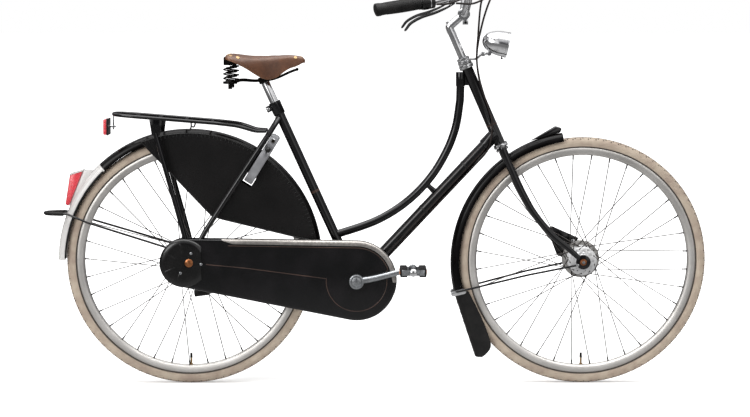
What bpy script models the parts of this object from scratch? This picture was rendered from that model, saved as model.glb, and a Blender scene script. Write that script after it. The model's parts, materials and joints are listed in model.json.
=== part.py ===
"""A classic step-through roadster: curved top tube, full chain case, coat guards, rack and sprung leather saddle.

Metres, +Z up, +X forwards, +Y to the rider's left. The chain is on the rider's right.
The pieces are laid out around a point on the ground half way between the axles, and the
root empty then moves them so that the origin is under the middle of the whole bicycle.
"""

from math import acos, atan2, ceil, cos, pi, radians, sin, sqrt, tan, tau

import bmesh
import bpy
from mathutils import Matrix, Vector

# Clearances
GAP = 0.0003  # between pieces that touch, and between a shaft and its bore
CLEAR = 0.003  # between pieces that pass each other
OVERLAP = 0.002  # how far joined shapes reach into each other

# Wheels
TYRE_RADIUS = 0.3575
TYRE_WIDTH = 0.040
TYRE_HEIGHT = 0.0333  # above the rim
RIM_DEPTH = 0.019
RIM_WIDTH = 0.028
SPOKE_COUNT = 36
SPOKE_RADIUS = 0.001
SPOKE_CROSS_ANGLE = radians(60)
VALVE_LENGTH = 0.036
VALVE_RADIUS = 0.003
WHEEL_STEPS = 40

# Frame
WHEELBASE = 1.134
CHAIN_STAY_LENGTH = 0.4843
BRACKET_DROP = 0.0522
HEAD_ANGLE = radians(66.3)
FORK_RAKE = 0.083
SEAT_ANGLE = radians(65.6)
SEAT_TUBE_LENGTH = 0.561
SEAT_FOOT_SETBACK = 0.0055  # of the seat tube's line behind the bracket's centre
DOWN_FOOT_LEAD = 0.007  # of the down tube's line ahead of it
SEAT_TUBE_RADIUS = 0.0138
SEAT_LUG_RADIUS = 0.0175
SEAT_LUG_LENGTH = 0.038
DOWN_TUBE_RADIUS = 0.016
DOWN_TUBE_HEIGHT = 0.034  # above the lower end of the head tube
TOP_TUBE_RADIUS = 0.0117
TOP_TUBE_SEAT_HEIGHT = 0.1386  # up the seat tube from the bracket
TOP_TUBE_SETBACK = 0.0218  # of its upper end behind the steering axis
STRUT_PLACE = (0.4957, 0.1851)  # along and out from the top tube's chord, as shares of it
HEAD_TUBE_RADIUS = 0.0157
HEAD_TUBE_LENGTH = 0.2413
HEAD_TUBE_BOTTOM = 0.4037  # along the steering axis, from the foot of the rake
CUP_RADIUS = 0.0205
CUP_HEIGHT = 0.009
CHAIN_STAY_RADIUS = 0.008
SEAT_STAY_RADIUS = 0.008
STAY_TIP_RADIUS = 0.006
SEAT_CLUSTER_DROP = 0.043  # of the seat stays' tops below the end of the seat tube
SHELL_RADIUS = 0.021
SHELL_WIDTH = 0.068
REAR_DROPOUT_INSIDE = 0.061
DROPOUT_THICKNESS = 0.005

# Steering
FORK_BLADE_RADIUS = 0.0115
FORK_TIP_RADIUS = 0.0075
CROWN_HEIGHT = 0.384
CROWN_RADIUS = 0.010
BLADE_SPREAD = 0.042
FRONT_DROPOUT_INSIDE = 0.050
FORK_END_RADIUS = 0.021
STEERER_RADIUS = 0.0127
QUILL_RADIUS = 0.0111
QUILL_DEPTH = 0.080
STEM_BEND_HEIGHT = 0.774
STEM_REACH = 0.0427  # from the stem's bend to the bar's clamp
STEM_RISE = 0.0354
BAR_CLAMP_RADIUS = 0.017
BAR_CLAMP_WIDTH = 0.040
BAR_RADIUS = 0.011
GRIP_HALF_SPAN = 0.298
GRIP_RADIUS = 0.017
GRIP_SPLAY = radians(16)
GRIP_FALL = 0.147
GRIP_LENGTH = 0.118
SHIFTER_LENGTH = 0.038
SHIFTER_RADIUS = 0.0185
LEVER_THICKNESS = 0.010
LEVER_PIVOT_RADIUS = 0.003

# Guards and carrier
GUARD_CLEARANCE = 0.0245  # from the tyre to its guard
GUARD_RADIUS = TYRE_RADIUS + GUARD_CLEARANCE
GUARD_WIDTH = 0.058
GUARD_DEPTH = 0.025
GUARD_WALL = 0.0012
FRONT_GUARD_CLEARANCE = 0.0225
FRONT_GUARD_RADIUS = TYRE_RADIUS + FRONT_GUARD_CLEARANCE
FRONT_GUARD_START = radians(98.9)
FRONT_GUARD_END = radians(193.7)
FRONT_GUARD_SAG = 0.0056  # of the front guard's centre below the axle
FLAP_RUN = (0.061, -0.183)
FLAP_WALL = 0.0025
REAR_GUARD_START = radians(-2.5)
REAR_GUARD_SPLIT = radians(132.7)
REAR_GUARD_END = radians(179.5)
STAY_WIRE_RADIUS = 0.003
HOOP_SLEEVE_RADIUS = 0.0058
HOOP_REACH = 0.4184  # behind the rear axle
HOOP_HEIGHT = 0.138  # above the rear axle
RACK_TUBE_RADIUS = 0.005
RACK_LEG_RADIUS = 0.0065
RACK_HALF_WIDTH = 0.072
COAT_GUARD_THICKNESS = 0.0015
COAT_GUARD_INSET = 0.012  # below the mudguard's back
COAT_GUARD_RADIUS = GUARD_RADIUS - COAT_GUARD_INSET

# Drive
CRANK_LENGTH = 0.165
CRANK_ANGLE = radians(13.2)
CRANK_AXLE_RADIUS = 0.0085
CHAIN_LINE = 0.050
CHAIN_PITCH = 0.0127
CHAIN_WIDTH = 0.008
CHAIN_HEIGHT = 0.009
CHAINRING_TEETH = 38
SPROCKET_TEETH = 18
TOOTH_THICKNESS = 0.002
CASE_INNER_Y = 0.0345
CASE_OUTER_Y = 0.076
CASE_WALL = 0.0018
CASE_FRONT_RADIUS = 0.1143
CASE_REAR_RADIUS = 0.070
CASE_CAP_DEPTH = 0.009
CASE_OVERHANG = 0.0135  # of the case's rear curve behind the axle
CASE_SAG = -0.0005
PEDAL_LENGTH = 0.077
PEDAL_WIDTH = 0.090
PEDAL_HEIGHT = 0.026
PEDAL_PIN_RADIUS = 0.006
FRONT_AXLE_RADIUS = 0.0045
REAR_AXLE_RADIUS = 0.005
AXLE_NUT_RADIUS = 0.009
AXLE_NUT_LENGTH = 0.009

# Saddle
SEAT_POST_RADIUS = 0.0125
SEAT_POST_SHOWING = 0.079  # above the seat tube
SEAT_POST_INSERT = 0.150
SADDLE_NOSE_LEAD = 0.1249  # ahead of the top of the post
SADDLE_LENGTH = 0.2305
SADDLE_HEIGHT = 0.0619  # above the top of the post
SADDLE_HALF_WIDTH = 0.100
SADDLE_NOSE_DROP = 0.010
CANTLE_RISE = 0.006  # of the leather over the cantle, above the middle of the saddle
CANTLE_DROP = 0.0265  # of the underside of the plate that the springs hold up
LEATHER_THICKNESS = 0.004
SPRING_SETBACK = 0.0904  # behind the top of the post
SPRING_HALF_SPAN = 0.052
SPRING_RADIUS = 0.0185
SPRING_WIRE_RADIUS = 0.0022
SPRING_TURNS = 3.25
SPRING_HEIGHT = 0.046
SADDLE_RAIL_RADIUS = 0.0035
SADDLE_RAIL_SPREAD = 0.020

# Stand, lock, lights and cables
STAND_LENGTH = 0.290
STAND_RADIUS = 0.0075
STAND_FOOT_RADIUS = 0.011
STAND_SHARE = 0.395  # of the way along the left chain stay
STAND_OUT = 0.0545  # of the lug's outer face from the middle of the bicycle
STAND_LUG_WIDTH = 0.012
STAND_DROP = 0.041
STAND_TILT = radians(16)
STAND_FOLD_ANGLE = radians(8)
LOCK_RING_RADIUS = 0.057
LOCK_WALL = 0.011
LOCK_THICKNESS = 0.026
LOCK_RING_HEIGHT = 0.340  # of its centre from the rear axle, along the seat stays
LOCK_MOUTH = radians(32)  # half the opening under the ring
SHACKLE_RADIUS = 0.004
SHACKLE_SPAN = radians(100)
SHACKLE_TRAVEL = radians(78)
SHACKLE_REST = radians(270) - LOCK_MOUTH - radians(3)
LOCK_LEVER_SPAN = radians(7)  # half the slot's room for the lever, at each end of its travel
LAMP_RADIUS = 0.036
LAMP_LENGTH = 0.076
LAMP_TILT = radians(12)  # of the lamp's front, downwards
LAMP_LEAD = 0.1038  # ahead of the steering axis
LAMP_RISE = 0.0245  # above the upper cup
CABLE_RADIUS = 0.0025

FRONT_AXLE = Vector((WHEELBASE / 2, 0, TYRE_RADIUS))
REAR_AXLE = Vector((-WHEELBASE / 2, 0, TYRE_RADIUS))
RIM_OUTER_RADIUS = TYRE_RADIUS - TYRE_HEIGHT
RIM_INNER_RADIUS = RIM_OUTER_RADIUS - RIM_DEPTH
BRACKET = REAR_AXLE + Vector((sqrt(CHAIN_STAY_LENGTH**2 - BRACKET_DROP**2), 0, -BRACKET_DROP))
SEAT_FOOT = BRACKET + Vector((-SEAT_FOOT_SETBACK, 0, 0))
DOWN_FOOT = BRACKET + Vector((DOWN_FOOT_LEAD, 0, 0))
STEERING = Vector((-cos(HEAD_ANGLE), 0, sin(HEAD_ANGLE)))
AHEAD = Vector((sin(HEAD_ANGLE), 0, cos(HEAD_ANGLE)))
SIDE = Vector((0, 1, 0))
SEAT_LINE = Vector((-cos(SEAT_ANGLE), 0, sin(SEAT_ANGLE)))
HEAD_TUBE_TOP = HEAD_TUBE_BOTTOM + HEAD_TUBE_LENGTH
CUP_TOP = HEAD_TUBE_TOP + CUP_HEIGHT
SEAT_CLUSTER = SEAT_FOOT + SEAT_LINE * (SEAT_TUBE_LENGTH - SEAT_CLUSTER_DROP)
STAY_LINE = (SEAT_CLUSTER - REAR_AXLE).normalized()
STAY_AHEAD = Vector((STAY_LINE.z, 0, -STAY_LINE.x))
STAY_LENGTH = (SEAT_CLUSTER - REAR_AXLE).length
DROPOUT_OUTSIDE = REAR_DROPOUT_INSIDE + DROPOUT_THICKNESS
STEERER_TOP = CUP_TOP + 0.024
STEM_BEND = FRONT_AXLE - AHEAD * FORK_RAKE + STEERING * STEM_BEND_HEIGHT
BAR_CLAMP = STEM_BEND + Vector((STEM_REACH, 0, STEM_RISE))
SEAT_POST_TOP = SEAT_TUBE_LENGTH + SEAT_POST_SHOWING
POST_TOP = SEAT_FOOT + SEAT_LINE * SEAT_POST_TOP
SADDLE_NOSE_X = POST_TOP.x + SADDLE_NOSE_LEAD
SADDLE_TOP_Z = POST_TOP.z + SADDLE_HEIGHT
SADDLE_NOSE_Z = SADDLE_TOP_Z - SADDLE_NOSE_DROP
CANTLE_Z = SADDLE_TOP_Z - CANTLE_DROP
SPRING_X = POST_TOP.x - SPRING_SETBACK
FRONT_GUARD_CENTRE = FRONT_AXLE + Vector((-0.001, 0, -FRONT_GUARD_SAG))
LIGHT_TOP = REAR_AXLE + Vector((-0.3066, 0, 0.2616))
LIGHT_FOOT = REAR_AXLE + Vector((-0.3478, 0, 0.1600))
EYELET = Vector((-0.026, 0, 0.0315))
CASE_REAR = REAR_AXLE + Vector((-CASE_OVERHANG, 0, -CASE_SAG))
FORK_END_OUTSIDE = FRONT_DROPOUT_INSIDE + DROPOUT_THICKNESS
HOOP_END_X = REAR_AXLE.x - HOOP_REACH
REARMOST = HOOP_END_X - HOOP_SLEEVE_RADIUS
FOREMOST = FRONT_AXLE.x + TYRE_RADIUS
ORIGIN = Vector(((REARMOST + FOREMOST) / 2, 0, 0))
WHEEL_PLANE = Matrix.Rotation(pi / 2, 4, "X")  # local X stays, local Y turns up, local Z turns to the right

FINISHES = {
    "black_enamel": ((0.006, 0.006, 0.007), 0.12, 0.0),
    "white_enamel": ((0.78, 0.78, 0.77), 0.25, 0.0),
    "chrome": ((0.78, 0.78, 0.80), 0.10, 1.0),
    "aluminium": ((0.62, 0.63, 0.64), 0.35, 1.0),
    "steel": ((0.50, 0.50, 0.52), 0.30, 1.0),
    "dark_steel": ((0.03, 0.03, 0.03), 0.40, 1.0),
    "tan_rubber": ((0.36, 0.29, 0.23), 0.75, 0.0),
    "black_rubber": ((0.012, 0.012, 0.012), 0.65, 0.0),
    "black_plastic": ((0.010, 0.010, 0.011), 0.30, 0.0),
    "grey_plastic": ((0.22, 0.22, 0.23), 0.45, 0.0),
    "red_plastic": ((0.62, 0.02, 0.02), 0.15, 0.0),
    "clear_plastic": ((0.85, 0.88, 0.90), 0.05, 0.0),
    "leather": ((0.22, 0.085, 0.035), 0.45, 0.0),
}


def clear_scene():
    for piece in list(bpy.data.objects):
        bpy.data.objects.remove(piece)


def new_collection(name):
    collection = bpy.data.collections.new(name)
    bpy.context.scene.collection.children.link(collection)
    return collection


def new_object(name, mesh, place=None):
    piece = bpy.data.objects.new(name, mesh)
    helpers.objects.link(piece)
    piece.hide_render = True
    piece.display_type = "WIRE"
    piece.parent = root
    piece.matrix_parent_inverse = Matrix.Translation(Vector((0, 0, 0)))
    if place is not None:
        piece.matrix_basis = place
    return piece


def from_bmesh(name, shape, place=None):
    mesh = bpy.data.meshes.new(name)
    shape.to_mesh(mesh)
    shape.free()
    return new_object(name, mesh, place)


def new_pivot(body, place, parent):
    pivot = bpy.data.objects.new(body + "_pivot", None)
    parts.objects.link(pivot)
    pivot.empty_display_size = 0.03
    pivot.parent = pivot_of[parent] if parent else root
    pivot.location = place - (place_of[parent] if parent else Vector((0, 0, 0)))
    pivot_of[body] = pivot
    place_of[body] = place


def finished(piece, name, finish, body):
    """Names a shape, gives it its material and hangs it on its body's pivot, as one piece of the bicycle."""
    colour, roughness, metallic = FINISHES[finish]
    material = bpy.data.materials.new(name)
    material.use_nodes = True
    shader = material.node_tree.nodes["Principled BSDF"]
    shader.inputs["Base Color"].default_value = (*colour, 1)
    shader.inputs["Roughness"].default_value = roughness
    shader.inputs["Metallic"].default_value = metallic
    helpers.objects.unlink(piece)
    parts.objects.link(piece)
    piece.hide_render = False
    piece.display_type = "TEXTURED"
    piece.name = name
    piece.data.name = name
    piece.data.materials.append(material)
    piece.data.shade_smooth()
    piece.data.set_sharp_from_angle(angle=radians(38))
    piece.parent = pivot_of[body]
    piece.matrix_parent_inverse = Matrix.Translation(-place_of[body])
    return piece


def with_boolean(piece, other, operation):
    modifier = piece.modifiers.new(operation.lower(), "BOOLEAN")
    modifier.operation = operation
    modifier.solver = "EXACT"
    modifier.object = other
    return piece


def joined(piece, *others):
    for other in others:
        with_boolean(piece, other, "UNION")
    return piece


def cut(piece, *cutters):
    for cutter in cutters:
        with_boolean(piece, cutter, "DIFFERENCE")
    return piece


def one_mesh(name, pieces):
    """Separate shapes that don't touch, put in one helper so that one Boolean joins them all."""
    shape = bmesh.new()
    for piece in pieces:
        copy = piece.data.copy()
        copy.transform(piece.matrix_basis)
        shape.from_mesh(copy)
        bpy.data.meshes.remove(copy)
        bpy.data.objects.remove(piece)
    return from_bmesh(name, shape)


def turned_to(direction):
    return Vector((0, 0, 1)).rotation_difference(direction).to_matrix().to_4x4()


def box(name, size, centre, turn=None):
    shape = bmesh.new()
    bmesh.ops.create_cube(shape, size=1, matrix=Matrix.Diagonal((*size, 1)))
    return from_bmesh(name, shape, Matrix.Translation(centre) @ (turn or Matrix()))


def rod(name, start, end, radius, sides=16, end_radius=None):
    shape = bmesh.new()
    run = end - start
    bmesh.ops.create_cone(
        shape, cap_ends=True, segments=sides, depth=run.length,
        radius1=radius, radius2=radius if end_radius is None else end_radius,
    )
    return from_bmesh(name, shape, Matrix.Translation((start + end) / 2) @ turned_to(run.normalized()))


def ball(name, centre, radius, sides=12, squash=(1, 1, 1)):
    shape = bmesh.new()
    bmesh.ops.create_uvsphere(shape, u_segments=sides, v_segments=sides // 2, radius=radius)
    return from_bmesh(name, shape, Matrix.Translation(centre) @ Matrix.Diagonal((*squash, 1)))


def beside(place, y):
    return Vector((place.x, y, place.z))


def cross_rod(name, place, y_from, y_to, radius, sides=20):
    return rod(name, beside(place, y_from), beside(place, y_to), radius, sides)


def turned(name, profile, place, steps, angle=tau, closed=True):
    """A profile of (radius, height) points spun about the local Z axis of place."""
    mesh = bpy.data.meshes.new(name)
    count = len(profile)
    edges = [(i, (i + 1) % count) for i in range(count if closed else count - 1)]
    mesh.from_pydata([(r, 0, h) for r, h in profile], edges, [])
    piece = new_object(name, mesh, place)
    screw = piece.modifiers.new("screw", "SCREW")
    screw.angle = angle
    screw.steps = screw.render_steps = steps
    screw.use_merge_vertices = angle == tau
    screw.merge_threshold = 0.00001
    screw.use_smooth_shade = True
    return piece


def solidified(piece, thickness, offset=-1.0):
    wall = piece.modifiers.new("wall", "SOLIDIFY")
    wall.thickness = thickness
    wall.offset = offset
    return piece


def on_wheel(axle, start=0.0):
    """A frame whose local Z is the axle, towards the right, and whose local X points at the angle start."""
    return Matrix.Translation(axle) @ WHEEL_PLANE @ Matrix.Rotation(start, 4, "Z")


def polar(centre, angle, radius, y=0.0):
    return centre + Vector((cos(angle) * radius, y, sin(angle) * radius))


def smooth(points, per_span):
    """Points along a Catmull-Rom curve through the given ones."""
    ends = [2 * points[0] - points[1], *points, 2 * points[-1] - points[-2]]
    found = []
    for a, b, c, d in zip(ends, ends[1:], ends[2:], ends[3:]):
        for step in range(per_span):
            t = step / per_span
            found.append(
                (
                    (2 * b) + (c - a) * t + (2 * a - 5 * b + 4 * c - d) * t * t
                    + (3 * b - a - 3 * c + d) * t**3
                ) / 2
            )
    return [*found, points[-1]]


def pipe(name, points, radius, bevel=2, radii=None, cyclic=False):
    """A round bar along the points, with 4 + 2 * bevel sides. Radii are factors of radius at each point."""
    curve = bpy.data.curves.new(name, "CURVE")
    curve.dimensions = "3D"
    curve.bevel_depth = radius
    curve.bevel_resolution = bevel
    curve.use_fill_caps = not cyclic
    curve.twist_mode = "MINIMUM"
    spline = curve.splines.new("POLY")
    spline.points.add(len(points) - 1)
    spline.use_cyclic_u = cyclic
    for i, point in enumerate(points):
        spline.points[i].co = (*point, 1)
        spline.points[i].radius = radii[i] if radii else 1.0
    return meshed(name, curve)


def plate(name, outline, thickness, place=None):
    """A flat outline of (x, y) points in the local XY plane, thickened both ways along local Z."""
    curve = bpy.data.curves.new(name, "CURVE")
    curve.dimensions = "2D"
    curve.fill_mode = "BOTH"
    curve.extrude = thickness / 2
    spline = curve.splines.new("POLY")
    spline.points.add(len(outline) - 1)
    spline.use_cyclic_u = True
    for i, (x, y) in enumerate(outline):
        spline.points[i].co = (x, y, 0, 1)
    return meshed(name, curve, place)


def meshed(name, curve, place=None):
    guide = bpy.data.objects.new(name, curve)
    helpers.objects.link(guide)
    bpy.context.view_layer.update()
    graph = bpy.context.evaluated_depsgraph_get()
    mesh = bpy.data.meshes.new_from_object(guide.evaluated_get(graph))
    bpy.data.objects.remove(guide)
    bpy.data.curves.remove(curve)
    shape = bmesh.new()
    shape.from_mesh(mesh)
    bmesh.ops.remove_doubles(shape, verts=shape.verts, dist=0.000001)
    bmesh.ops.recalc_face_normals(shape, faces=shape.faces)
    shape.to_mesh(mesh)
    shape.free()
    mesh.materials.clear()
    return new_object(name, mesh, place)


def side_plate(name, outline, y_from, y_to):
    """A flat outline of (x, z) points, standing between two distances to the side."""
    place = Matrix.Translation(Vector((0, (y_from + y_to) / 2, 0))) @ WHEEL_PLANE
    return plate(name, outline, abs(y_to - y_from), place)


def lofted(name, rows):
    """An open surface through rows of points, one row after the other."""
    shape = bmesh.new()
    made = [[shape.verts.new(point) for point in row] for row in rows]
    for low, high in zip(made, made[1:]):
        for i in range(len(low) - 1):
            shape.faces.new((low[i], low[i + 1], high[i + 1], high[i]))
    return from_bmesh(name, shape)


def steered(along, ahead=0.0, side=0.0):
    """A point given along the steering axis, ahead of it and to the left of it."""
    foot = FRONT_AXLE - AHEAD * FORK_RAKE
    return foot + STEERING * along + AHEAD * ahead + SIDE * side


def on_stays(along, ahead=0.0, side=0.0):
    """A point given along the seat stays from the rear axle, ahead of them and to the left."""
    return REAR_AXLE + STAY_LINE * along + STAY_AHEAD * ahead + SIDE * side


def wheel(end, axle, hub, spoke_start, flanges, body):
    """Tyre, rim and hub. The hub carries the spokes, and the rim the valve."""
    middle = (RIM_OUTER_RADIUS + GAP + TYRE_RADIUS) / 2
    half_height = TYRE_RADIUS - middle
    section = [
        (middle + half_height * cos(k * tau / 8), -TYRE_WIDTH / 2 * sin(k * tau / 8)) for k in range(8)
    ]
    tyre = turned(end + "_tyre", section, on_wheel(axle), WHEEL_STEPS)
    finished(tyre, end + "_tyre", "tan_rubber", body)

    half = RIM_WIDTH / 2
    channel = RIM_INNER_RADIUS + 0.006
    section = [
        (RIM_OUTER_RADIUS, half), (RIM_OUTER_RADIUS, -half), (channel, -half),
        (RIM_INNER_RADIUS, -half / 2), (RIM_INNER_RADIUS, half / 2), (channel, half),
    ]
    rim = turned(end + "_rim", section, on_wheel(axle), WHEEL_STEPS)
    valve_top = RIM_INNER_RADIUS + OVERLAP
    valve = rod(
        "valve", polar(axle, -pi / 2, valve_top), polar(axle, -pi / 2, valve_top - VALVE_LENGTH),
        VALVE_RADIUS, 8
    )
    finished(joined(rim, valve), end + "_rim", "aluminium", body)

    flange_radius, flange_left, flange_right = flanges
    hole_circle = flange_radius - 0.005
    rim_reach = RIM_INNER_RADIUS * cos(pi / WHEEL_STEPS) - GAP - SPOKE_RADIUS / 2
    lift = SPOKE_RADIUS * 1.8
    spokes = []
    for i in range(SPOKE_COUNT):
        angle = spoke_start + i * tau / SPOKE_COUNT
        flange = flange_left if i % 2 else -flange_right
        outward = (1 if flange > 0 else -1) * (1 if i % 4 < 2 else -1)
        lead = SPOKE_CROSS_ANGLE * (1 if i % 4 < 2 else -1)
        start = polar(axle, angle + lead, hole_circle, flange + outward * lift)
        end_point = polar(axle, angle, rim_reach, (0.003 if flange > 0 else -0.003) + outward * lift)
        spokes.append(rod("spoke", start, end_point, SPOKE_RADIUS, 3))
    finished(joined(hub, one_mesh(end + "_spokes", spokes)), end + "_hub", "aluminium", body)


def hub_shell(name, axle, bore, ends, flanges, barrel):
    """A turned hub between its right and left ends, with a flange near each."""
    right_end, left_end = ends
    radius, left, right = flanges
    flange = 0.0018
    profile = [
        (barrel * 0.62, right_end), (barrel, right + flange), (radius, right + flange),
        (radius, right - flange),
        (barrel, right - flange * 3), (barrel * 0.92, 0), (barrel, -left + flange * 3),
        (radius, -left + flange),
        (radius, -left - flange), (barrel, -left - flange), (barrel * 0.62, -left_end), (bore, -left_end),
        (bore, right_end),
    ]
    return turned(name, profile, on_wheel(axle), 14)


def wheels():
    flanges = (0.041, 0.0265, 0.0265)
    bore = FRONT_AXLE_RADIUS + GAP
    hub = hub_shell("front_hub", FRONT_AXLE, bore, (FRONT_DROPOUT_INSIDE - GAP, 0.0300), flanges, 0.020)
    wheel("front", FRONT_AXLE, hub, radians(5), flanges, "front_wheel")
    flanges = (0.038, 0.0265, 0.0300)
    bore = REAR_AXLE_RADIUS + GAP
    hub = hub_shell("rear_hub", REAR_AXLE, bore, (CHAIN_LINE - 0.005, 0.0320), flanges, 0.026)
    wheel("rear", REAR_AXLE, hub, radians(49.2), flanges, "rear_wheel")


def axle_with_nuts(name, place, radius, half_length, nut_from):
    bar = cross_rod(name, place, -half_length, half_length, radius, 12)
    nuts = [
        cross_rod("nut", place, side * nut_from, side * (nut_from + AXLE_NUT_LENGTH), AXLE_NUT_RADIUS, 6)
        for side in (-1, 1)
    ]
    return joined(bar, *nuts)


def frame_tubes():
    head = rod("head", steered(HEAD_TUBE_BOTTOM), steered(HEAD_TUBE_TOP), HEAD_TUBE_RADIUS, 20)
    lower_cup = rod(
        "lower_cup", steered(HEAD_TUBE_BOTTOM - CUP_HEIGHT), steered(HEAD_TUBE_BOTTOM + OVERLAP), CUP_RADIUS,
        20
    )
    upper_cup = rod("upper_cup", steered(HEAD_TUBE_TOP - OVERLAP), steered(CUP_TOP), CUP_RADIUS, 20)
    sleeve_top = steered(HEAD_TUBE_TOP - 0.0043, -TOP_TUBE_SETBACK)
    sleeve_end = sleeve_top + Vector((0, 0, -0.040))
    sleeve = rod("top_sleeve", sleeve_end, sleeve_top, TOP_TUBE_RADIUS + 0.0016, 16)
    web = box("head_web", (0.034, 0.010, 0.030), (sleeve_top + sleeve_end) / 2 + Vector((0.014, 0, -0.003)))
    down_start = steered(HEAD_TUBE_BOTTOM + DOWN_TUBE_HEIGHT)
    down_line = (DOWN_FOOT - down_start).normalized()
    socket_reach = HEAD_TUBE_RADIUS + 0.032
    socket = rod(
        "down_socket", down_start, down_start + down_line * socket_reach, DOWN_TUBE_RADIUS + 0.0025, 16
    )
    bore = rod(
        "head_bore", steered(HEAD_TUBE_BOTTOM - 0.1), steered(CUP_TOP + 0.1),
        (STEERER_RADIUS + GAP) / cos(pi / 16), 16
    )
    joined(head, lower_cup, upper_cup, sleeve, web, socket)
    finished(cut(head, bore), "head_tube", "black_enamel", "frame")

    foot = SEAT_FOOT + SEAT_LINE * TOP_TUBE_SEAT_HEIGHT
    sleeve_line = (sleeve_end - sleeve_top).normalized()
    top = sleeve_end + sleeve_line * GAP
    run = foot - top
    sag = Vector((run.z, 0, -run.x)).normalized() * -run.length
    bend = [
        (0.0556, 0.0446), (0.1458, 0.101), (0.2106, 0.132), (0.2957, 0.1603), (0.4143, 0.1822),
        (0.5375, 0.1844), (0.6586, 0.1666), (0.7731, 0.1303), (0.8696, 0.0818),
    ]
    route = [top + run * along + sag * out for along, out in bend]
    tube = pipe("top_tube", [top, *smooth([*route, foot], 2)], TOP_TUBE_RADIUS, 3)
    seat_space = rod("seat_space", SEAT_FOOT, SEAT_FOOT + SEAT_LINE * 0.4, SEAT_TUBE_RADIUS + GAP, 20)
    strut_top = top + run * STRUT_PLACE[0] + sag * STRUT_PLACE[1]
    along_down = (strut_top - down_start).dot(down_line)
    strut_foot = down_start + down_line * along_down
    strut_foot += (strut_top - strut_foot).normalized() * (DOWN_TUBE_RADIUS + GAP)
    strut = rod("frame_strut", strut_foot, strut_top, 0.007, 10)
    finished(cut(joined(tube, strut), seat_space), "top_tube", "black_enamel", "frame")

    down = rod("down_tube", down_start + down_line * (socket_reach + GAP), DOWN_FOOT, DOWN_TUBE_RADIUS, 18)
    shell_space = cross_rod("shell_space", BRACKET, -0.05, 0.05, SHELL_RADIUS + GAP, 24)
    seat_foot_space = rod(
        "seat_foot_space", SEAT_FOOT, SEAT_FOOT + SEAT_LINE * 0.10, SEAT_TUBE_RADIUS + GAP, 20
    )
    finished(cut(down, shell_space, seat_foot_space), "down_tube", "black_enamel", "frame")

    seat_top = SEAT_FOOT + SEAT_LINE * SEAT_TUBE_LENGTH
    lug_foot = seat_top - SEAT_LINE * SEAT_LUG_LENGTH
    seat = rod("seat_tube", SEAT_FOOT, seat_top - SEAT_LINE * OVERLAP, SEAT_TUBE_RADIUS, 18)
    lug = rod("seat_lug", lug_foot, seat_top, SEAT_LUG_RADIUS, 18)
    ear_place = seat_top - SEAT_LINE * 0.012 - seat_ahead() * (SEAT_LUG_RADIUS + 0.003)
    ears = box("clamp_ears", (0.016, 0.020, 0.018), ear_place, turned_to(SEAT_LINE))
    bore = rod(
        "post_bore", SEAT_FOOT + SEAT_LINE * 0.34, seat_top + SEAT_LINE * 0.02, SEAT_POST_RADIUS + GAP, 20
    )
    bolt_hole = cross_rod("bolt_hole", ear_place - seat_ahead() * 0.003, -0.03, 0.03, 0.003 + GAP, 10)
    joined(seat, lug, ears)
    finished(cut(seat, shell_space, bore, bolt_hole), "seat_tube", "black_enamel", "frame")
    bolt_place = ear_place - seat_ahead() * 0.003
    bolt = cross_rod("clamp_bolt", bolt_place, -0.014, 0.014, 0.003, 10)
    heads = [
        cross_rod("bolt_head", bolt_place, side * (0.010 + GAP), side * 0.015, 0.0055, 6) for side in (-1, 1)
    ]
    finished(joined(bolt, *heads), "seat_clamp_bolt", "chrome", "frame")


def seat_ahead():
    return Vector((SEAT_LINE.z, 0, -SEAT_LINE.x))


def chain_stay_route(side):
    """The stay leaves the shell, passes the tyre and flares to the dropout."""
    run = REAR_AXLE - BRACKET
    wide = REAR_DROPOUT_INSIDE + DROPOUT_THICKNESS / 2
    steps = [(0.02, 0.024), (0.11, 0.030), (0.22, 0.0405), (0.50, 0.046), (0.75, 0.052), (0.95, wide)]
    return [BRACKET + run * along + SIDE * side * out for along, out in steps]


def seat_stay_route(side):
    wide = REAR_DROPOUT_INSIDE + DROPOUT_THICKNESS / 2
    steps = [
        (0.020, -0.004, wide), (0.10, -0.008, 0.061), (0.20, -0.006, 0.052), (0.36, -0.002, 0.0425),
        (0.43, 0, 0.034)
    ]
    last = SEAT_TUBE_RADIUS + GAP + SEAT_STAY_RADIUS * 0.75
    route = [on_stays(along, ahead, side * out) for along, ahead, out in steps]
    return [*route, on_stays(STAY_LENGTH - 0.006, 0, side * last)]


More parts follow.
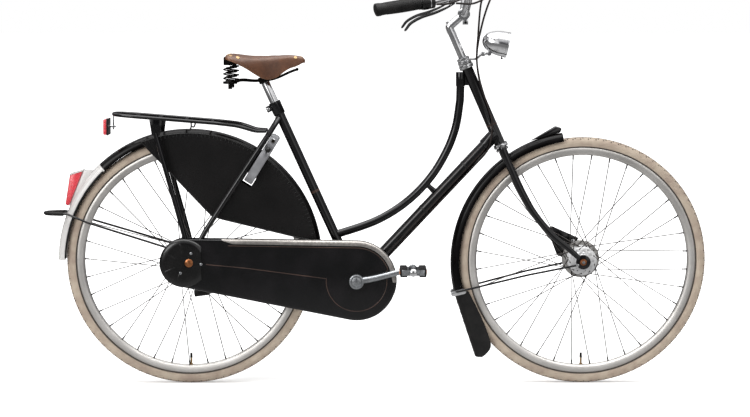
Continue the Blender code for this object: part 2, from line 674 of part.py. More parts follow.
def stays():
    shell = cross_rod("bracket_shell", BRACKET, -SHELL_WIDTH / 2, SHELL_WIDTH / 2, SHELL_RADIUS, 24)
    others = []
    for side in (-1, 1):
        route = chain_stay_route(side)
        taper = [
            1 - (1 - STAY_TIP_RADIUS / CHAIN_STAY_RADIUS) * i / (len(route) - 1) for i in range(len(route))
        ]
        others.append(pipe("chain_stay", route, CHAIN_STAY_RADIUS, 2, taper))
        inside = side * REAR_DROPOUT_INSIDE
        outside = side * DROPOUT_OUTSIDE
        others.append(cross_rod("dropout", REAR_AXLE, inside, outside, 0.017, 16))
        eyelet = REAR_AXLE + EYELET
        others.append(side_plate("eyelet", thick_line(REAR_AXLE, eyelet, 0.007), inside, outside))
        ahead = REAR_AXLE + (BRACKET - REAR_AXLE) * 0.075
        others.append(side_plate("dropout_web", thick_line(REAR_AXLE, ahead, 0.0085), inside, outside))
    bridge_place = REAR_AXLE + (BRACKET - REAR_AXLE).normalized() * (GUARD_RADIUS + GAP + 0.005)
    others.append(cross_rod("stay_bridge", bridge_place, -0.038, 0.038, 0.005, 12))
    bracket = on_left_stay(STAND_SHARE)
    lug_foot = stand_pivot() + Vector((0, 0, -0.012))
    lug = box(
        "stand_bracket", (0.036, STAND_LUG_WIDTH, bracket.z - lug_foot.z),
        Vector((lug_foot.x, STAND_OUT - STAND_LUG_WIDTH / 2, (bracket.z + lug_foot.z) / 2)),
    )
    others.append(lug)
    axle_hole = cross_rod("axle_hole", REAR_AXLE, -0.1, 0.1, REAR_AXLE_RADIUS + GAP, 16)
    crank_bore = cross_rod("crank_bore", BRACKET, -0.1, 0.1, CRANK_AXLE_RADIUS + GAP, 20)
    stand_hole = rod(
        "stand_hole", stand_pivot() - stand_axis() * 0.05, stand_pivot() + stand_axis() * 0.05, 0.005 + GAP,
        12
    )
    joined(shell, *others)
    finished(cut(shell, axle_hole, crank_bore, stand_hole), "chain_stays", "black_enamel", "frame")

    tubes = []
    for side in (-1, 1):
        route = seat_stay_route(side)
        taper = [min(1.0, STAY_TIP_RADIUS / SEAT_STAY_RADIUS + 0.12 * i) for i in range(len(route))]
        tubes.append(pipe("seat_stay", route, SEAT_STAY_RADIUS, 2, taper))
    bridge_place = on_stays(GUARD_RADIUS + GAP + 0.005)
    bridge = cross_rod("guard_bridge", bridge_place, -0.040, 0.040, 0.005, 12)
    cap = cross_rod(
        "stay_cap", on_stays(STAY_LENGTH - 0.010, -SEAT_TUBE_RADIUS * 0.2), -0.022, 0.022, 0.007, 12
    )
    seat_space = rod(
        "seat_stay_space", SEAT_FOOT + SEAT_LINE * 0.3, SEAT_FOOT + SEAT_LINE * (SEAT_TUBE_LENGTH + 0.05),
        SEAT_TUBE_RADIUS + GAP, 20,
    )
    lug_foot = SEAT_FOOT + SEAT_LINE * (SEAT_TUBE_LENGTH - SEAT_LUG_LENGTH - GAP)
    lug_space = rod("lug_space", lug_foot, lug_foot + SEAT_LINE * 0.1, SEAT_LUG_RADIUS + GAP, 20)
    dropout_space = cross_rod("dropout_space", REAR_AXLE, -0.1, 0.1, 0.017 + GAP, 24)
    joined(tubes[0], tubes[1], bridge, cap)
    finished(cut(tubes[0], seat_space, lug_space, dropout_space), "seat_stays", "black_enamel", "frame")


def on_left_stay(along):
    """A point on the left chain stay, as a share of its length from the bracket."""
    return BRACKET + (REAR_AXLE - BRACKET) * along + SIDE * 0.0445


def stand_axis():
    return Vector((0, -cos(STAND_TILT), -sin(STAND_TILT)))


def stand_pivot():
    place = on_left_stay(STAND_SHARE)
    return Vector((place.x, STAND_OUT, place.z - STAND_DROP))


def thick_line(start, end, radius, steps=6):
    """The outline of a line with round ends, as (x, z) points."""
    run = atan2(end.z - start.z, end.x - start.x)
    outline = []
    for centre, turn in ((end, run - pi / 2), (start, run + pi / 2)):
        for k in range(steps + 1):
            angle = turn + pi * k / steps
            outline.append((centre.x + radius * cos(angle), centre.z + radius * sin(angle)))
    return outline


def hull_of_circles(rear, rear_radius, front, front_radius, steps=16):
    """The outline round two circles in the wheel plane, as (x, z) points."""
    run = front - rear
    line = atan2(run.z, run.x)
    lean = acos((rear_radius - front_radius) / run.length)
    outline = []
    for k in range(steps + 1):
        angle = line - lean + 2 * lean * k / steps
        outline.append((front.x + front_radius * cos(angle), front.z + front_radius * sin(angle)))
    for k in range(steps + 1):
        angle = line + lean + (tau - 2 * lean) * k / steps
        outline.append((rear.x + rear_radius * cos(angle), rear.z + rear_radius * sin(angle)))
    return outline


def pitch_radius(teeth):
    return CHAIN_PITCH / (2 * sin(pi / teeth))


def toothed(name, centre, teeth, phase):
    """A toothed disc in the chain's plane."""
    pitch = pitch_radius(teeth)
    outline = []
    for k in range(teeth):
        for offset, radius in ((-0.14, pitch + 0.0022), (0.14, pitch + 0.0022), (0.5, pitch - 0.0035)):
            angle = phase + (k + offset) * tau / teeth
            outline.append((centre.x + radius * cos(angle), centre.z + radius * sin(angle)))
    return side_plate(name, outline, -CHAIN_LINE - TOOTH_THICKNESS / 2, -CHAIN_LINE + TOOTH_THICKNESS / 2)


def chain():
    """The chain as one band, grooved along its inside for the teeth."""
    sweep = []
    for radius, half in (
        (CHAIN_HEIGHT / 2, CHAIN_WIDTH / 2),
        (CHAIN_HEIGHT / 2, -CHAIN_WIDTH / 2),
        (-CHAIN_HEIGHT / 2, -CHAIN_WIDTH / 2),
        (-CHAIN_HEIGHT / 2, -TOOTH_THICKNESS / 2 - 0.0005),
        (0.0032, -TOOTH_THICKNESS / 2 - 0.0005),
        (0.0032, TOOTH_THICKNESS / 2 + 0.0005),
        (-CHAIN_HEIGHT / 2, TOOTH_THICKNESS / 2 + 0.0005),
        (-CHAIN_HEIGHT / 2, CHAIN_WIDTH / 2),
    ):
        path = hull_of_circles(
            REAR_AXLE, pitch_radius(SPROCKET_TEETH) + radius, BRACKET, pitch_radius(CHAINRING_TEETH) + radius,
            14
        )
        sweep.append([Vector((x, -CHAIN_LINE + half, z)) for x, z in path])
    shape = bmesh.new()
    rings = [[shape.verts.new(point) for point in row] for row in sweep]
    for row, after in zip(rings, rings[1:] + rings[:1]):
        for i in range(len(row)):
            j = (i + 1) % len(row)
            shape.faces.new((row[i], row[j], after[j], after[i]))
    bmesh.ops.recalc_face_normals(shape, faces=shape.faces)
    return from_bmesh("chain", shape)


def drive():
    finished(chain(), "chain", "dark_steel", "frame")
    ring = toothed("chainring", BRACKET, CHAINRING_TEETH, 0.0)
    ring_bore = cross_rod("ring_bore", BRACKET, -0.2, 0.2, CRANK_AXLE_RADIUS + GAP, 20)
    finished(cut(ring, ring_bore), "chainring", "chrome", "crank")
    sprocket = toothed("rear_sprocket", REAR_AXLE, SPROCKET_TEETH, 0.0)
    boss = cross_rod(
        "sprocket_boss", REAR_AXLE, -CHAIN_LINE + 0.0045, -REAR_DROPOUT_INSIDE + 0.001, 0.015, 16
    )
    sprocket_bore = cross_rod("sprocket_bore", REAR_AXLE, -0.2, 0.2, REAR_AXLE_RADIUS + GAP, 16)
    finished(cut(joined(sprocket, boss), sprocket_bore), "rear_sprocket", "dark_steel", "rear_sprocket")

    reach = CASE_OUTER_Y + 0.010
    finished(
        cross_rod("crank_axle", BRACKET, -reach, reach, CRANK_AXLE_RADIUS, 16), "crank_axle", "steel", "crank"
    )
    for name, side, turn in (("right", -1, CRANK_ANGLE), ("left", 1, CRANK_ANGLE + pi)):
        crank_arm(name, side, turn)
        pedal(name, side, polar(BRACKET, turn, CRANK_LENGTH))


def crank_arm(name, side, turn):
    face = CASE_OUTER_Y + 0.0015
    tip = polar(BRACKET, turn, CRANK_LENGTH)
    inner = CHAIN_LINE + TOOTH_THICKNESS / 2 + GAP if side < 0 else SHELL_WIDTH / 2 + 0.001
    boss = cross_rod("crank_boss", BRACKET, side * inner, side * (face + 0.004), 0.0135, 20)
    head = cross_rod("crank_head", BRACKET, side * face, side * (face + 0.018), 0.0215, 24)
    arm = rod(
        "crank_bar", polar(BRACKET, turn, 0.010, side * (face + 0.009)),
        polar(tip, turn, 0, side * (face + 0.012)),
        0.0095, 12, 0.0075,
    )
    eye = cross_rod("crank_eye", tip, side * (face + 0.005), side * (face + 0.019), 0.0125, 16)
    pin = cross_rod(
        "pedal_pin", tip, side * (face + 0.018), side * (face + 0.022 + PEDAL_WIDTH), PEDAL_PIN_RADIUS, 12
    )
    socket = cross_rod(
        "axle_socket", BRACKET, 0, side * (CASE_OUTER_Y + 0.010 + GAP), CRANK_AXLE_RADIUS + GAP, 16
    )
    joined(boss, head, arm, eye, pin)
    finished(cut(boss, socket), name + "_crank_arm", "aluminium", "crank")


def pedal(name, side, place):
    """A flat pedal: a barrel on the pin, two end plates and two rubber treads."""
    start = CASE_OUTER_Y + 0.0015 + 0.019 + 0.002
    end = start + PEDAL_WIDTH
    barrel = cross_rod("pedal_barrel", place, side * start, side * end, 0.0105, 14)
    others = []
    for y in (start + 0.003, end - 0.006):
        y_middle = side * (y + 0.0015)
        others.append(
            box("pedal_plate", (PEDAL_LENGTH * 0.9, 0.003, PEDAL_HEIGHT * 0.72), beside(place, y_middle))
        )
    for way in (-1, 1):
        middle = Vector((place.x + way * (PEDAL_LENGTH / 2 - 0.0115), side * (start + end) / 2, place.z))
        others.append(box("pedal_tread", (0.023, PEDAL_WIDTH, PEDAL_HEIGHT), middle))
    bore = cross_rod("pedal_bore", place, side * 0.05, side * 0.3, PEDAL_PIN_RADIUS + GAP, 14)
    finished(cut(joined(barrel, *others), bore), name + "_pedal", "black_rubber", name + "_pedal")


def case_outline(inset=0.0):
    return hull_of_circles(CASE_REAR, CASE_REAR_RADIUS - inset, BRACKET, CASE_FRONT_RADIUS - inset)


def chain_case():
    pan = side_plate("chain_case_outer", case_outline(), -CASE_OUTER_Y, -CASE_INNER_Y - CASE_WALL - GAP)
    hollow = side_plate("case_hollow", case_outline(CASE_WALL), -CASE_OUTER_Y + CASE_WALL, 0)
    crank_hole = cross_rod("case_crank_hole", BRACKET, -0.1, -0.03, 0.0135 + 0.0015, 24)
    nut_hole = cross_rod("case_nut_hole", REAR_AXLE, -0.1, -0.03, AXLE_NUT_RADIUS + CLEAR, 20)
    window = [(r * cos(a), r * sin(a)) for r, a in arc_band(0.052, 0.095, radians(18), radians(158), 10)]
    window = [(REAR_AXLE.x + x, REAR_AXLE.z + z) for x, z in window]
    stay_window = side_plate("stay_window", window, -CASE_OUTER_Y + CASE_WALL, 0)
    cut(pan, hollow, crank_hole, nut_hole, stay_window)
    finished(pan, "chain_case_outer", "black_enamel", "frame")

    cover = side_plate("chain_case_inner", case_outline(0.0005), -CASE_INNER_Y - CASE_WALL, -CASE_INNER_Y)
    slot = side_plate(
        "stay_slot", thick_line(REAR_AXLE - Vector((0.2, 0, 0)), BRACKET + Vector((-0.048, 0, 0)), 0.023, 8),
        -0.1, 0
    )
    hub_hole = cross_rod("case_hub_hole", REAR_AXLE, -0.1, 0, 0.041, 24)
    axle_hole = cross_rod("case_axle_hole", BRACKET, -0.1, 0, CRANK_AXLE_RADIUS + CLEAR, 20)
    finished(cut(cover, slot, hub_hole, axle_hole), "chain_case_inner", "black_enamel", "frame")

    front = CASE_OUTER_Y + GAP
    profile = [
        (0.002, front + CASE_CAP_DEPTH * 0.8), (0.034, front + CASE_CAP_DEPTH),
        (CASE_REAR_RADIUS - 0.012, front + CASE_CAP_DEPTH), (CASE_REAR_RADIUS, front + CASE_CAP_DEPTH * 0.4),
        (CASE_REAR_RADIUS, front), (0.002, front),
    ]
    cap = turned("chain_case_rear_cap", profile, on_wheel(CASE_REAR), 28)
    trim = box("cap_trim", (0.08, 0.05, 0.20), REAR_AXLE + Vector((0.077, -front, 0)))
    cap_hole = cross_rod("case_cap_hole", REAR_AXLE, -0.1, -0.07, AXLE_NUT_RADIUS + CLEAR, 20)
    finished(cut(cap, trim, cap_hole), "chain_case_rear_cap", "black_plastic", "frame")


def arc_band(inner, outer, start, end, steps):
    """The outline of a stretch of a flat ring, as (radius, angle) pairs."""
    forward = [(outer, start + (end - start) * k / steps) for k in range(steps + 1)]
    back = [(inner, end + (start - end) * k / steps) for k in range(steps + 1)]
    return forward + back


def guard(name, axle, radius, start, end, steps, width=GUARD_WIDTH, depth=GUARD_DEPTH, wall=GUARD_WALL):
    """A mudguard shell: a shallow channel swept round the wheel."""
    half = width / 2
    profile = [
        (radius - depth, half), (radius - depth * 0.45, half * 0.97), (radius - depth * 0.10, half * 0.66),
        (radius, 0),
        (radius - depth * 0.10, -half * 0.66), (radius - depth * 0.45, -half * 0.97), (radius - depth, -half),
    ]
    shell = turned(name, profile, on_wheel(axle, start), steps, end - start, closed=False)
    return solidified(shell, wall, -1.0)


def guards():
    rear = guard("rear_mudguard", REAR_AXLE, GUARD_RADIUS, REAR_GUARD_START, REAR_GUARD_SPLIT, 20)
    finished(rear, "rear_mudguard", "black_enamel", "frame")
    step = GAP / GUARD_RADIUS
    tail = guard(
        "rear_mudguard_tail", REAR_AXLE, GUARD_RADIUS, REAR_GUARD_SPLIT + step, REAR_GUARD_END, 7, wall=0.002
    )
    low = REAR_AXLE + Vector((-0.347, 0, 0.1505))
    high = REAR_AXLE + Vector((-0.276, 0, 0.262))
    fairing_outline = [
        (high.x, high.z), (LIGHT_TOP.x + GAP, LIGHT_TOP.z), (LIGHT_FOOT.x + GAP, LIGHT_FOOT.z), (low.x, low.z)
    ]
    fairing = side_plate("light_fairing", fairing_outline, -0.016, 0.016)
    finished(joined(tail, fairing), "rear_mudguard_tail", "white_enamel", "frame")
    light_outline = [
        (LIGHT_TOP.x, LIGHT_TOP.z), (LIGHT_TOP.x - 0.0375, LIGHT_TOP.z - 0.011),
        (LIGHT_FOOT.x - 0.0105, LIGHT_FOOT.z + 0.0035), (LIGHT_FOOT.x, LIGHT_FOOT.z),
    ]
    finished(side_plate("tail_light", light_outline, -0.0225, 0.0225), "tail_light", "red_plastic", "frame")

    front = guard(
        "front_mudguard", FRONT_GUARD_CENTRE, FRONT_GUARD_RADIUS, FRONT_GUARD_START, FRONT_GUARD_END, 14
    )
    fin_foot = polar(FRONT_AXLE, radians(113.5), FRONT_GUARD_RADIUS - 0.002)
    fin_top = polar(FRONT_AXLE, radians(101.5), FRONT_GUARD_RADIUS + 0.017)
    fin_front = polar(FRONT_AXLE, radians(99.0), FRONT_GUARD_RADIUS + 0.008)
    fin_base = polar(FRONT_AXLE, radians(100.0), FRONT_GUARD_RADIUS - 0.004)
    fin_outline = [(p.x, p.z) for p in (fin_foot, fin_base, fin_front, fin_top)]
    fin = side_plate("guard_fin", fin_outline, -0.010, 0.010)
    finished(joined(front, fin), "front_mudguard", "black_enamel", "fork")


def mudflap():
    """A rubber flap that carries on from the lower end of the front guard, bent like it."""
    below_guard = FRONT_GUARD_END + 1.5 * GAP / FRONT_GUARD_RADIUS
    top = polar(FRONT_GUARD_CENTRE, below_guard, FRONT_GUARD_RADIUS)
    rows = []
    for t, deep in ((0.0, 0.040), (0.25, 0.050), (0.5, 0.055), (0.72, 0.056), (0.9, 0.042), (1.0, 0.018)):
        back = top + Vector((FLAP_RUN[0], 0, FLAP_RUN[1])) * t
        half = GUARD_WIDTH / 2 + 0.006 * t
        rise = tan(FRONT_GUARD_END - pi) * (1 - t)
        rows.append([
            back + Vector((inwards * deep, out * half, inwards * deep * rise))
            for inwards, out in (
                (1, -1), (0.45, -0.97), (0.1, -0.66), (0, 0), (0.1, 0.66), (0.45, 0.97), (1, 1)
            )
        ])
    finished(solidified(lofted("mudflap", rows), FLAP_WALL, 1.0), "mudflap", "black_rubber", "fork")


def guard_stays():
    """The wire loops that hold the guards' free ends."""
    inside = FORK_END_OUTSIDE + GAP + STAY_WIRE_RADIUS
    back = polar(FRONT_GUARD_CENTRE, radians(193.0), FRONT_GUARD_RADIUS + GAP + STAY_WIRE_RADIUS)
    edge = GUARD_WIDTH / 2 + 0.0045
    half_route = [
        FRONT_AXLE + Vector((-0.017, inside, -0.008)), FRONT_AXLE + Vector((-0.16, 0.048, -0.038)),
        back + Vector((0.050, edge, 0.012)), back + Vector((0.015, edge, 0.004)),
        back + Vector((0.0025, GUARD_WIDTH * 0.36, 0.0)), back,
    ]
    mirrored = [Vector((p.x, -p.y, p.z)) for p in reversed(half_route[:-1])]
    wire = pipe("front_mudguard_stay", half_route + mirrored, STAY_WIRE_RADIUS, 1)
    finished(wire, "front_mudguard_stay", "black_enamel", "fork")

    outside = DROPOUT_OUTSIDE + GAP + STAY_WIRE_RADIUS
    start = REAR_AXLE + EYELET
    corner = REAR_AXLE + Vector((-0.350, 0, HOOP_HEIGHT))
    loop_z = REAR_AXLE.z + HOOP_HEIGHT
    half_route = [
        start + Vector((0.004, outside, -0.002)), start + Vector((-0.008, outside, 0.004)),
        corner + Vector((0.06, 0.050, -0.024)), corner + Vector((0, 0.042, 0)),
        Vector((corner.x - 0.015, 0.038, loop_z)), Vector((HOOP_END_X + 0.022, 0.028, loop_z)),
        Vector((HOOP_END_X + 0.006, 0.017, loop_z)), Vector((HOOP_END_X, 0, loop_z)),
    ]
    mirrored = [Vector((p.x, -p.y, p.z)) for p in reversed(half_route[:-1])]
    hoop = pipe("rear_mudguard_stay", half_route + mirrored, STAY_WIRE_RADIUS, 1)
    sleeve_half = half_route[4:]
    sleeve_mirrored = [Vector((p.x, -p.y, p.z)) for p in reversed(sleeve_half[:-1])]
    sleeve = pipe("hoop_sleeve", sleeve_half + sleeve_mirrored, HOOP_SLEEVE_RADIUS, 2)
    lift = atan2(loop_z - REAR_AXLE.z, -sqrt(GUARD_RADIUS**2 - (loop_z - REAR_AXLE.z) ** 2))
    tie_place = polar(REAR_AXLE, lift, GUARD_RADIUS + GAP + STAY_WIRE_RADIUS)
    tie = cross_rod("hoop_tie", tie_place, -0.041, 0.041, STAY_WIRE_RADIUS, 8)
    finished(joined(hoop, sleeve, tie), "rear_mudguard_stay", "black_enamel", "frame")


def rack():
    """The carrier: a looped rail with cross bars, and two legs down to the axle."""
    meet = on_stays(0.436, -(SEAT_STAY_RADIUS + RACK_TUBE_RADIUS + GAP))
    rear = REAR_AXLE + Vector((-0.218, 0, 0.4250))
    steps = [
        # ahead of and above the rear axle, and out from the middle
        (0.191, 0.3785, 0.054), (0.162, 0.3875, 0.066), (0.134, 0.3945, RACK_HALF_WIDTH),
        (0.0765, 0.4014, RACK_HALF_WIDTH),
        (-0.155, 0.4202, RACK_HALF_WIDTH), (-0.192, 0.4231, 0.062), (-0.212, 0.4246, 0.038),
    ]
    half_route = [
        meet + Vector((0, 0.042, 0)), *(REAR_AXLE + Vector((ahead, out, up)) for ahead, up, out in steps),
        rear
    ]
    mirrored = [Vector((p.x, -p.y, p.z)) for p in reversed(half_route[:-1])]
    rail = pipe("rear_rack", half_route + mirrored, RACK_TUBE_RADIUS, 1)
    others = [cross_rod("front_bar", meet, -0.046, 0.046, RACK_TUBE_RADIUS, 10)]
    for along in (0.065, -0.010, -0.085, -0.150):
        place = REAR_AXLE + Vector((along, 0, 0.4014 + (0.0765 - along) * 0.0812))
        others.append(cross_rod("cross_bar", place, -RACK_HALF_WIDTH, RACK_HALF_WIDTH, 0.0035, 8))
    for side in (-1, 1):
        foot = REAR_AXLE + SIDE * side * (DROPOUT_OUTSIDE + GAP + 0.0032)
        top = REAR_AXLE + Vector((-0.0925, side * RACK_HALF_WIDTH, 0.374))
        knee = REAR_AXLE + Vector((-0.010, side * 0.0650, 0.070))
        route = [foot + Vector((0, 0, 0.012)), knee, top]
        others.append(pipe("rack_leg", route, RACK_LEG_RADIUS, 1, [0.31, 1, 1]))
        eye_from = side * (DROPOUT_OUTSIDE + GAP)
        others.append(cross_rod("leg_eye", REAR_AXLE, eye_from, eye_from + side * 0.004, 0.0125, 14))
        gusset = [(-0.110, 0.417), (-0.073, 0.414), (-0.079, 0.366), (-0.102, 0.366)]
        outline = [(REAR_AXLE.x + x, REAR_AXLE.z + z) for x, z in gusset]
        others.append(
            side_plate(
                "rack_gusset", outline, side * (RACK_HALF_WIDTH - 0.003), side * (RACK_HALF_WIDTH + 0.003)
            )
        )
    axle_hole = cross_rod("leg_hole", REAR_AXLE, -0.1, 0.1, REAR_AXLE_RADIUS + GAP, 14)
    finished(cut(joined(rail, *others), axle_hole), "rear_rack", "black_enamel", "frame")

    top = rear + Vector((0, 0, -RACK_TUBE_RADIUS - GAP))
    lens = box("rear_reflector", (0.010, 0.074, 0.044), rear + Vector((-0.022, 0, -0.037)))
    arm = box("reflector_arm", (0.005, 0.014, 0.040), top + Vector((-0.001, 0, -0.020)))
    stud = rod(
        "reflector_stud", rear + Vector((-0.020, 0, -0.036)), rear + Vector((0.006, 0, -0.036)), 0.0035, 8
    )
    finished(joined(lens, arm, stud), "rear_reflector", "red_plastic", "frame")


def coat_guards():
    """A sheet on each side between the rear guard and the stays, with a hole for the lock's bar."""
    start = radians(111.6)
    end = radians(9.3)
    steps = 18
    outline = []
    for k in range(steps + 1):
        point = polar(REAR_AXLE, start + (end - start) * k / steps, COAT_GUARD_RADIUS)
        outline.append((point.x, point.z))
    for x, z in (
        (0.3174, 0.068), (0.190, 0.099), (0.095, 0.122), (0.0646, 0.132), (0.044, 0.153), (-0.036, 0.238)
    ):
        outline.append((REAR_AXLE.x + x, REAR_AXLE.z + z))
    for name, side in (("right", -1), ("left", 1)):
        inside = side * (GUARD_WIDTH / 2 + GAP)
        sheet = side_plate("coat_guard", outline, inside, inside + side * COAT_GUARD_THICKNESS)
        passage = Matrix.Translation(Vector((0, -LOCK_RING_RADIUS * cos(LOCK_MOUTH) + 0.001, 0)))
        hole = box("bar_hole", (0.1, 0.036, LOCK_THICKNESS + 0.004), Vector((0, 0, 0)))
        hole.matrix_basis = lock_frame() @ passage
        finished(cut(sheet, hole), "coat_guard_" + name, "black_enamel", "frame")


def lock_frame():
    """Local X to the left, local Y up along the seat stays, local Z ahead, at the middle of the lock's ring."""
    turn = Matrix((SIDE, STAY_LINE, SIDE.cross(STAY_LINE))).transposed().to_4x4()
    ahead = SEAT_STAY_RADIUS + GAP + LOCK_THICKNESS / 2
    return Matrix.Translation(on_stays(LOCK_RING_HEIGHT, ahead)) @ turn


def lock_point(angle, radius, ahead=0.0):
    return lock_frame() @ Vector((radius * cos(angle), radius * sin(angle), ahead))


def lock():
    """A ring lock over the tyre. Its bar turns through the mouth, between the spokes."""
    frame = lock_frame()
    start = radians(270) + LOCK_MOUTH
    end = radians(270) - LOCK_MOUTH + tau
    band = arc_band(LOCK_RING_RADIUS - LOCK_WALL, LOCK_RING_RADIUS + LOCK_WALL, start, end, 18)
    body = plate("lock_body", [(r * cos(a), r * sin(a)) for r, a in band], LOCK_THICKNESS, frame)
    head_outline = [
        (-0.030, 0.056), (-0.046, 0.070), (-0.046, 0.097), (-0.036, 0.105), (0.010, 0.099), (0.024, 0.078),
        (0.022, 0.058),
    ]
    head = plate("lock_head", list(reversed(head_outline)), LOCK_THICKNESS, frame)
    channel_points = [
        lock_point(start - 0.1 + (end - start + 0.2) * k / 20, LOCK_RING_RADIUS) for k in range(21)
    ]
    channel = pipe("shackle_channel", channel_points, SHACKLE_RADIUS + 0.0018, 2)
    lever_from = SHACKLE_REST - SHACKLE_SPAN - LOCK_LEVER_SPAN
    lever_to = SHACKLE_REST - SHACKLE_SPAN + SHACKLE_TRAVEL + LOCK_LEVER_SPAN
    slot_band = arc_band(LOCK_RING_RADIUS, LOCK_RING_RADIUS + 0.05, lever_from, lever_to, 12)
    slot = plate("lever_slot", [(r * cos(a), r * sin(a)) for r, a in slot_band], 0.0052, frame)
    finished(cut(joined(body, head), channel, slot), "lock_body", "grey_plastic", "frame")

    bar_points = [lock_point(SHACKLE_REST - SHACKLE_SPAN * k / 12, LOCK_RING_RADIUS) for k in range(13)]
    bar = pipe("lock_shackle", bar_points, SHACKLE_RADIUS, 2)
    lever_angle = SHACKLE_REST - SHACKLE_SPAN + LOCK_LEVER_SPAN * 0.35
    stem = rod(
        "lever_stem", lock_point(lever_angle, LOCK_RING_RADIUS),
        lock_point(lever_angle, LOCK_RING_RADIUS + 0.026),
        0.0021, 8,
    )
    knob = ball("lever_knob", lock_point(lever_angle, LOCK_RING_RADIUS + 0.026), 0.0085, 10)
    finished(joined(bar, stem, knob), "lock_shackle", "chrome", "lock_shackle")


def stand():
    """The propping stand, folded back along the stay."""
    pivot = stand_pivot()
    axis = stand_axis()
    folded = Vector((-1, 0, 0))
    folded.rotate(Matrix.Rotation(STAND_FOLD_ANGLE, 4, axis))
    hub_from = pivot - axis * 0.008
    hub_to = pivot - axis * 0.021
    start = (hub_from + hub_to) / 2
    head = rod("stand_head", hub_from, hub_to, 0.013, 16)
    pin = rod("stand_pin", pivot + axis * (STAND_LUG_WIDTH - 0.004), hub_from - axis * 0.004, 0.005, 12)
    leg = pipe("stand_leg", [start, start + folded * (STAND_LENGTH - 0.03)], STAND_RADIUS, 3)
    foot = rod(
        "stand_foot", start + folded * (STAND_LENGTH - 0.045), start + folded * STAND_LENGTH,
        STAND_FOOT_RADIUS, 12
    )
    finished(joined(head, pin, leg, foot), "kickstand", "black_enamel", "kickstand")


def fork():
    crown = cross_rod("fork", steered(CROWN_HEIGHT), -BLADE_SPREAD, BLADE_SPREAD, CROWN_RADIUS, 14)
    others = [rod("steerer", steered(CROWN_HEIGHT), steered(STEERER_TOP), STEERER_RADIUS, 16)]
    race = rod("crown_race", steered(CROWN_HEIGHT), steered(HEAD_TUBE_BOTTOM - CUP_HEIGHT - GAP), 0.018, 18)
    others.append(race)
    tab_end = FRONT_GUARD_CENTRE + (
        steered(CROWN_HEIGHT) - FRONT_GUARD_CENTRE
    ).normalized() * (FRONT_GUARD_RADIUS + GAP)
    others.append(rod("guard_tab", tab_end, steered(CROWN_HEIGHT), 0.006, 10))
    tip_y = (FRONT_DROPOUT_INSIDE + FORK_END_OUTSIDE) / 2
    for side in (-1, 1):
        route = [
            steered(CROWN_HEIGHT + 0.008, 0, side * BLADE_SPREAD), steered(0.292, 0, side * BLADE_SPREAD),
            steered(0.234, 0.003, side * (BLADE_SPREAD + 0.001)),
            steered(0.182, 0.010, side * (BLADE_SPREAD + 0.003)),
            steered(0.107, 0.032, side * (BLADE_SPREAD + 0.007)), steered(0.0506, 0.0605, side * tip_y),
            steered(0.017, FORK_RAKE - 0.0072, side * tip_y),
        ]
        points = smooth(route, 2)
        taper = [
            1 - (
                1 - FORK_TIP_RADIUS / FORK_BLADE_RADIUS
            ) * (i / (len(points) - 1)) ** 1.3 for i in range(len(points))
        ]
        others.append(pipe("fork_blade", points, FORK_BLADE_RADIUS, 2, taper))
        others.append(
            cross_rod(
                "fork_end", FRONT_AXLE, side * FRONT_DROPOUT_INSIDE, side * FORK_END_OUTSIDE, FORK_END_RADIUS,
                18
            )
        )
    hub_space = cross_rod("hub_space", FRONT_AXLE, -FRONT_DROPOUT_INSIDE, FRONT_DROPOUT_INSIDE, 0.060, 24)
    axle_hole = cross_rod("front_axle_hole", FRONT_AXLE, -0.1, 0.1, FRONT_AXLE_RADIUS + GAP, 14)
    quill_bore = rod(
        "quill_bore", steered(STEERER_TOP - QUILL_DEPTH - 0.01), steered(STEERER_TOP + 0.02),
        QUILL_RADIUS + GAP, 16
    )
    joined(crown, *others)
    finished(cut(crown, hub_space, axle_hole, quill_bore), "fork", "black_enamel", "fork")

    finished(
        axle_with_nuts(
            "front_axle", FRONT_AXLE, FRONT_AXLE_RADIUS, FORK_END_OUTSIDE + 0.012, FORK_END_OUTSIDE + GAP
        ),
        "front_axle", "chrome", "fork",
    )
    finished(
        axle_with_nuts(
            "rear_axle", REAR_AXLE, REAR_AXLE_RADIUS, DROPOUT_OUTSIDE + 0.018,
            DROPOUT_OUTSIDE + 0.004 + 2 * GAP
        ),
        "rear_axle", "chrome", "frame",
    )
    brake_units()


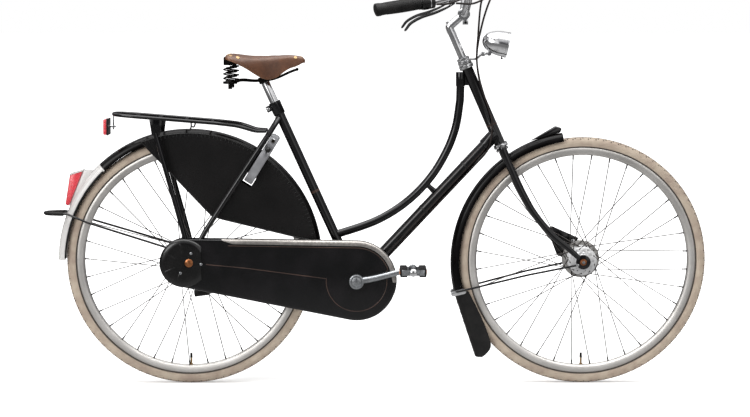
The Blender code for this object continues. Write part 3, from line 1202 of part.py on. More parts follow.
def brake_units():
    """Roller brakes on the left of each hub, held from turning by an arm to the fork or the stay."""
    inner = 0.0300 + GAP
    outer = FRONT_DROPOUT_INSIDE - GAP
    disc = cross_rod("front_brake_unit", FRONT_AXLE, inner, outer - 0.002, 0.047, 28)
    boss = cross_rod("brake_boss", FRONT_AXLE, inner, outer, 0.016, 16)
    hold = steered(0.098, 0.030)
    arm = side_plate("brake_arm", thick_line(FRONT_AXLE, hold, 0.011), inner + 0.002, inner + 0.007)
    cover_corners = [
        (-0.0986, 0.0870), (-0.0841, 0.0957), (-0.0058, 0.0609), (-0.0145, 0.0464), (-0.0464, 0.0),
        (-0.0696, 0.0116),
    ]
    outline = [(FRONT_AXLE.x + ahead, FRONT_AXLE.z + up) for ahead, up in cover_corners]
    cover = side_plate("brake_cover", outline, inner + 0.002, inner + 0.007)
    bore = cross_rod("brake_bore", FRONT_AXLE, -0.1, 0.1, FRONT_AXLE_RADIUS + GAP, 14)
    finished(cut(joined(disc, boss, arm, cover), bore), "front_brake_unit", "aluminium", "fork")

    inner = 0.0320 + GAP
    outer = REAR_DROPOUT_INSIDE - GAP
    disc = cross_rod("rear_brake_unit", REAR_AXLE, inner, outer - 0.010, 0.045, 28)
    boss = cross_rod("rear_brake_boss", REAR_AXLE, inner, outer, 0.014, 16)
    hold = REAR_AXLE + (BRACKET - REAR_AXLE) * 0.24
    hold.z -= 0.022
    arm = side_plate("rear_brake_arm", thick_line(REAR_AXLE, hold, 0.010), inner + 0.004, inner + 0.010)
    bore = cross_rod("rear_brake_bore", REAR_AXLE, -0.1, 0.1, REAR_AXLE_RADIUS + GAP, 14)
    finished(cut(joined(disc, boss, arm), bore), "rear_brake_unit", "aluminium", "frame")


def bar_route(side):
    """The swept-back bar, from the clamp out, forward and back to the end of the grip."""
    steps = [
        (0, 0.024, 0), (0.001, 0.043, 0.003), (0.004, 0.080, 0.020), (0.007, 0.135, 0.045),
        (0.000, 0.188, 0.058),
        (-0.017, 0.222, 0.057), (-0.048, 0.242, 0.048),
    ]
    route = [BAR_CLAMP + Vector((ahead, side * out, up)) for ahead, out, up in steps]
    front, back = grip_ends(side)
    return [BAR_CLAMP, *smooth([*route, front], 2), back]


def grip_ends(side):
    back = BAR_CLAMP + Vector((-0.252, side * GRIP_HALF_SPAN, 0.0125))
    line = Vector((-cos(GRIP_SPLAY), side * sin(GRIP_SPLAY), -GRIP_FALL)).normalized()
    front = back - line * (SHIFTER_LENGTH + GRIP_LENGTH + 0.012)
    return front, back


def cockpit():
    route = [
        steered(STEERER_TOP - QUILL_DEPTH), steered(STEM_BEND_HEIGHT - 0.020),
        STEM_BEND + Vector((0.003, 0, 0.001)),
        BAR_CLAMP,
    ]
    quill = pipe("stem", route, QUILL_RADIUS, 4, [1, 1, 1, 1])
    collar = cross_rod(
        "bar_clamp", BAR_CLAMP, -BAR_CLAMP_WIDTH / 2, BAR_CLAMP_WIDTH / 2, BAR_CLAMP_RADIUS, 20
    )
    clamp_bolt = rod(
        "stem_bolt", BAR_CLAMP + Vector((0.006, 0, -0.012)), BAR_CLAMP + Vector((0.004, 0, -0.034)), 0.007, 10
    )
    bar_hole = cross_rod("bar_hole", BAR_CLAMP, -0.1, 0.1, BAR_RADIUS + GAP, 18)
    finished(cut(joined(quill, collar, clamp_bolt), bar_hole), "stem", "chrome", "fork")

    left = bar_route(1)
    right = bar_route(-1)
    bar = pipe("handlebar", list(reversed(right)) + left[1:], BAR_RADIUS, 2)
    brackets = []
    for side in (-1, 1):
        pivot = lever_pivot(side)
        bar_near = BAR_CLAMP + Vector((-0.044, side * 0.2405, 0.0487))
        brackets.append(rod("lever_bracket", bar_near, pivot + Vector((0, 0, -0.002)), 0.0085, 10, 0.007))
    slots = [
        box(
            "lever_slot", (0.040, LEVER_THICKNESS + 0.0016, 0.030),
            lever_pivot(side) + Vector((-0.004, 0, -0.006))
        )
        for side in (-1, 1)
    ]
    pins = [
        rod(
            "lever_pin", lever_pivot(side) - SIDE * (LEVER_THICKNESS / 2 + 0.003),
            lever_pivot(side) + SIDE * (LEVER_THICKNESS / 2 + 0.003), LEVER_PIVOT_RADIUS, 8,
        )
        for side in (-1, 1)
    ]
    finished(joined(cut(joined(bar, *brackets), *slots), *pins), "handlebar", "chrome", "fork")

    for name, side in (("right", -1), ("left", 1)):
        front, back = grip_ends(side)
        line = (back - front).normalized()
        start = front + line * (SHIFTER_LENGTH + 0.004 if side < 0 else 0.004)
        length = GRIP_LENGTH if side < 0 else GRIP_LENGTH + SHIFTER_LENGTH
        grip = rod("grip", start, start + line * (length + 0.006), GRIP_RADIUS, 16)
        hole = rod("grip_hole", front - line * 0.01, back + line * GAP, BAR_RADIUS + GAP, 16)
        finished(cut(grip, hole), "grip_" + name, "black_rubber", "fork")
        lever(name, side)
    front, back = grip_ends(-1)
    line = (back - front).normalized()
    ring = rod("shifter", front + line * 0.002, front + line * (SHIFTER_LENGTH + 0.002), SHIFTER_RADIUS, 18)
    hole = rod("shifter_hole", front - line * 0.01, front + line * 0.06, BAR_RADIUS + GAP, 16)
    finished(cut(ring, hole), "shifter", "black_rubber", "shifter")


def lever_pivot(side):
    return BAR_CLAMP + Vector((-0.048, side * 0.2445, 0.0275))


def lever(name, side):
    pivot = lever_pivot(side)
    route = [
        pivot + Vector((0.010, 0, 0.003)), pivot + Vector((-0.012, 0, -0.009)),
        pivot + Vector((-0.044, side * 0.013, -0.0225)),
        pivot + Vector((-0.080, side * 0.025, -0.034)), pivot + Vector((-0.109, side * 0.034, -0.050)),
        pivot + Vector((-0.123, side * 0.038, -0.067)),
    ]
    points = smooth(route, 2)
    blade = pipe("lever_blade", points, LEVER_THICKNESS / 2, 2)
    hole = rod("pin_hole", pivot - SIDE * 0.02, pivot + SIDE * 0.02, LEVER_PIVOT_RADIUS + GAP, 12)
    finished(cut(blade, hole), name + "_brake_lever", "aluminium", name + "_brake_lever")


def headlamp():
    centre = steered(CUP_TOP + LAMP_RISE, LAMP_LEAD)
    rear = centre - Vector((cos(LAMP_TILT), 0, -sin(LAMP_TILT))) * LAMP_LENGTH / 2
    shell_line = [
        (LAMP_RADIUS, LAMP_LENGTH), (LAMP_RADIUS, LAMP_LENGTH * 0.80),
        (LAMP_RADIUS * 0.97, LAMP_LENGTH * 0.60),
        (LAMP_RADIUS * 0.84, LAMP_LENGTH * 0.36), (LAMP_RADIUS * 0.60, LAMP_LENGTH * 0.15),
        (LAMP_RADIUS * 0.28, LAMP_LENGTH * 0.03),
        (0.0, 0.0),
    ]
    profile = shell_line + [
        (0.0, 0.0025), (LAMP_RADIUS * 0.55, LAMP_LENGTH * 0.16), (LAMP_RADIUS - 0.006, LAMP_LENGTH * 0.45),
        (LAMP_RADIUS - 0.0022, LAMP_LENGTH * 0.74), (LAMP_RADIUS - 0.0022, LAMP_LENGTH),
    ]
    tilt = Matrix.Translation(rear) @ Matrix.Rotation(pi / 2 + LAMP_TILT, 4, "Y")
    shell = turned("headlamp_shell", profile, tilt, 22)
    arm_end = centre + Vector((-0.0175, 0, 0.0040 - LAMP_RADIUS))
    foot = cross_rod("lamp_foot", arm_end, -0.0042, 0.0042, 0.0065, 12)
    finished(joined(shell, foot), "headlamp_shell", "chrome", "fork")
    lens_radius = LAMP_RADIUS - 0.0022 - GAP
    lens_back = LAMP_LENGTH * 0.80
    lens_profile = [
        (0.0, LAMP_LENGTH * 0.97), (lens_radius * 0.6, LAMP_LENGTH * 0.955),
        (lens_radius, LAMP_LENGTH * 0.90),
        (lens_radius, lens_back), (0.0, lens_back + 0.002),
    ]
    lens = turned("headlamp_lens", lens_profile, tilt, 22, closed=False)
    finished(lens, "headlamp_lens", "clear_plastic", "fork")

    nut_low = steered(CUP_TOP + GAP)
    nut_high = steered(STEERER_TOP - 0.002)
    nut = rod("headlamp_bracket", nut_low, nut_high, 0.019, 6)
    arm_start = steered(CUP_TOP + 0.012, 0.016)
    arms = [
        pipe(
            "lamp_arm",
            [
                arm_start + SIDE * side * 0.0065, arm_start + Vector((0.02, side * 0.0065, 0.001)),
                arm_end + Vector((-0.02, side * 0.0065, -0.001)), arm_end + Vector((0.004, side * 0.0065, 0)),
            ],
            0.002, 1,
        )
        for side in (-1, 1)
    ]
    bolt = cross_rod("lamp_bolt", arm_end, -0.0095, 0.0095, 0.0028, 8)
    bore = rod("nut_bore", steered(CUP_TOP - 0.02), steered(STEERER_TOP + 0.02), STEERER_RADIUS + GAP, 18)
    bolt_space = cross_rod("bolt_space", arm_end, -0.05, 0.05, 0.0028 + GAP, 8)
    cut(shell, bolt_space)
    finished(cut(joined(nut, *arms, bolt), bore), "headlamp_bracket", "chrome", "fork")


def saddle():
    post_foot = SEAT_FOOT + SEAT_LINE * (SEAT_TUBE_LENGTH - SEAT_POST_INSERT)
    post = rod("seat_post", post_foot, SEAT_FOOT + SEAT_LINE * (SEAT_POST_TOP - 0.018), SEAT_POST_RADIUS, 20)
    neck = rod("post_neck", SEAT_FOOT + SEAT_LINE * (SEAT_POST_TOP - 0.020), POST_TOP, 0.0105, 16)
    finished(joined(post, neck), "seat_post", "chrome", "seat_post")

    clamp_centre = SEAT_FOOT + SEAT_LINE * (SEAT_POST_TOP - 0.0085)
    clamp = rod(
        "saddle_clamp", clamp_centre - SEAT_LINE * 0.0085, clamp_centre + SEAT_LINE * 0.0105, 0.0165, 16
    )
    others = [cross_rod("clamp_bar", clamp_centre - seat_ahead() * 0.003, -0.030, 0.030, 0.007, 12)]
    spring_foot = spring_base()
    for side in (-1, 1):
        route = [
            Vector((SADDLE_NOSE_X - 0.026, side * 0.004, SADDLE_NOSE_Z - 0.030)),
            Vector((SADDLE_NOSE_X - 0.045, side * 0.013, SADDLE_NOSE_Z - 0.037)),
            Vector((clamp_centre.x + 0.030, side * SADDLE_RAIL_SPREAD, clamp_centre.z + 0.003)),
            Vector((clamp_centre.x - 0.020, side * SADDLE_RAIL_SPREAD, clamp_centre.z - 0.003)),
            Vector((SPRING_X + 0.032, side * (SPRING_HALF_SPAN - 0.016), spring_foot + 0.002)),
            Vector((SPRING_X, side * SPRING_HALF_SPAN, spring_foot - 0.003)),
        ]
        others.append(pipe("saddle_rail", smooth(route, 2), SADDLE_RAIL_RADIUS, 1))
        seat_place = Vector((SPRING_X, side * SPRING_HALF_SPAN, spring_foot - 0.003))
        others.append(
            rod(
                "spring_seat", seat_place - Vector((0, 0, 0.004)), seat_place + Vector((0, 0, 0.003)),
                SPRING_RADIUS + SPRING_WIRE_RADIUS, 14
            )
        )
        others.append(rod("spring_bolt", seat_place - Vector((0, 0, 0.019)), seat_place, 0.006, 8))
    others.append(
        cross_rod(
            "rear_bar", Vector((SPRING_X, 0, spring_foot - 0.004)), -SPRING_HALF_SPAN, SPRING_HALF_SPAN,
            0.0035, 8
        )
    )
    others.append(
        cross_rod(
            "nose_bar", Vector((SADDLE_NOSE_X - 0.026, 0, SADDLE_NOSE_Z - 0.030)), -0.007, 0.007, 0.0045, 10
        )
    )
    post_space = rod("post_space", POST_TOP - SEAT_LINE * 0.040, POST_TOP + SEAT_LINE * GAP, 0.0105 + GAP, 16)
    finished(cut(joined(clamp, *others), post_space), "saddle_frame", "dark_steel", "seat_post")

    for name, side in (("left", 1), ("right", -1)):
        middle = Vector((SPRING_X, side * SPRING_HALF_SPAN, spring_foot + SPRING_WIRE_RADIUS + GAP))
        rise = SPRING_HEIGHT - 2 * SPRING_WIRE_RADIUS - 2 * GAP
        count = ceil(SPRING_TURNS * 8)
        coil = []
        for k in range(count + 1):
            turn = side * tau * SPRING_TURNS * k / count
            coil.append(
                middle + Vector((SPRING_RADIUS * cos(turn), SPRING_RADIUS * sin(turn), rise * k / count))
            )
        finished(
            pipe("spring", coil, SPRING_WIRE_RADIUS, 1), "saddle_spring_" + name, "dark_steel", "seat_post"
        )
    leather()


def spring_base():
    return CANTLE_Z - SPRING_HEIGHT


def leather():
    """The stretched top: a sheet over nose and cantle, with skirts that hang lowest beside the post."""
    stations = [
        # share of the length from the nose, half width, top height, skirt depth
        (0.00, 0.011, -0.012, 0.007), (0.03, 0.017, -0.005, 0.015), (0.07, 0.020, -0.002, 0.023),
        (0.12, 0.023, 0.000, 0.030), (0.19, 0.026, 0.001, 0.036), (0.265, 0.030, 0.001, 0.046),
        (0.34, 0.034, 0.000, 0.058), (0.41, 0.040, 0.000, 0.064), (0.47, 0.047, -0.001, 0.065),
        (0.53, 0.056, -0.001, 0.062), (0.595, 0.066, -0.001, 0.054), (0.668, 0.077, -0.001, 0.043),
        (0.742, 0.087, 0.000, 0.033), (0.816, 0.094, 0.002, 0.026), (0.90, 0.099, 0.004, 0.019),
        (0.96, 0.098, 0.004, 0.014), (1.00, 0.084, 0.002, 0.009),
    ]
    across = (-1.0, -0.97, -0.86, -0.60, -0.25, 0.25, 0.60, 0.86, 0.97, 1.0)
    drop = (1.0, 0.55, 0.16, 0.03, 0.0, 0.0, 0.03, 0.16, 0.55, 1.0)
    rows = []
    for share, half, height, skirt in stations:
        x = SADDLE_NOSE_X - LEATHER_THICKNESS - (SADDLE_LENGTH - 2 * LEATHER_THICKNESS) * share
        width = half * SADDLE_HALF_WIDTH / 0.100 - LEATHER_THICKNESS / 2
        rows.append([
            Vector(
                (x, width * a, SADDLE_TOP_Z - LEATHER_THICKNESS / 2 + height - skirt * d)
            ) for a, d in zip(across, drop)
        ])
    top = solidified(lofted("saddle_leather", rows), LEATHER_THICKNESS, 0.0)
    plate_outline = [
        (SPRING_X + 0.016, -0.020), (SPRING_X + 0.016, 0.020), (SPRING_X + 0.020, 0.070), (SPRING_X, 0.078),
        (SPRING_X - 0.018, 0.066), (SPRING_X - 0.020, 0.0), (SPRING_X - 0.018, -0.066), (SPRING_X, -0.078),
        (SPRING_X + 0.020, -0.070),
    ]
    cantle_top = SADDLE_TOP_Z + CANTLE_RISE - LEATHER_THICKNESS * 1.3
    thickness = cantle_top - CANTLE_Z
    place = Matrix.Translation(Vector((0, 0, CANTLE_Z + thickness / 2)))
    cantle = plate("cantle", plate_outline, thickness, place)
    finished(joined(top, cantle), "saddle_leather", "leather", "saddle")


def cables():
    """Gear and rear brake cables: free from the bar to the head tube, then held along the frame."""
    down_start = steered(HEAD_TUBE_BOTTOM + DOWN_TUBE_HEIGHT)
    down_line = (DOWN_FOOT - down_start).normalized()
    under = Vector((-down_line.z, 0, down_line.x))
    run = (BRACKET - down_start).length
    reach = DOWN_TUBE_RADIUS + CABLE_RADIUS + GAP
    for name, side in (("shift_cable", -1), ("brake_cable", 1)):
        offset = SIDE * side * 0.0045
        below = under * sqrt(reach**2 - offset.length**2) + offset
        route = [
            *bar_start(name),
            steered(0.6077, 0.0215, side * 0.009), steered(0.5636, 0.0145, side * 0.0155),
            steered(0.5137, 0.0100, side * 0.0178), steered(0.4737, 0.0040, side * 0.0215),
            down_start + down_line * 0.024 + under * 0.002 + SIDE * side * 0.0232,
            down_start + down_line * 0.056 + under * 0.016 + SIDE * side * 0.0165,
        ]
        for share in (0.20, 0.40, 0.65, 0.86):
            route.append(down_start + down_line * run * share + below)
        route.append(BRACKET + Vector((0.012, 0, -SHELL_RADIUS - CABLE_RADIUS - GAP - 0.0015)) + offset)
        route += cable_end(side)
        finished(pipe(name, smooth(route, 2), CABLE_RADIUS, 1), name, "black_rubber", "frame")


def bar_start(name):
    """Where each cable leaves the bar: the gear cable at the twist ring, the brake cable at the right lever."""
    if name == "shift_cable":
        begin = grip_ends(-1)[0] + Vector((0.006, -0.014, -0.008))
        begin_end = begin + Vector((0.040, 0.000, 0.004))
        steps = [
            (0.0524, -0.215, 0.0717), (0.0774, -0.140, 0.0817), (0.0674, -0.060, 0.0667),
            (0.0488, -0.026, 0.0355),
            (0.0405, -0.020, -0.0562), (0.0368, -0.014, -0.1251),
        ]
    else:
        begin = lever_pivot(-1) + Vector((0.016, 0.0, 0.004))
        begin_end = begin + Vector((0.050, 0.014, 0.000))
        steps = [
            (0.0700, -0.185, 0.0560), (0.0880, -0.115, 0.0640), (0.0780, -0.045, 0.0520),
            (0.0600, -0.010, 0.0000),
            (0.0444, 0.006, -0.0683), (0.0384, 0.0145, -0.1251),
        ]
    return [begin, begin_end, *(BAR_CLAMP + Vector(step) for step in steps)]


def cable_end(side):
    """Along the chain stay to the hub: the gear cable on the right, the brake cable on the left."""
    run = REAR_AXLE - BRACKET
    low = Vector((0, 0, -CHAIN_STAY_RADIUS - CABLE_RADIUS - 0.0012))
    route = [BRACKET + Vector((-0.030, side * 0.012, -SHELL_RADIUS - CABLE_RADIUS))]
    inwards = 0.0 if side < 0 else 0.006
    for along, out in ((0.22, 0.0405), (0.50, 0.046), (0.75, 0.052)):
        route.append(BRACKET + run * along + SIDE * side * (out - inwards) + low)
    if side < 0:
        route.append(BRACKET + run * 0.90 + SIDE * side * 0.0555 + low)
    return route


def build():
    rake_foot = steered(HEAD_TUBE_BOTTOM)
    new_pivot("frame", Vector((0, 0, 0)), None)
    new_pivot("fork", rake_foot, "frame")
    new_pivot("front_wheel", FRONT_AXLE, "fork")
    new_pivot("rear_wheel", REAR_AXLE, "frame")
    new_pivot("rear_sprocket", REAR_AXLE, "frame")
    new_pivot("crank", BRACKET, "frame")
    new_pivot("right_pedal", polar(BRACKET, CRANK_ANGLE, CRANK_LENGTH), "crank")
    new_pivot("left_pedal", polar(BRACKET, CRANK_ANGLE + pi, CRANK_LENGTH), "crank")
    new_pivot("seat_post", SEAT_FOOT + SEAT_LINE * SEAT_TUBE_LENGTH, "frame")
    new_pivot("saddle", Vector((SADDLE_NOSE_X - 0.026, 0, SADDLE_NOSE_Z - 0.030)), "seat_post")
    new_pivot("kickstand", stand_pivot(), "frame")
    new_pivot("right_brake_lever", lever_pivot(-1), "fork")
    new_pivot("left_brake_lever", lever_pivot(1), "fork")
    new_pivot("shifter", grip_ends(-1)[0], "fork")
    new_pivot("lock_shackle", lock_frame().translation, "frame")
    frame_tubes()
    stays()
    wheels()
    drive()
    chain_case()
    guards()
    mudflap()
    guard_stays()
    rack()
    coat_guards()
    lock()
    stand()
    fork()
    cockpit()
    headlamp()
    saddle()
    cables()


clear_scene()
parts = new_collection("bicycle")
helpers = new_collection("cutters")
helpers.hide_render = True
root = bpy.data.objects.new("bicycle", None)
parts.objects.link(root)
root.location = -ORIGIN
pivot_of = {}
place_of = {}
build()
bpy.context.view_layer.update()
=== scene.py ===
"""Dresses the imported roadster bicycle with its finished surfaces, fittings, lights and camera.

Metres, +X forwards, +Y to the rider's left, +Z up, with the origin on the ground under the middle.
"""

import json
from math import acos, atan2, cos, pi, radians, sin, sqrt, tau

import bmesh
import bpy
from mathutils import Matrix, Vector
from mathutils.bvhtree import BVHTree


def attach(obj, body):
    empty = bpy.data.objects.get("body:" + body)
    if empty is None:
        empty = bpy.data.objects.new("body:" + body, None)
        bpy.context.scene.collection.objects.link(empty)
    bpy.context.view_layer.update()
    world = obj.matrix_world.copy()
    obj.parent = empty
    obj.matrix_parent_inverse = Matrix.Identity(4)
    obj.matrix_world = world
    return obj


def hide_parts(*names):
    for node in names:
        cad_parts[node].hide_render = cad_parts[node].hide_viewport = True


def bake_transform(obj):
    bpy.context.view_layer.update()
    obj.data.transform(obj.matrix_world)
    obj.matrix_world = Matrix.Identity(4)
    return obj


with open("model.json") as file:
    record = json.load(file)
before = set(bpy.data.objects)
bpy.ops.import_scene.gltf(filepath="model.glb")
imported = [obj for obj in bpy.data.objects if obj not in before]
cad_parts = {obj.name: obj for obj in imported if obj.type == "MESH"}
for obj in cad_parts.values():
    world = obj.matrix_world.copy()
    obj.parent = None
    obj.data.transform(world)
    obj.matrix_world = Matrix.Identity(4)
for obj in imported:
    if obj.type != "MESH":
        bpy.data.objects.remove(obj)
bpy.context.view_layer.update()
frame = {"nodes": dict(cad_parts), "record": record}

bl_info = {
    "name": "Roadster Bicycle",
    "version": (1, 0, 0),
    "blender": (4, 5, 0),
    "location": "3D View > Sidebar > Bicycle",
    "description": "Finishes a step-through roadster bicycle around its CAD frame",
    "category": "Object",
}

# Distances that follow the CAD frame
MIDDLE_SHIFT = 0.03335  # from the point half way between the axles to the origin
TYRE_RADIUS = 0.3575
HALF_WHEELBASE = 0.567
FRONT_AXLE = Vector((HALF_WHEELBASE + MIDDLE_SHIFT, 0, TYRE_RADIUS))
REAR_AXLE = Vector((-HALF_WHEELBASE + MIDDLE_SHIFT, 0, TYRE_RADIUS))
CHAIN_STAY = 0.4843  # from the bracket to the rear axle
BRACKET_DROP = 0.0522
BRACKET = REAR_AXLE + Vector((sqrt(CHAIN_STAY**2 - BRACKET_DROP**2), 0, -BRACKET_DROP))
HEAD_ANGLE = radians(66.3)
SEAT_ANGLE = radians(65.6)
UP = Vector((0, 0, 1))
SIDE = Vector((0, 1, 0))
SIDES = (("right", -1), ("left", 1))
STEERING = Vector((-cos(HEAD_ANGLE), 0, sin(HEAD_ANGLE)))
AHEAD = Vector((sin(HEAD_ANGLE), 0, cos(HEAD_ANGLE)))
SEAT_LINE = Vector((-cos(SEAT_ANGLE), 0, sin(SEAT_ANGLE)))
SEAT_AHEAD = Vector((SEAT_LINE.z, 0, -SEAT_LINE.x))
SEAT_FOOT = BRACKET + Vector((-0.0055, 0, 0))
DOWN_FOOT = BRACKET + Vector((0.007, 0, 0))
SEAT_CLUSTER = SEAT_FOOT + SEAT_LINE * 0.518
STAY_LINE = (SEAT_CLUSTER - REAR_AXLE).normalized()
STAY_AHEAD = Vector((STAY_LINE.z, 0, -STAY_LINE.x))
FORK_RAKE = 0.083  # from the steering axis to the front axle
HEAD_BOTTOM = 0.4037
HEAD_TOP = HEAD_BOTTOM + 0.2413
CUP_TOP = HEAD_TOP + 0.009
STEERER_TOP = CUP_TOP + 0.024
STEERER_RADIUS = 0.0127
FORK_FACE = 0.055  # from the middle to the fork ends' outer faces
DROPOUT_FACE = 0.066  # from the middle to the frame ends' outer faces
FRONT_BORE = 0.0048  # radius of the hole round the front axle
REAR_BORE = 0.0053
SEAT_STAY_RADIUS = 0.008
CHAIN_STAY_RADIUS = 0.008
BRACKET_RADIUS = 0.021
BAR_RADIUS = 0.011
DOWN_TUBE_RADIUS = 0.016
CABLE_RADIUS = 0.0025  # of the CAD's cords, which the cables' places follow
STAY_WIRE = 0.003  # radius of the guards' wire stays in CAD
GUARD_RADIUS = 0.382
GUARD_WIDTH = 0.058
FRONT_GUARD_RADIUS = 0.380
FRONT_GUARD_CENTRE = FRONT_AXLE + Vector((-0.001, 0, -0.0056))
FRONT_GUARD_END = radians(193.7)
CRANK_ANGLE = radians(13.2)
CRANK_LENGTH = 0.165
CASE_OUTER_Y = 0.076
CASE_REAR = REAR_AXLE + Vector((-0.0135, 0, 0.0005))
CASE_REAR_RADIUS = 0.070
CASE_FRONT_RADIUS = 0.1143
CASE_CAP_DEPTH = 0.009
LIGHT_TOP = REAR_AXLE + Vector((-0.3066, 0, 0.2616))
LIGHT_FOOT = REAR_AXLE + Vector((-0.3478, 0, 0.1600))
CARRIER_REAR = REAR_AXLE + Vector((-0.218, 0, 0.4250))
BAR_CLAMP = Vector((0.2226 + MIDDLE_SHIFT, 0, 1.0683))
POST_CLAMP = SEAT_FOOT + SEAT_LINE * 0.6315
SADDLE_NOSE_X = -0.2305 + MIDDLE_SHIFT
SADDLE_LENGTH = 0.2305
SADDLE_TOP_Z = 0.950
LEATHER_THICKNESS = 0.004
SPRING_X = -0.4458 + MIDDLE_SHIFT
SPRING_HALF_SPAN = 0.052
SPRING_FOOT = 0.8775
COIL_HEIGHT = 0.041
STAND_PIVOT = Vector((-0.24236, 0.0545, 0.28492))
STAND_AXIS = Vector((0, -cos(radians(16)), -sin(radians(16))))
LOCK_RING = 0.057  # radius of the ring's middle line
LOCK_HALF_DEPTH = 0.013
LAMP_RADIUS = 0.036
LAMP_LENGTH = 0.076
LAMP_TILT = radians(12)
GAP = 0.0003  # between pieces that touch on the real bicycle
BAR_BORE = BAR_RADIUS + GAP
WHEEL_PLANE = Matrix.Rotation(pi / 2, 4, "X")


# Places and directions
def xyz(x, y, z):
    return Vector((x, y, z))


def steered(along, ahead=0.0, side=0.0):
    """A point along the steering axis, ahead of it and to the left of it."""
    return FRONT_AXLE - AHEAD * FORK_RAKE + STEERING * along + AHEAD * ahead + SIDE * side


def on_stays(along, ahead=0.0, side=0.0):
    return REAR_AXLE + STAY_LINE * along + STAY_AHEAD * ahead + SIDE * side


DOWN_START = steered(HEAD_BOTTOM + 0.034)
DOWN_LINE = (DOWN_FOOT - DOWN_START).normalized()
LAMP_CENTRE = steered(CUP_TOP + 0.0245, 0.1038)
LAMP_ARM_END = LAMP_CENTRE + Vector((-0.0175, 0, 0.0040 - LAMP_RADIUS))


def polar(centre, angle, radius, y=0.0):
    return centre + xyz(cos(angle) * radius, y, sin(angle) * radius)


def beside(place, y):
    return xyz(place.x, y, place.z)


def on_wheel(axle, start=0.0):
    """A frame whose local Z is the axle, towards the right, and whose local X points at the angle start."""
    return Matrix.Translation(axle) @ WHEEL_PLANE @ Matrix.Rotation(start, 4, "Z")


def turned_to(way):
    """The turn that brings the local Z axis to a direction."""
    return UP.rotation_difference(way).to_matrix().to_4x4()


def along_line(start, end):
    """A frame at start whose local Z runs to end."""
    return Matrix.Translation(start) @ turned_to((end - start).normalized())


def smooth(points, per_span):
    """Points along a Catmull-Rom curve through the given ones."""
    ends = [2 * points[0] - points[1], *points, 2 * points[-1] - points[-2]]
    found = []
    for a, b, c, d in zip(ends, ends[1:], ends[2:], ends[3:]):
        for step in range(per_span):
            t = step / per_span
            rise = (c - a) * t + (2 * a - 5 * b + 4 * c - d) * t * t + (3 * b - a - 3 * c + d) * t**3
            found.append(b + rise / 2)
    return [*found, points[-1]]


def mirrored(half_route):
    """A route to the left, carried on through the middle plane to the right."""
    return half_route + [xyz(p.x, -p.y, p.z) for p in reversed(half_route[:-1])]


def both_ways(profile):
    """A profile of (radius, height) points, carried on to the other side of height zero."""
    return profile + [(radius, -height) for radius, height in reversed(profile) if height]


# Shapes
def capped(points, radii, radius):
    """Adds domes to both ends of a route, as more points and more shares of its radius."""
    for end, neighbour in ((0, 1), (-1, -2)):
        way = (points[end] - points[neighbour]).normalized()
        last, scale = points[end], radii[end]
        extra = [(last + way * radius * scale * sin(a), scale * cos(a)) for a in (0.4, 0.8, 1.15, 1.4)]
        if end == 0:
            points = [p for p, _ in reversed(extra)] + points
            radii = [s for _, s in reversed(extra)] + radii
        else:
            points = points + [p for p, _ in extra]
            radii = radii + [s for _, s in extra]
    return points, radii


def tube(points, radius, sides=20, radii=None, flat=1.0, across=None, ends="flat", onto=None):
    """Sweeps a round or oval section along the points. Its UVs are metres around and along."""
    shape = bmesh.new() if onto is None else onto
    uv = shape.loops.layers.uv.verify()
    radii = list(radii) if radii else [1.0] * len(points)
    points = list(points)
    if ends == "round":
        points, radii = capped(points, radii, radius)
    travel = 0.0
    rings = []
    normal = None
    for i, point in enumerate(points):
        before = points[max(i - 1, 0)]
        after = points[min(i + 1, len(points) - 1)]
        line = (after - before).normalized()
        if normal is None:
            normal = across or (SIDE if abs(line.y) < 0.9 else UP)
        normal = (normal - line * normal.dot(line)).normalized()
        other = line.cross(normal)
        if i:
            travel += (point - points[i - 1]).length
        reach = radius * radii[i]
        turns = [k * tau / sides for k in range(sides)]
        ring = [
            shape.verts.new(point + normal * cos(a) * reach + other * sin(a) * reach * flat) for a in turns
        ]
        rings.append((ring, travel))
    width = tau * radius / sides
    for (low, low_run), (high, high_run) in zip(rings, rings[1:]):
        for k in range(sides):
            m = (k + 1) % sides
            face = shape.faces.new((low[k], low[m], high[m], high[k]))
            for loop, spot in zip(
                face.loops, ((k, low_run), (k + 1, low_run), (k + 1, high_run), (k, high_run))
            ):
                loop[uv].uv = (spot[0] * width, spot[1])
    shape.faces.new(list(reversed(rings[0][0])))
    shape.faces.new(rings[-1][0])
    return shape


def rod(start, end, radius, sides=20, end_radius=None, rounding=0.0, onto=None):
    """A straight bar, with its two rims rounded off."""
    end_radius = radius if end_radius is None else end_radius
    length = (end - start).length
    if rounding:
        drops = [(rounding * (1 - sin(a)), rounding * (1 - cos(a))) for a in (0, pi / 4, pi / 2)]
        profile = [(0, 0), *((radius - inwards, up) for inwards, up in drops)]
        profile += [(end_radius - inwards, length - down) for inwards, down in reversed(drops)]
        profile.append((0, length))
    else:
        profile = [(0, 0), (radius, 0), (end_radius, length), (0, length)]
    return spun(profile, along_line(start, end), sides, onto=onto)


def cross_rod(place, y_from, y_to, radius, sides=24, rounding=0.0, onto=None):
    low, high = sorted((y_from, y_to))
    return rod(beside(place, low), beside(place, high), radius, sides, rounding=rounding, onto=onto)


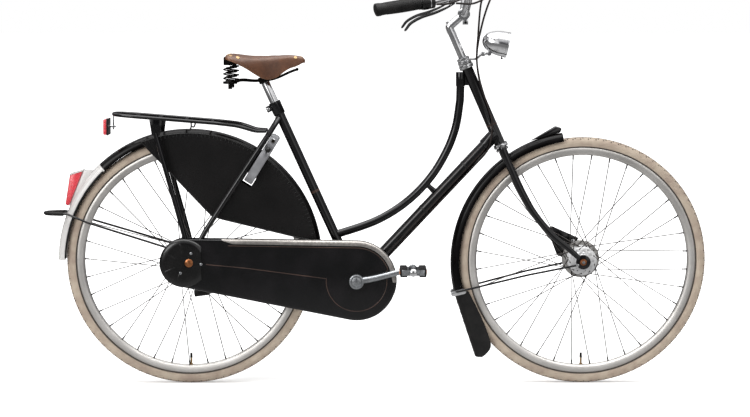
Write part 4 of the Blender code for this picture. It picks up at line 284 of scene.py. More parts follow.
def spun(profile, place, steps, start=0.0, end=tau, closed=False, onto=None):
    """Spins (radius, height) points about the local Z axis of place. UVs are metres around and across."""
    shape = bmesh.new() if onto is None else onto
    uv = shape.loops.layers.uv.verify()
    whole = abs(end - start - tau) < 1e-6
    count = steps if whole else steps + 1
    widest = max(r for r, _ in profile)
    rings = []
    for radius, height in profile:
        if radius < 1e-7:
            rings.append([shape.verts.new(place @ xyz(0, 0, height))] * count)
            continue
        angles = [start + (end - start) * k / steps for k in range(count)]
        rings.append([shape.verts.new(place @ xyz(radius * cos(a), radius * sin(a), height)) for a in angles])
    pairs = list(zip(range(len(profile)), range(1, len(profile))))
    if closed:
        pairs.append((len(profile) - 1, 0))
    across = 0.0
    for i, j in pairs:
        step = (Vector(profile[j]) - Vector(profile[i])).length
        for k in range(steps):
            m = (k + 1) % count
            corners = (rings[i][k], rings[i][m], rings[j][m], rings[j][k])
            spots = ((k, across), (k + 1, across), (k + 1, across + step), (k, across + step))
            unique = []
            for corner, spot in zip(corners, spots):
                if corner not in [u for u, _ in unique]:
                    unique.append((corner, spot))
            if len(unique) < 3:
                continue
            face = shape.faces.new([u for u, _ in unique])
            for loop, (_, spot) in zip(face.loops, unique):
                loop[uv].uv = (spot[0] * (end - start) * widest / steps, spot[1])
        across += step
    if closed and not whole:
        shape.faces.new([ring[0] for ring in rings])
        shape.faces.new([ring[-1] for ring in reversed(rings)])
    bmesh.ops.recalc_face_normals(shape, faces=shape.faces)
    return shape


def slab(outline, low, high, place=None, onto=None):
    """A flat outline of (x, y) points, raised from low to high along the local Z axis."""
    place = place or Matrix()
    rings = [[place @ xyz(x, y, height) for x, y in outline] for height in (low, high)]
    return layered(rings, onto=onto)


def side_slab(outline, y_from, y_to, onto=None):
    """A flat outline of (x, z) points, standing between two distances to the side."""
    half = abs(y_to - y_from) / 2
    return slab(outline, -half, half, Matrix.Translation(SIDE * (y_from + y_to) / 2) @ WHEEL_PLANE, onto=onto)


def layered(rows, onto=None):
    """Joins rings of points that match one by one, with a flat face at each end."""
    shape = bmesh.new() if onto is None else onto
    rings = [[shape.verts.new(point) for point in row] for row in rows]
    for low, high in zip(rings, rings[1:]):
        for i in range(len(low)):
            j = (i + 1) % len(low)
            shape.faces.new((low[i], low[j], high[j], high[i]))
    shape.faces.new(list(reversed(rings[0])))
    shape.faces.new(rings[-1])
    bmesh.ops.recalc_face_normals(shape, faces=shape.faces)
    return shape


def open_sheet(rows, probe, way):
    """Faces between rows of points, turned so that the face at a share of their count looks along way."""
    shape = bmesh.new()
    made = [[shape.verts.new(point) for point in row] for row in rows]
    for low, high in zip(made, made[1:]):
        for i in range(len(low) - 1):
            shape.faces.new((low[i], low[i + 1], high[i + 1], high[i]))
    bmesh.ops.recalc_face_normals(shape, faces=shape.faces)
    shape.faces.ensure_lookup_table()
    if shape.faces[int(len(shape.faces) * probe)].normal.dot(way) < 0:
        bmesh.ops.reverse_faces(shape, faces=shape.faces)
    return shape


def block(size, centre, turn=None, onto=None):
    shape = bmesh.new() if onto is None else onto
    place = Matrix.Translation(centre) @ (turn or Matrix()) @ Matrix.Diagonal((*size, 1))
    bmesh.ops.create_cube(shape, size=1, matrix=place)
    return shape


def ball(centre, radius, squash=(1, 1, 1), sides=20, turn=None, onto=None):
    shape = bmesh.new() if onto is None else onto
    place = Matrix.Translation(centre) @ (turn or Matrix()) @ Matrix.Diagonal((*squash, 1))
    bmesh.ops.create_uvsphere(shape, u_segments=sides, v_segments=sides // 2, radius=radius, matrix=place)
    return shape


def arc_points(centre, radius, start, end, steps):
    """(x, z) points round part of a circle in the wheel plane."""
    angles = [start + (end - start) * k / steps for k in range(steps + 1)]
    return [(centre.x + radius * cos(a), centre.z + radius * sin(a)) for a in angles]


def hull_of_circles(rear, rear_radius, front, front_radius, steps=48):
    """The outline round two circles in the wheel plane, as (x, z) points."""
    run = front - rear
    line = atan2(run.z, run.x)
    lean = acos((rear_radius - front_radius) / run.length)
    outline = arc_points(front, front_radius, line - lean, line + lean, steps)
    return outline + arc_points(rear, rear_radius, line + lean, line + tau - lean, steps)


def thick_line(start, end, radius, steps=12):
    run = atan2(end.z - start.z, end.x - start.x)
    outline = arc_points(end, radius, run - pi / 2, run + pi / 2, steps)
    return outline + arc_points(start, radius, run + pi / 2, run + pi * 3 / 2, steps)


def near(place, offsets):
    """The (x, z) points at offsets from a place."""
    return [(place.x + x, place.z + z) for x, z in offsets]


# Pieces
def linked(name, mesh):
    piece = bpy.data.objects.new(name, mesh)
    bpy.context.scene.collection.objects.link(piece)
    return piece


def mesh_of(shape, name):
    mesh = bpy.data.meshes.new(name)
    shape.to_mesh(mesh)
    shape.free()
    return mesh


def applied(piece):
    """Makes the object's modified shape its plain mesh."""
    bpy.context.view_layer.update()
    graph = bpy.context.evaluated_depsgraph_get()
    mesh = bpy.data.meshes.new_from_object(piece.evaluated_get(graph))
    old = piece.data
    piece.modifiers.clear()
    piece.data = mesh
    bpy.data.meshes.remove(old)
    return piece


def round_edges(piece, width, segments, angle):
    modifier = piece.modifiers.new("rounding", "BEVEL")
    modifier.width = width
    modifier.segments = segments
    modifier.limit_method = "ANGLE"
    modifier.angle_limit = radians(angle)


def walled(shape, name, thickness, offset, edge=0.0):
    """Gives a sheet its thickness, and rounded edges if told to. Returns the plain mesh."""
    sheet = linked(name, mesh_of(shape, name))
    wall = sheet.modifiers.new("wall", "SOLIDIFY")
    wall.thickness = thickness
    wall.offset = offset
    if edge:
        round_edges(sheet, edge, 3, 60)
    made = applied(sheet).data
    bpy.data.objects.remove(sheet)
    return made


def finished(shape, name, finish, body, nodes=(), angle=38, bevel=0.0, cutters=()):
    """Makes a shape a named piece with its finish, which moves with its body and stands for its CAD nodes."""
    mesh = mesh_of(shape, name) if isinstance(shape, bmesh.types.BMesh) else shape
    piece = linked(name, mesh)
    others = [linked("cutter", mesh_of(cutter, "cutter")) for cutter in cutters]
    for other in others:
        modifier = piece.modifiers.new("cut", "BOOLEAN")
        modifier.operation = "DIFFERENCE"
        modifier.solver = "EXACT"
        modifier.object = other
    if bevel:
        round_edges(piece, bevel, 4 if bevel > 0.006 else 2, angle)
    if piece.modifiers:
        applied(piece)
    for other in others:
        bpy.data.objects.remove(other)
    piece.data.name = name
    piece.data.shade_smooth()
    piece.data.set_sharp_from_angle(angle=radians(angle))
    piece.data.materials.clear()
    piece.data.materials.append(finishes[finish])
    if isinstance(body, tuple):
        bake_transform(piece)
    else:
        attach(piece, body)
    if nodes:
        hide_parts(*nodes)
    return piece


def dressed(node, finish, bevel=0.0, angle=40):
    """A merged, smoothly shaded copy of a CAD node, with its finish."""
    shape = bmesh.new()
    shape.from_mesh(frame["nodes"][node].data)
    bmesh.ops.remove_doubles(shape, verts=shape.verts, dist=0.00002)
    bmesh.ops.dissolve_limit(shape, angle_limit=radians(0.5), verts=shape.verts, edges=shape.edges)
    body = next(body for body, members in frame["record"]["behaviour"]["bodies"].items() if node in members)
    return finished(shape, node + "_finished", finish, body, (node,), angle, bevel)


# Finishes
def feed(tree, node, inputs):
    """Fills a node's inputs. A value that is a socket is linked, and any other is set."""
    for key, value in inputs.items():
        if isinstance(value, bpy.types.NodeSocket):
            tree.links.new(value, node.inputs[key])
        else:
            node.inputs[key].default_value = value


def add(tree, kind, settings=None, inputs=None):
    """Adds a node with its settings and its inputs."""
    made = tree.nodes.new(kind)
    for key, value in (settings or {}).items():
        setattr(made, key, value)
    feed(tree, made, inputs or {})
    return made


def linear(colour):
    """An sRGB hex colour as linear numbers, as the shaders read them."""
    values = []
    for i in (1, 3, 5):
        part = int(colour[i:i + 2], 16) / 255
        values.append(part / 12.92 if part <= 0.04045 else ((part + 0.055) / 1.055) ** 2.4)
    return (*values, 1)


finishes = {}
patterns = {}


def new_material(name, colour, roughness, metallic=0.0):
    """A material with its Principled shader, and the object's own coordinates to build patterns on."""
    material = bpy.data.materials.new(name)
    material.use_nodes = True
    tree = material.node_tree
    shader = tree.nodes["Principled BSDF"]
    feed(tree, shader, {"Base Color": linear(colour), "Roughness": roughness, "Metallic": metallic})
    finishes[name] = material
    return tree, shader, add(tree, "ShaderNodeTexCoord").outputs


def bumped(tree, shader, height, distance):
    """Links a height, in shares of distance in metres, to the shader's normal."""
    bump = add(tree, "ShaderNodeBump", inputs={"Height": height, "Distance": distance, "Strength": 1.0})
    tree.links.new(bump.outputs["Normal"], shader.inputs["Normal"])


def varied(tree, factor, stops):
    """Colours along a factor. Stops are (position, hex colour)."""
    ramp = add(tree, "ShaderNodeValToRGB", inputs={"Fac": factor})
    points = ramp.color_ramp.elements
    while len(points) < len(stops):
        points.new(0.5)
    for point, (position, colour) in zip(points, stops):
        point.position = position
        point.color = linear(colour)
    return ramp.outputs["Color"]


def ranged(tree, value, low, high, from_low=0.0, from_high=1.0):
    made = add(tree, "ShaderNodeMapRange", inputs={
        "Value": value, "From Min": from_low, "From Max": from_high, "To Min": low, "To Max": high,
    })
    return made.outputs["Result"]


def enamel(name, colour, light, rough, specular=0.35):
    # Stoved enamel under a clear coat: deep and glossy, with a faint orange-peel ripple a few
    # millimetres long and thin dust that dulls the gloss in places.
    tree, shader, place = new_material(name, colour, rough)
    dust = add(tree, "ShaderNodeTexNoise", inputs={"Vector": place["Object"], "Scale": 14.0, "Detail": 6.0})
    patches = ranged(tree, dust.outputs["Fac"], 0.0, 1.0, 0.42, 0.72)
    peel = add(tree, "ShaderNodeTexNoise", inputs={"Vector": place["Object"], "Scale": 380.0, "Detail": 1.0})
    bumped(tree, shader, peel.outputs["Fac"], 0.00004)
    feed(tree, shader, {
        "Base Color": varied(tree, patches, ((0.0, colour), (1.0, light))),
        "Roughness": ranged(tree, patches, rough, rough + 0.1),
        "Specular IOR Level": specular, "Coat Weight": specular * 0.7, "Coat Roughness": 0.04,
    })


def plated(name, dark, light, rough):
    # Bright chrome plate over polished steel: a mirror with a slightly cool tint, hairline buffing
    # marks, and small duller patches where water has dried.
    tree, shader, place = new_material(name, light, rough, 1.0)
    spots = add(tree, "ShaderNodeTexNoise", inputs={"Vector": place["Object"], "Scale": 60.0, "Detail": 5.0})
    marks = add(tree, "ShaderNodeTexNoise", inputs={"Vector": place["Object"], "Scale": 900.0, "Detail": 2.0})
    patches = ranged(tree, spots.outputs["Fac"], 0.0, 1.0, 0.45, 0.75)
    bumped(tree, shader, marks.outputs["Fac"], 0.00001)
    feed(tree, shader, {
        "Base Color": varied(tree, patches, ((0.0, light), (1.0, dark))),
        "Roughness": ranged(tree, patches, rough, rough + 0.12),
    })


def satin_metal(name, dark, light, rough, scale, stretch=(1.0, 1.0, 1.0), coords="Object"):
    # Bare metal with a directional satin: fine parallel scratches that break up the highlight,
    # and a slow drift from lighter to greyer oxide.
    tree, shader, place = new_material(name, light, rough, 1.0)
    turned = add(tree, "ShaderNodeMapping", inputs={"Vector": place[coords], "Scale": stretch})
    lines = add(
        tree, "ShaderNodeTexNoise", inputs={"Vector": turned.outputs["Vector"], "Scale": scale, "Detail": 3.0}
    )
    drift = add(tree, "ShaderNodeTexNoise", inputs={"Vector": place["Object"], "Scale": 9.0, "Detail": 4.0})
    mixed = add(
        tree, "ShaderNodeMath", {"operation": "MULTIPLY"}, {0: lines.outputs["Fac"], 1: drift.outputs["Fac"]}
    )
    bumped(tree, shader, lines.outputs["Fac"], 0.00003)
    feed(tree, shader, {
        "Base Color": varied(tree, mixed.outputs["Value"], ((0.15, dark), (0.45, light))),
        "Roughness": ranged(tree, lines.outputs["Fac"], rough - 0.08, rough + 0.12),
    })


def grained(name, colour, light, rough, scale, depth, specular=0.5):
    # Moulded rubber or plastic: a fine matt grain from the mould, a little lighter where it is
    # handled and dusty, with soft highlights.
    tree, shader, place = new_material(name, colour, rough)
    grain = add(tree, "ShaderNodeTexNoise", inputs={"Vector": place["Object"], "Scale": scale, "Detail": 3.0})
    dust = add(tree, "ShaderNodeTexNoise", inputs={"Vector": place["Object"], "Scale": 25.0, "Detail": 5.0})
    patches = ranged(tree, dust.outputs["Fac"], 0.0, 1.0, 0.40, 0.75)
    bumped(tree, shader, grain.outputs["Fac"], depth)
    feed(tree, shader, {
        "Base Color": varied(tree, patches, ((0.0, colour), (1.0, light))),
        "Roughness": ranged(tree, grain.outputs["Fac"], rough - 0.08, rough + 0.12),
        "Specular IOR Level": specular,
    })


def tyre_rubber():
    # Tan side-walled rubber: matt, with a dusty tread, moulded rings on the wall and a dark bead
    # line next to the rim. V runs across the section in metres, from bead to bead.
    tree, shader, place = new_material("tan tyre rubber", "#A1917F", 0.8)
    v = add(tree, "ShaderNodeSeparateXYZ", inputs={"Vector": place["UV"]}).outputs["Y"]
    dust = add(tree, "ShaderNodeTexNoise", inputs={"Vector": place["Object"], "Scale": 30.0, "Detail": 8.0})
    base = varied(tree, dust.outputs["Fac"], ((0.30, "#97877A"), (0.55, "#A99B8B"), (0.80, "#B5A898")))
    from_middle = add(tree, "ShaderNodeMath", {"operation": "SUBTRACT"}, {0: v, 1: TYRE_HALF_GIRTH})
    out = add(tree, "ShaderNodeMath", {"operation": "ABSOLUTE"}, {0: from_middle.outputs["Value"]})
    tread = ranged(tree, out.outputs["Value"], 1.0, 0.0, 0.008, 0.012)
    worn = add(
        tree, "ShaderNodeMix", {"data_type": "RGBA"}, {"Factor": tread, "A": base, "B": linear("#8C7F73")}
    )
    bead = ranged(tree, out.outputs["Value"], 0.0, 1.0, TYRE_HALF_GIRTH - 0.0085, TYRE_HALF_GIRTH - 0.0070)
    ringed = add(tree, "ShaderNodeMix", {"data_type": "RGBA"}, {
        "Factor": bead, "A": worn.outputs["Result"], "B": linear("#4A443F"),
    })
    steps = add(tree, "ShaderNodeMath", {"operation": "MULTIPLY"}, {0: v, 1: 2600.0})
    rings = add(tree, "ShaderNodeMath", {"operation": "SINE"}, {0: steps.outputs["Value"]})
    grit = add(tree, "ShaderNodeTexNoise", inputs={"Vector": place["Object"], "Scale": 700.0, "Detail": 2.0})
    height = add(tree, "ShaderNodeMath", {"operation": "MULTIPLY_ADD"}, {
        0: rings.outputs["Value"], 1: 0.25, 2: grit.outputs["Fac"],
    })
    bumped(tree, shader, height.outputs["Value"], 0.00012)
    feed(tree, shader, {
        "Base Color": ringed.outputs["Result"], "Roughness": ranged(tree, grit.outputs["Fac"], 0.72, 0.92),
        "Specular IOR Level": 0.3,
    })


def hide():
    # Thick saddle leather, waxed and stretched: a pebbled grain about a millimetre across, darker
    # in the grain, lighter and shinier where it has been sat on and along the edges.
    tree, shader, place = new_material("waxed leather", "#55331F", 0.42)
    pebbles = add(tree, "ShaderNodeTexVoronoi", inputs={"Vector": place["Object"], "Scale": 900.0})
    creases = add(tree, "ShaderNodeTexNoise", inputs={
        "Vector": place["Object"], "Scale": 45.0, "Detail": 8.0, "Roughness": 0.65,
    })
    wear = add(tree, "ShaderNodeTexNoise", inputs={"Vector": place["Object"], "Scale": 11.0, "Detail": 5.0})
    base = varied(tree, wear.outputs["Fac"], ((0.25, "#3E2415"), (0.50, "#55331F"), (0.75, "#6B432A")))
    edge = add(tree, "ShaderNodeNewGeometry")
    lighter = add(tree, "ShaderNodeMix", {"data_type": "RGBA"}, {
        "Factor": ranged(tree, edge.outputs["Pointiness"], 0.0, 1.0, 0.51, 0.58), "A": base,
        "B": linear("#8C6343"),
    })
    grain = ranged(tree, creases.outputs["Fac"], 0.72, 1.08, 0.3, 0.7)
    toned = add(tree, "ShaderNodeHueSaturation", inputs={"Color": lighter.outputs["Result"], "Value": grain})
    height = add(tree, "ShaderNodeMath", {"operation": "MULTIPLY_ADD"}, {
        0: pebbles.outputs["Distance"], 1: 0.5, 2: creases.outputs["Fac"],
    })
    bumped(tree, shader, height.outputs["Value"], 0.00035)
    feed(tree, shader, {
        "Base Color": toned.outputs["Color"],
        "Roughness": ranged(tree, wear.outputs["Fac"], 0.52, 0.34, 0.35, 0.65),
        "Coat Weight": 0.12, "Coat Roughness": 0.25,
    })


def coated_fabric():
    # Black coated cloth of a coat guard: a tight weave pressed into a glossy vinyl face, drawn at a
    # thread spacing of 1.2 mm so that it shows.
    tree, shader, place = new_material("coated fabric", "#0B0B0C", 0.30)
    turned = add(
        tree, "ShaderNodeMapping", inputs={"Vector": place["Object"], "Rotation": (0, radians(38), 0)}
    )
    threads = {"Vector": turned.outputs["Vector"], "Scale": 260.0}
    warp = add(tree, "ShaderNodeTexWave", {"bands_direction": "X"}, threads)
    weft = add(tree, "ShaderNodeTexWave", {"bands_direction": "Z"}, threads)
    weave = add(
        tree, "ShaderNodeMath", {"operation": "MULTIPLY"}, {0: warp.outputs["Fac"], 1: weft.outputs["Fac"]}
    )
    bumped(tree, shader, weave.outputs["Value"], 0.00006)
    cloud = add(tree, "ShaderNodeTexNoise", inputs={"Vector": place["Object"], "Scale": 8.0, "Detail": 5.0})
    feed(tree, shader, {
        "Base Color": varied(tree, cloud.outputs["Fac"], ((0.35, "#060505"), (0.75, "#100E0E"))),
        "Roughness": ranged(tree, cloud.outputs["Fac"], 0.20, 0.32), "Specular IOR Level": 0.4,
    })


def braided():
    # Braided lacing cord: diagonal strands half a millimetre wide, matt black.
    tree, shader, place = new_material("lacing cord", "#141414", 0.75)
    turned = add(tree, "ShaderNodeMapping", inputs={"Vector": place["Object"], "Rotation": (0.6, 0.6, 0.6)})
    strands = add(tree, "ShaderNodeTexWave", inputs={"Vector": turned.outputs["Vector"], "Scale": 300.0})
    bumped(tree, shader, strands.outputs["Fac"], 0.0002)
    feed(
        tree, shader,
        {"Base Color": varied(tree, strands.outputs["Fac"], ((0.2, "#0C0C0C"), (0.9, "#232323")))}
    )


def ribbed_lens(name, colour, dark):
    # Clear coloured acrylic over a moulded prism grid: glossy outside, with 4 mm prisms whose catching of
    # the light is painted into the base colour as lighter and darker cells and bands (painted glints).
    tree, shader, place = new_material(name, colour, 0.10)
    glint_cells = add(tree, "ShaderNodeTexChecker", inputs={"Vector": place["Object"], "Scale": 250.0})
    waves = add(
        tree, "ShaderNodeTexWave", {"bands_direction": "Z"}, {"Vector": place["Object"], "Scale": 80.0}
    )
    # painted glints: the base colour runs from the darker tone to the lens colour over the prism cells and
    # bands
    mixed = add(tree, "ShaderNodeMath", {"operation": "MULTIPLY_ADD"}, {
        0: glint_cells.outputs["Fac"], 1: 0.35, 2: waves.outputs["Fac"],
    })
    bumped(tree, shader, waves.outputs["Fac"], 0.0003)
    feed(tree, shader, {
        "Base Color": varied(tree, mixed.outputs["Value"], ((0.1, dark), (0.9, colour))),
        "Subsurface Weight": 0.25, "Subsurface Radius": (0.004, 0.001, 0.001), "Coat Weight": 0.5,
    })


def clear_lens():
    # Pressed glass of the headlamp: clear, with vertical flutes 3 mm apart on its face.
    tree, shader, place = new_material("clear lens", "#F2F5F7", 0.03)
    flutes = add(
        tree, "ShaderNodeTexWave", {"bands_direction": "Y"}, {"Vector": place["Object"], "Scale": 105.0}
    )
    haze = add(tree, "ShaderNodeTexNoise", inputs={"Vector": place["Object"], "Scale": 40.0, "Detail": 4.0})
    bumped(tree, shader, flutes.outputs["Fac"], 0.0004)
    feed(tree, shader, {
        "Roughness": ranged(tree, haze.outputs["Fac"], 0.02, 0.10), "Transmission Weight": 0.92, "IOR": 1.49,
    })


def make_finishes(sizes):
    enamel("black enamel", sizes_hex(sizes.enamel_colour), "#121012", 0.10)
    enamel("guard enamel", "#060505", "#0D0B0C", 0.16, 0.10)
    enamel("white enamel", "#C6C4C2", "#BAB8B6", 0.24)
    plated("chrome plate", "#B9BABC", "#E6E6E7", 0.13)
    plated("lamp reflector", "#B9BCC0", "#EDEEF0", 0.12)
    satin_metal("satin aluminium", "#8E9194", "#C9CBCD", 0.30, 220.0)
    satin_metal("brushed rim aluminium", "#C9C6C2", "#EFECE8", 0.46, 30.0, (3.0, 90.0, 1.0), "UV")
    satin_metal("stainless wire", "#474443", "#676361", 0.60, 500.0)
    satin_metal("bright trim", "#9A9692", "#C2BDB8", 0.42, 160.0)
    satin_metal("hub aluminium", "#E2E2E3", "#FAFAFA", 0.55, 240.0)
    satin_metal("drum aluminium", "#B9B7B4", "#DAD8D5", 0.50, 180.0)
    satin_metal("ground steel", "#85878A", "#B9BBBD", 0.32, 120.0, (1.0, 12.0, 1.0))
    satin_metal("oiled steel", "#141313", "#2C2A28", 0.38, 260.0)
    satin_metal("copper-plated steel", "#7A4A30", "#B97B52", 0.30, 200.0)
    satin_metal("blackened brass", "#1E1B18", "#3B352E", 0.40, 300.0)
    satin_metal("brass", "#9A7E5A", "#C6AA82", 0.40, 260.0)
    grained("cable rubber", "#17110F", "#2A211E", 0.50, 900.0, 0.00004, 0.3)
    grained("black rubber", "#0B0A0A", "#1A1817", 0.60, 900.0, 0.00008, 0.3)
    grained("moulded plastic", "#0B0B0B", "#181717", 0.34, 1100.0, 0.00004, 0.4)
    grained("glossy plastic", "#080808", "#141313", 0.16, 700.0, 0.00003)
    grained("lock plastic", sizes_hex(sizes.lock_colour), "#8B8C8F", 0.42, 1000.0, 0.00005)
    enamel("gold transfer", "#33241E", "#4A352B", 0.32)
    tyre_rubber()
    hide()
    coated_fabric()
    braided()
    ribbed_lens("red lens", "#DC4650", "#A42C34")
    ribbed_lens("amber lens", "#E08A28", "#9A5A12")
    clear_lens()


# Repeating patterns
def new_tree(name, sockets):
    """A Geometry Nodes tree with its named inputs. Returns the tree, its input node and its output node."""
    tree = bpy.data.node_groups.new(name, "GeometryNodeTree")
    tree.interface.new_socket("Geometry", in_out="INPUT", socket_type="NodeSocketGeometry")
    for label, kind, default in sockets:
        made = tree.interface.new_socket(label, in_out="INPUT", socket_type=kind)
        if default is not None:
            made.default_value = default
    tree.interface.new_socket("Material", in_out="INPUT", socket_type="NodeSocketMaterial")
    tree.interface.new_socket("Geometry", in_out="OUTPUT", socket_type="NodeSocketGeometry")
    return tree, add(tree, "NodeGroupInput"), add(tree, "NodeGroupOutput")


def closed_tree(tree, source, target, geometry):
    """Ends a tree in real faces with their material."""
    real = add(tree, "GeometryNodeRealizeInstances", inputs={"Geometry": geometry})
    coloured = add(
        tree, "GeometryNodeSetMaterial",
        inputs={"Geometry": real.outputs["Geometry"], "Material": source.outputs["Material"]},
    )
    tree.links.new(coloured.outputs["Geometry"], target.inputs["Geometry"])
    return tree


def ring_tree():
    """Repeats the base shape in equal steps round the local Y axis."""
    tree, source, target = new_tree("repeat around an axle", (("Count", "NodeSocketInt", 9),))
    points = add(tree, "GeometryNodeMeshLine", inputs={"Count": source.outputs["Count"], "Offset": (0, 0, 0)})
    step = add(tree, "ShaderNodeMath", {"operation": "DIVIDE"}, {0: tau, 1: source.outputs["Count"]})
    index = add(tree, "GeometryNodeInputIndex")
    turn = add(
        tree, "ShaderNodeMath", {"operation": "MULTIPLY"},
        {0: index.outputs["Index"], 1: step.outputs["Value"]}
    )
    angles = add(tree, "ShaderNodeCombineXYZ", inputs={"Y": turn.outputs["Value"]})
    placed = add(tree, "GeometryNodeInstanceOnPoints", inputs={
        "Points": points.outputs["Mesh"], "Instance": source.outputs["Geometry"],
        "Rotation": angles.outputs["Vector"],
    })
    return closed_tree(tree, source, target, placed.outputs["Instances"])


def wire_tree():
    """Turns edges into round wire."""
    tree, source, target = new_tree(
        "round wire", (("Radius", "NodeSocketFloat", 0.001), ("Sides", "NodeSocketInt", 10))
    )
    lines = add(tree, "GeometryNodeMeshToCurve", inputs={"Mesh": source.outputs["Geometry"]})
    section = add(tree, "GeometryNodeCurvePrimitiveCircle", inputs={
        "Radius": source.outputs["Radius"], "Resolution": source.outputs["Sides"],
    })
    swept = add(tree, "GeometryNodeCurveToMesh", inputs={
        "Curve": lines.outputs["Curve"], "Profile Curve": section.outputs["Curve"], "Fill Caps": True,
    })
    return closed_tree(tree, source, target, swept.outputs["Mesh"])


def coil_tree():
    """An open coil spring, standing on the local XY plane."""
    tree, source, target = new_tree("coil spring", (
        ("Turns", "NodeSocketFloat", 4.0), ("Radius", "NodeSocketFloat", 0.018),
        ("Height", "NodeSocketFloat", 0.04),
        ("Wire Radius", "NodeSocketFloat", 0.002), ("Steps", "NodeSocketInt", 32),
    ))
    path = add(tree, "GeometryNodeCurveSpiral", inputs={
        "Resolution": source.outputs["Steps"], "Rotations": source.outputs["Turns"],
        "Start Radius": source.outputs["Radius"], "End Radius": source.outputs["Radius"],
        "Height": source.outputs["Height"],
    })
    section = add(tree, "GeometryNodeCurvePrimitiveCircle", inputs={
        "Radius": source.outputs["Wire Radius"], "Resolution": 12,
    })
    swept = add(tree, "GeometryNodeCurveToMesh", inputs={
        "Curve": path.outputs["Curve"], "Profile Curve": section.outputs["Curve"], "Fill Caps": True,
    })
    return closed_tree(tree, source, target, swept.outputs["Mesh"])


def path_tree():
    """Sets the base shape at even distances along a path's edges, turned to follow it."""
    tree, source, target = new_tree(
        "repeat along a path", (("Path", "NodeSocketObject", None), ("Spacing", "NodeSocketFloat", 0.01))
    )
    path = add(tree, "GeometryNodeObjectInfo", inputs={"Object": source.outputs["Path"]})
    line = add(tree, "GeometryNodeMeshToCurve", inputs={"Mesh": path.outputs["Geometry"]})
    points = add(tree, "GeometryNodeCurveToPoints", {"mode": "LENGTH"}, {
        "Curve": line.outputs["Curve"], "Length": source.outputs["Spacing"],
    })
    placed = add(tree, "GeometryNodeInstanceOnPoints", inputs={
        "Points": points.outputs["Points"], "Instance": source.outputs["Geometry"],
        "Rotation": points.outputs["Rotation"],
    })
    return closed_tree(tree, source, target, placed.outputs["Instances"])


def grown(pattern, name, finish, values, base=None):
    """Evaluates a pattern on a base shape and returns the plain mesh."""
    tree = patterns[pattern]
    host = linked(name, bpy.data.meshes.new(name) if base is None else mesh_of(base, name))
    modifier = host.modifiers.new("pattern", "NODES")
    modifier.node_group = tree
    chosen = {**values, "Material": finishes[finish]}
    for item in tree.interface.items_tree:
        if item.item_type == "SOCKET" and item.in_out == "INPUT" and item.name in chosen:
            modifier[item.identifier] = chosen[item.name]
    made = applied(host).data
    bpy.data.objects.remove(host)
    return made


def ring_of(base, name, finish, count, place):
    """Repeats a base shape round an axle."""
    mesh = grown("repeat", name, finish, {"Count": count}, base)
    mesh.transform(place)
    return mesh


def path_object(name, points):
    mesh = bpy.data.meshes.new(name)
    mesh.from_pydata(points, [(i, i + 1) for i in range(len(points) - 1)], [])
    return linked(name, mesh)


# Wheels and brakes
TYRE_MIDDLE = 0.341  # radius of the section's centre
TYRE_RISE = 0.0165
TYRE_HALF_WIDTH = 0.020
TYRE_SECTION = [
    (TYRE_MIDDLE + TYRE_RISE * cos(radians(t)), -TYRE_HALF_WIDTH * sin(radians(t)))
    for t in (-150, -138, -124, -110, -96, -82, -68, -54, -44, -35, -26)
]
TYRE_SECTION += [(0.3570 - 0.0006 * (i % 2), -0.0072 + 0.0016 * i) for i in range(10)]
TYRE_SECTION += [(r, -h) for r, h in reversed(TYRE_SECTION[:11])]
TYRE_HALF_GIRTH = sum((Vector(b) - Vector(a)).length for a, b in zip(TYRE_SECTION, TYRE_SECTION[1:])) / 2


def tyre(end, axle, sizes):
    body = end + "_wheel"
    shape = spun(TYRE_SECTION, on_wheel(axle), 180, closed=True)
    finished(shape, end + "_tyre_casing", "tan tyre rubber", body, (end + "_tyre",), angle=50)
    base = bmesh.new()
    for side in (-1, 1):
        for angle, out, turn, slope in ((0.0, 0.0108, 0.5, 0.45), (0.022, 0.0142, -0.5, 0.62)):
            reach = TYRE_MIDDLE + TYRE_RISE * sqrt(1 - (out / TYRE_HALF_WIDTH) ** 2)
            place = Matrix.Rotation(-angle, 4, "Y") @ Matrix.Translation(xyz(reach - 0.0008, side * out, 0))
            tilt = Matrix.Rotation(-side * slope, 4, "Z") @ Matrix.Rotation(side * turn, 4, "X")
            block((0.003, 0.0042, 0.0022), xyz(0, 0, 0), place @ tilt, onto=base)
    tread = ring_of(base, end + "_tread", "tan tyre rubber", sizes.tread_blocks, Matrix.Translation(axle))
    finished(tread, end + "_tyre_tread", "tan tyre rubber", body)


def rim(end, axle):
    body = end + "_wheel"
    inner, outer = 0.3052, 0.3272
    outside = [
        (outer, 0.0126), (outer + 0.0003, 0.0136), (outer - 0.0006, 0.0146), (0.32, 0.0146), (0.312, 0.0136),
        (0.3075, 0.011), (inner + 0.0004, 0.007), (inner, 0.0),
    ]
    inside = [(0.3232, -0.0112), (0.32, -0.006), (0.32, 0.006), (0.3232, 0.0112)]
    shape = spun(both_ways(outside) + inside, on_wheel(axle), 180, closed=True)
    finished(shape, end + "_rim_hoop", "brushed rim aluminium", body, (end + "_rim",), angle=50)
    foot = polar(axle, -pi / 2, inner + 0.004)
    stem = rod(foot, foot + UP * 0.026, 0.003, 16, rounding=0.0005)
    rod(foot + UP * 0.0045, foot + UP * 0.0065, 0.0052, 6, rounding=0.0004, onto=stem)
    finished(stem, end + "_valve_stem", "brass", body)
    cap = rod(foot + UP * 0.024, foot + UP * 0.038, 0.0038, 16, end_radius=0.0032, rounding=0.0008)
    finished(cap, end + "_valve_cap", "black rubber", body)


def spoke_lines(radius, left, right, spoke_start, step):
    """Where four neighbouring spokes start and stop, and which way each one's head looks."""
    hole_circle = radius - 0.005
    lift = 0.0018
    found = []
    for i in range(4):
        angle = spoke_start + i * step
        flange = left if i % 2 else -right
        half = 1 if flange > 0 else -1
        sense = 1 if i < 2 else -1
        outward = half * sense
        start = polar(xyz(0, 0, 0), angle + sense * radians(60), hole_circle, flange + outward * lift)
        stop = polar(xyz(0, 0, 0), angle, 0.3056, half * 0.003 + outward * lift * 0.4)
        found.append((start, stop, outward))
    return found


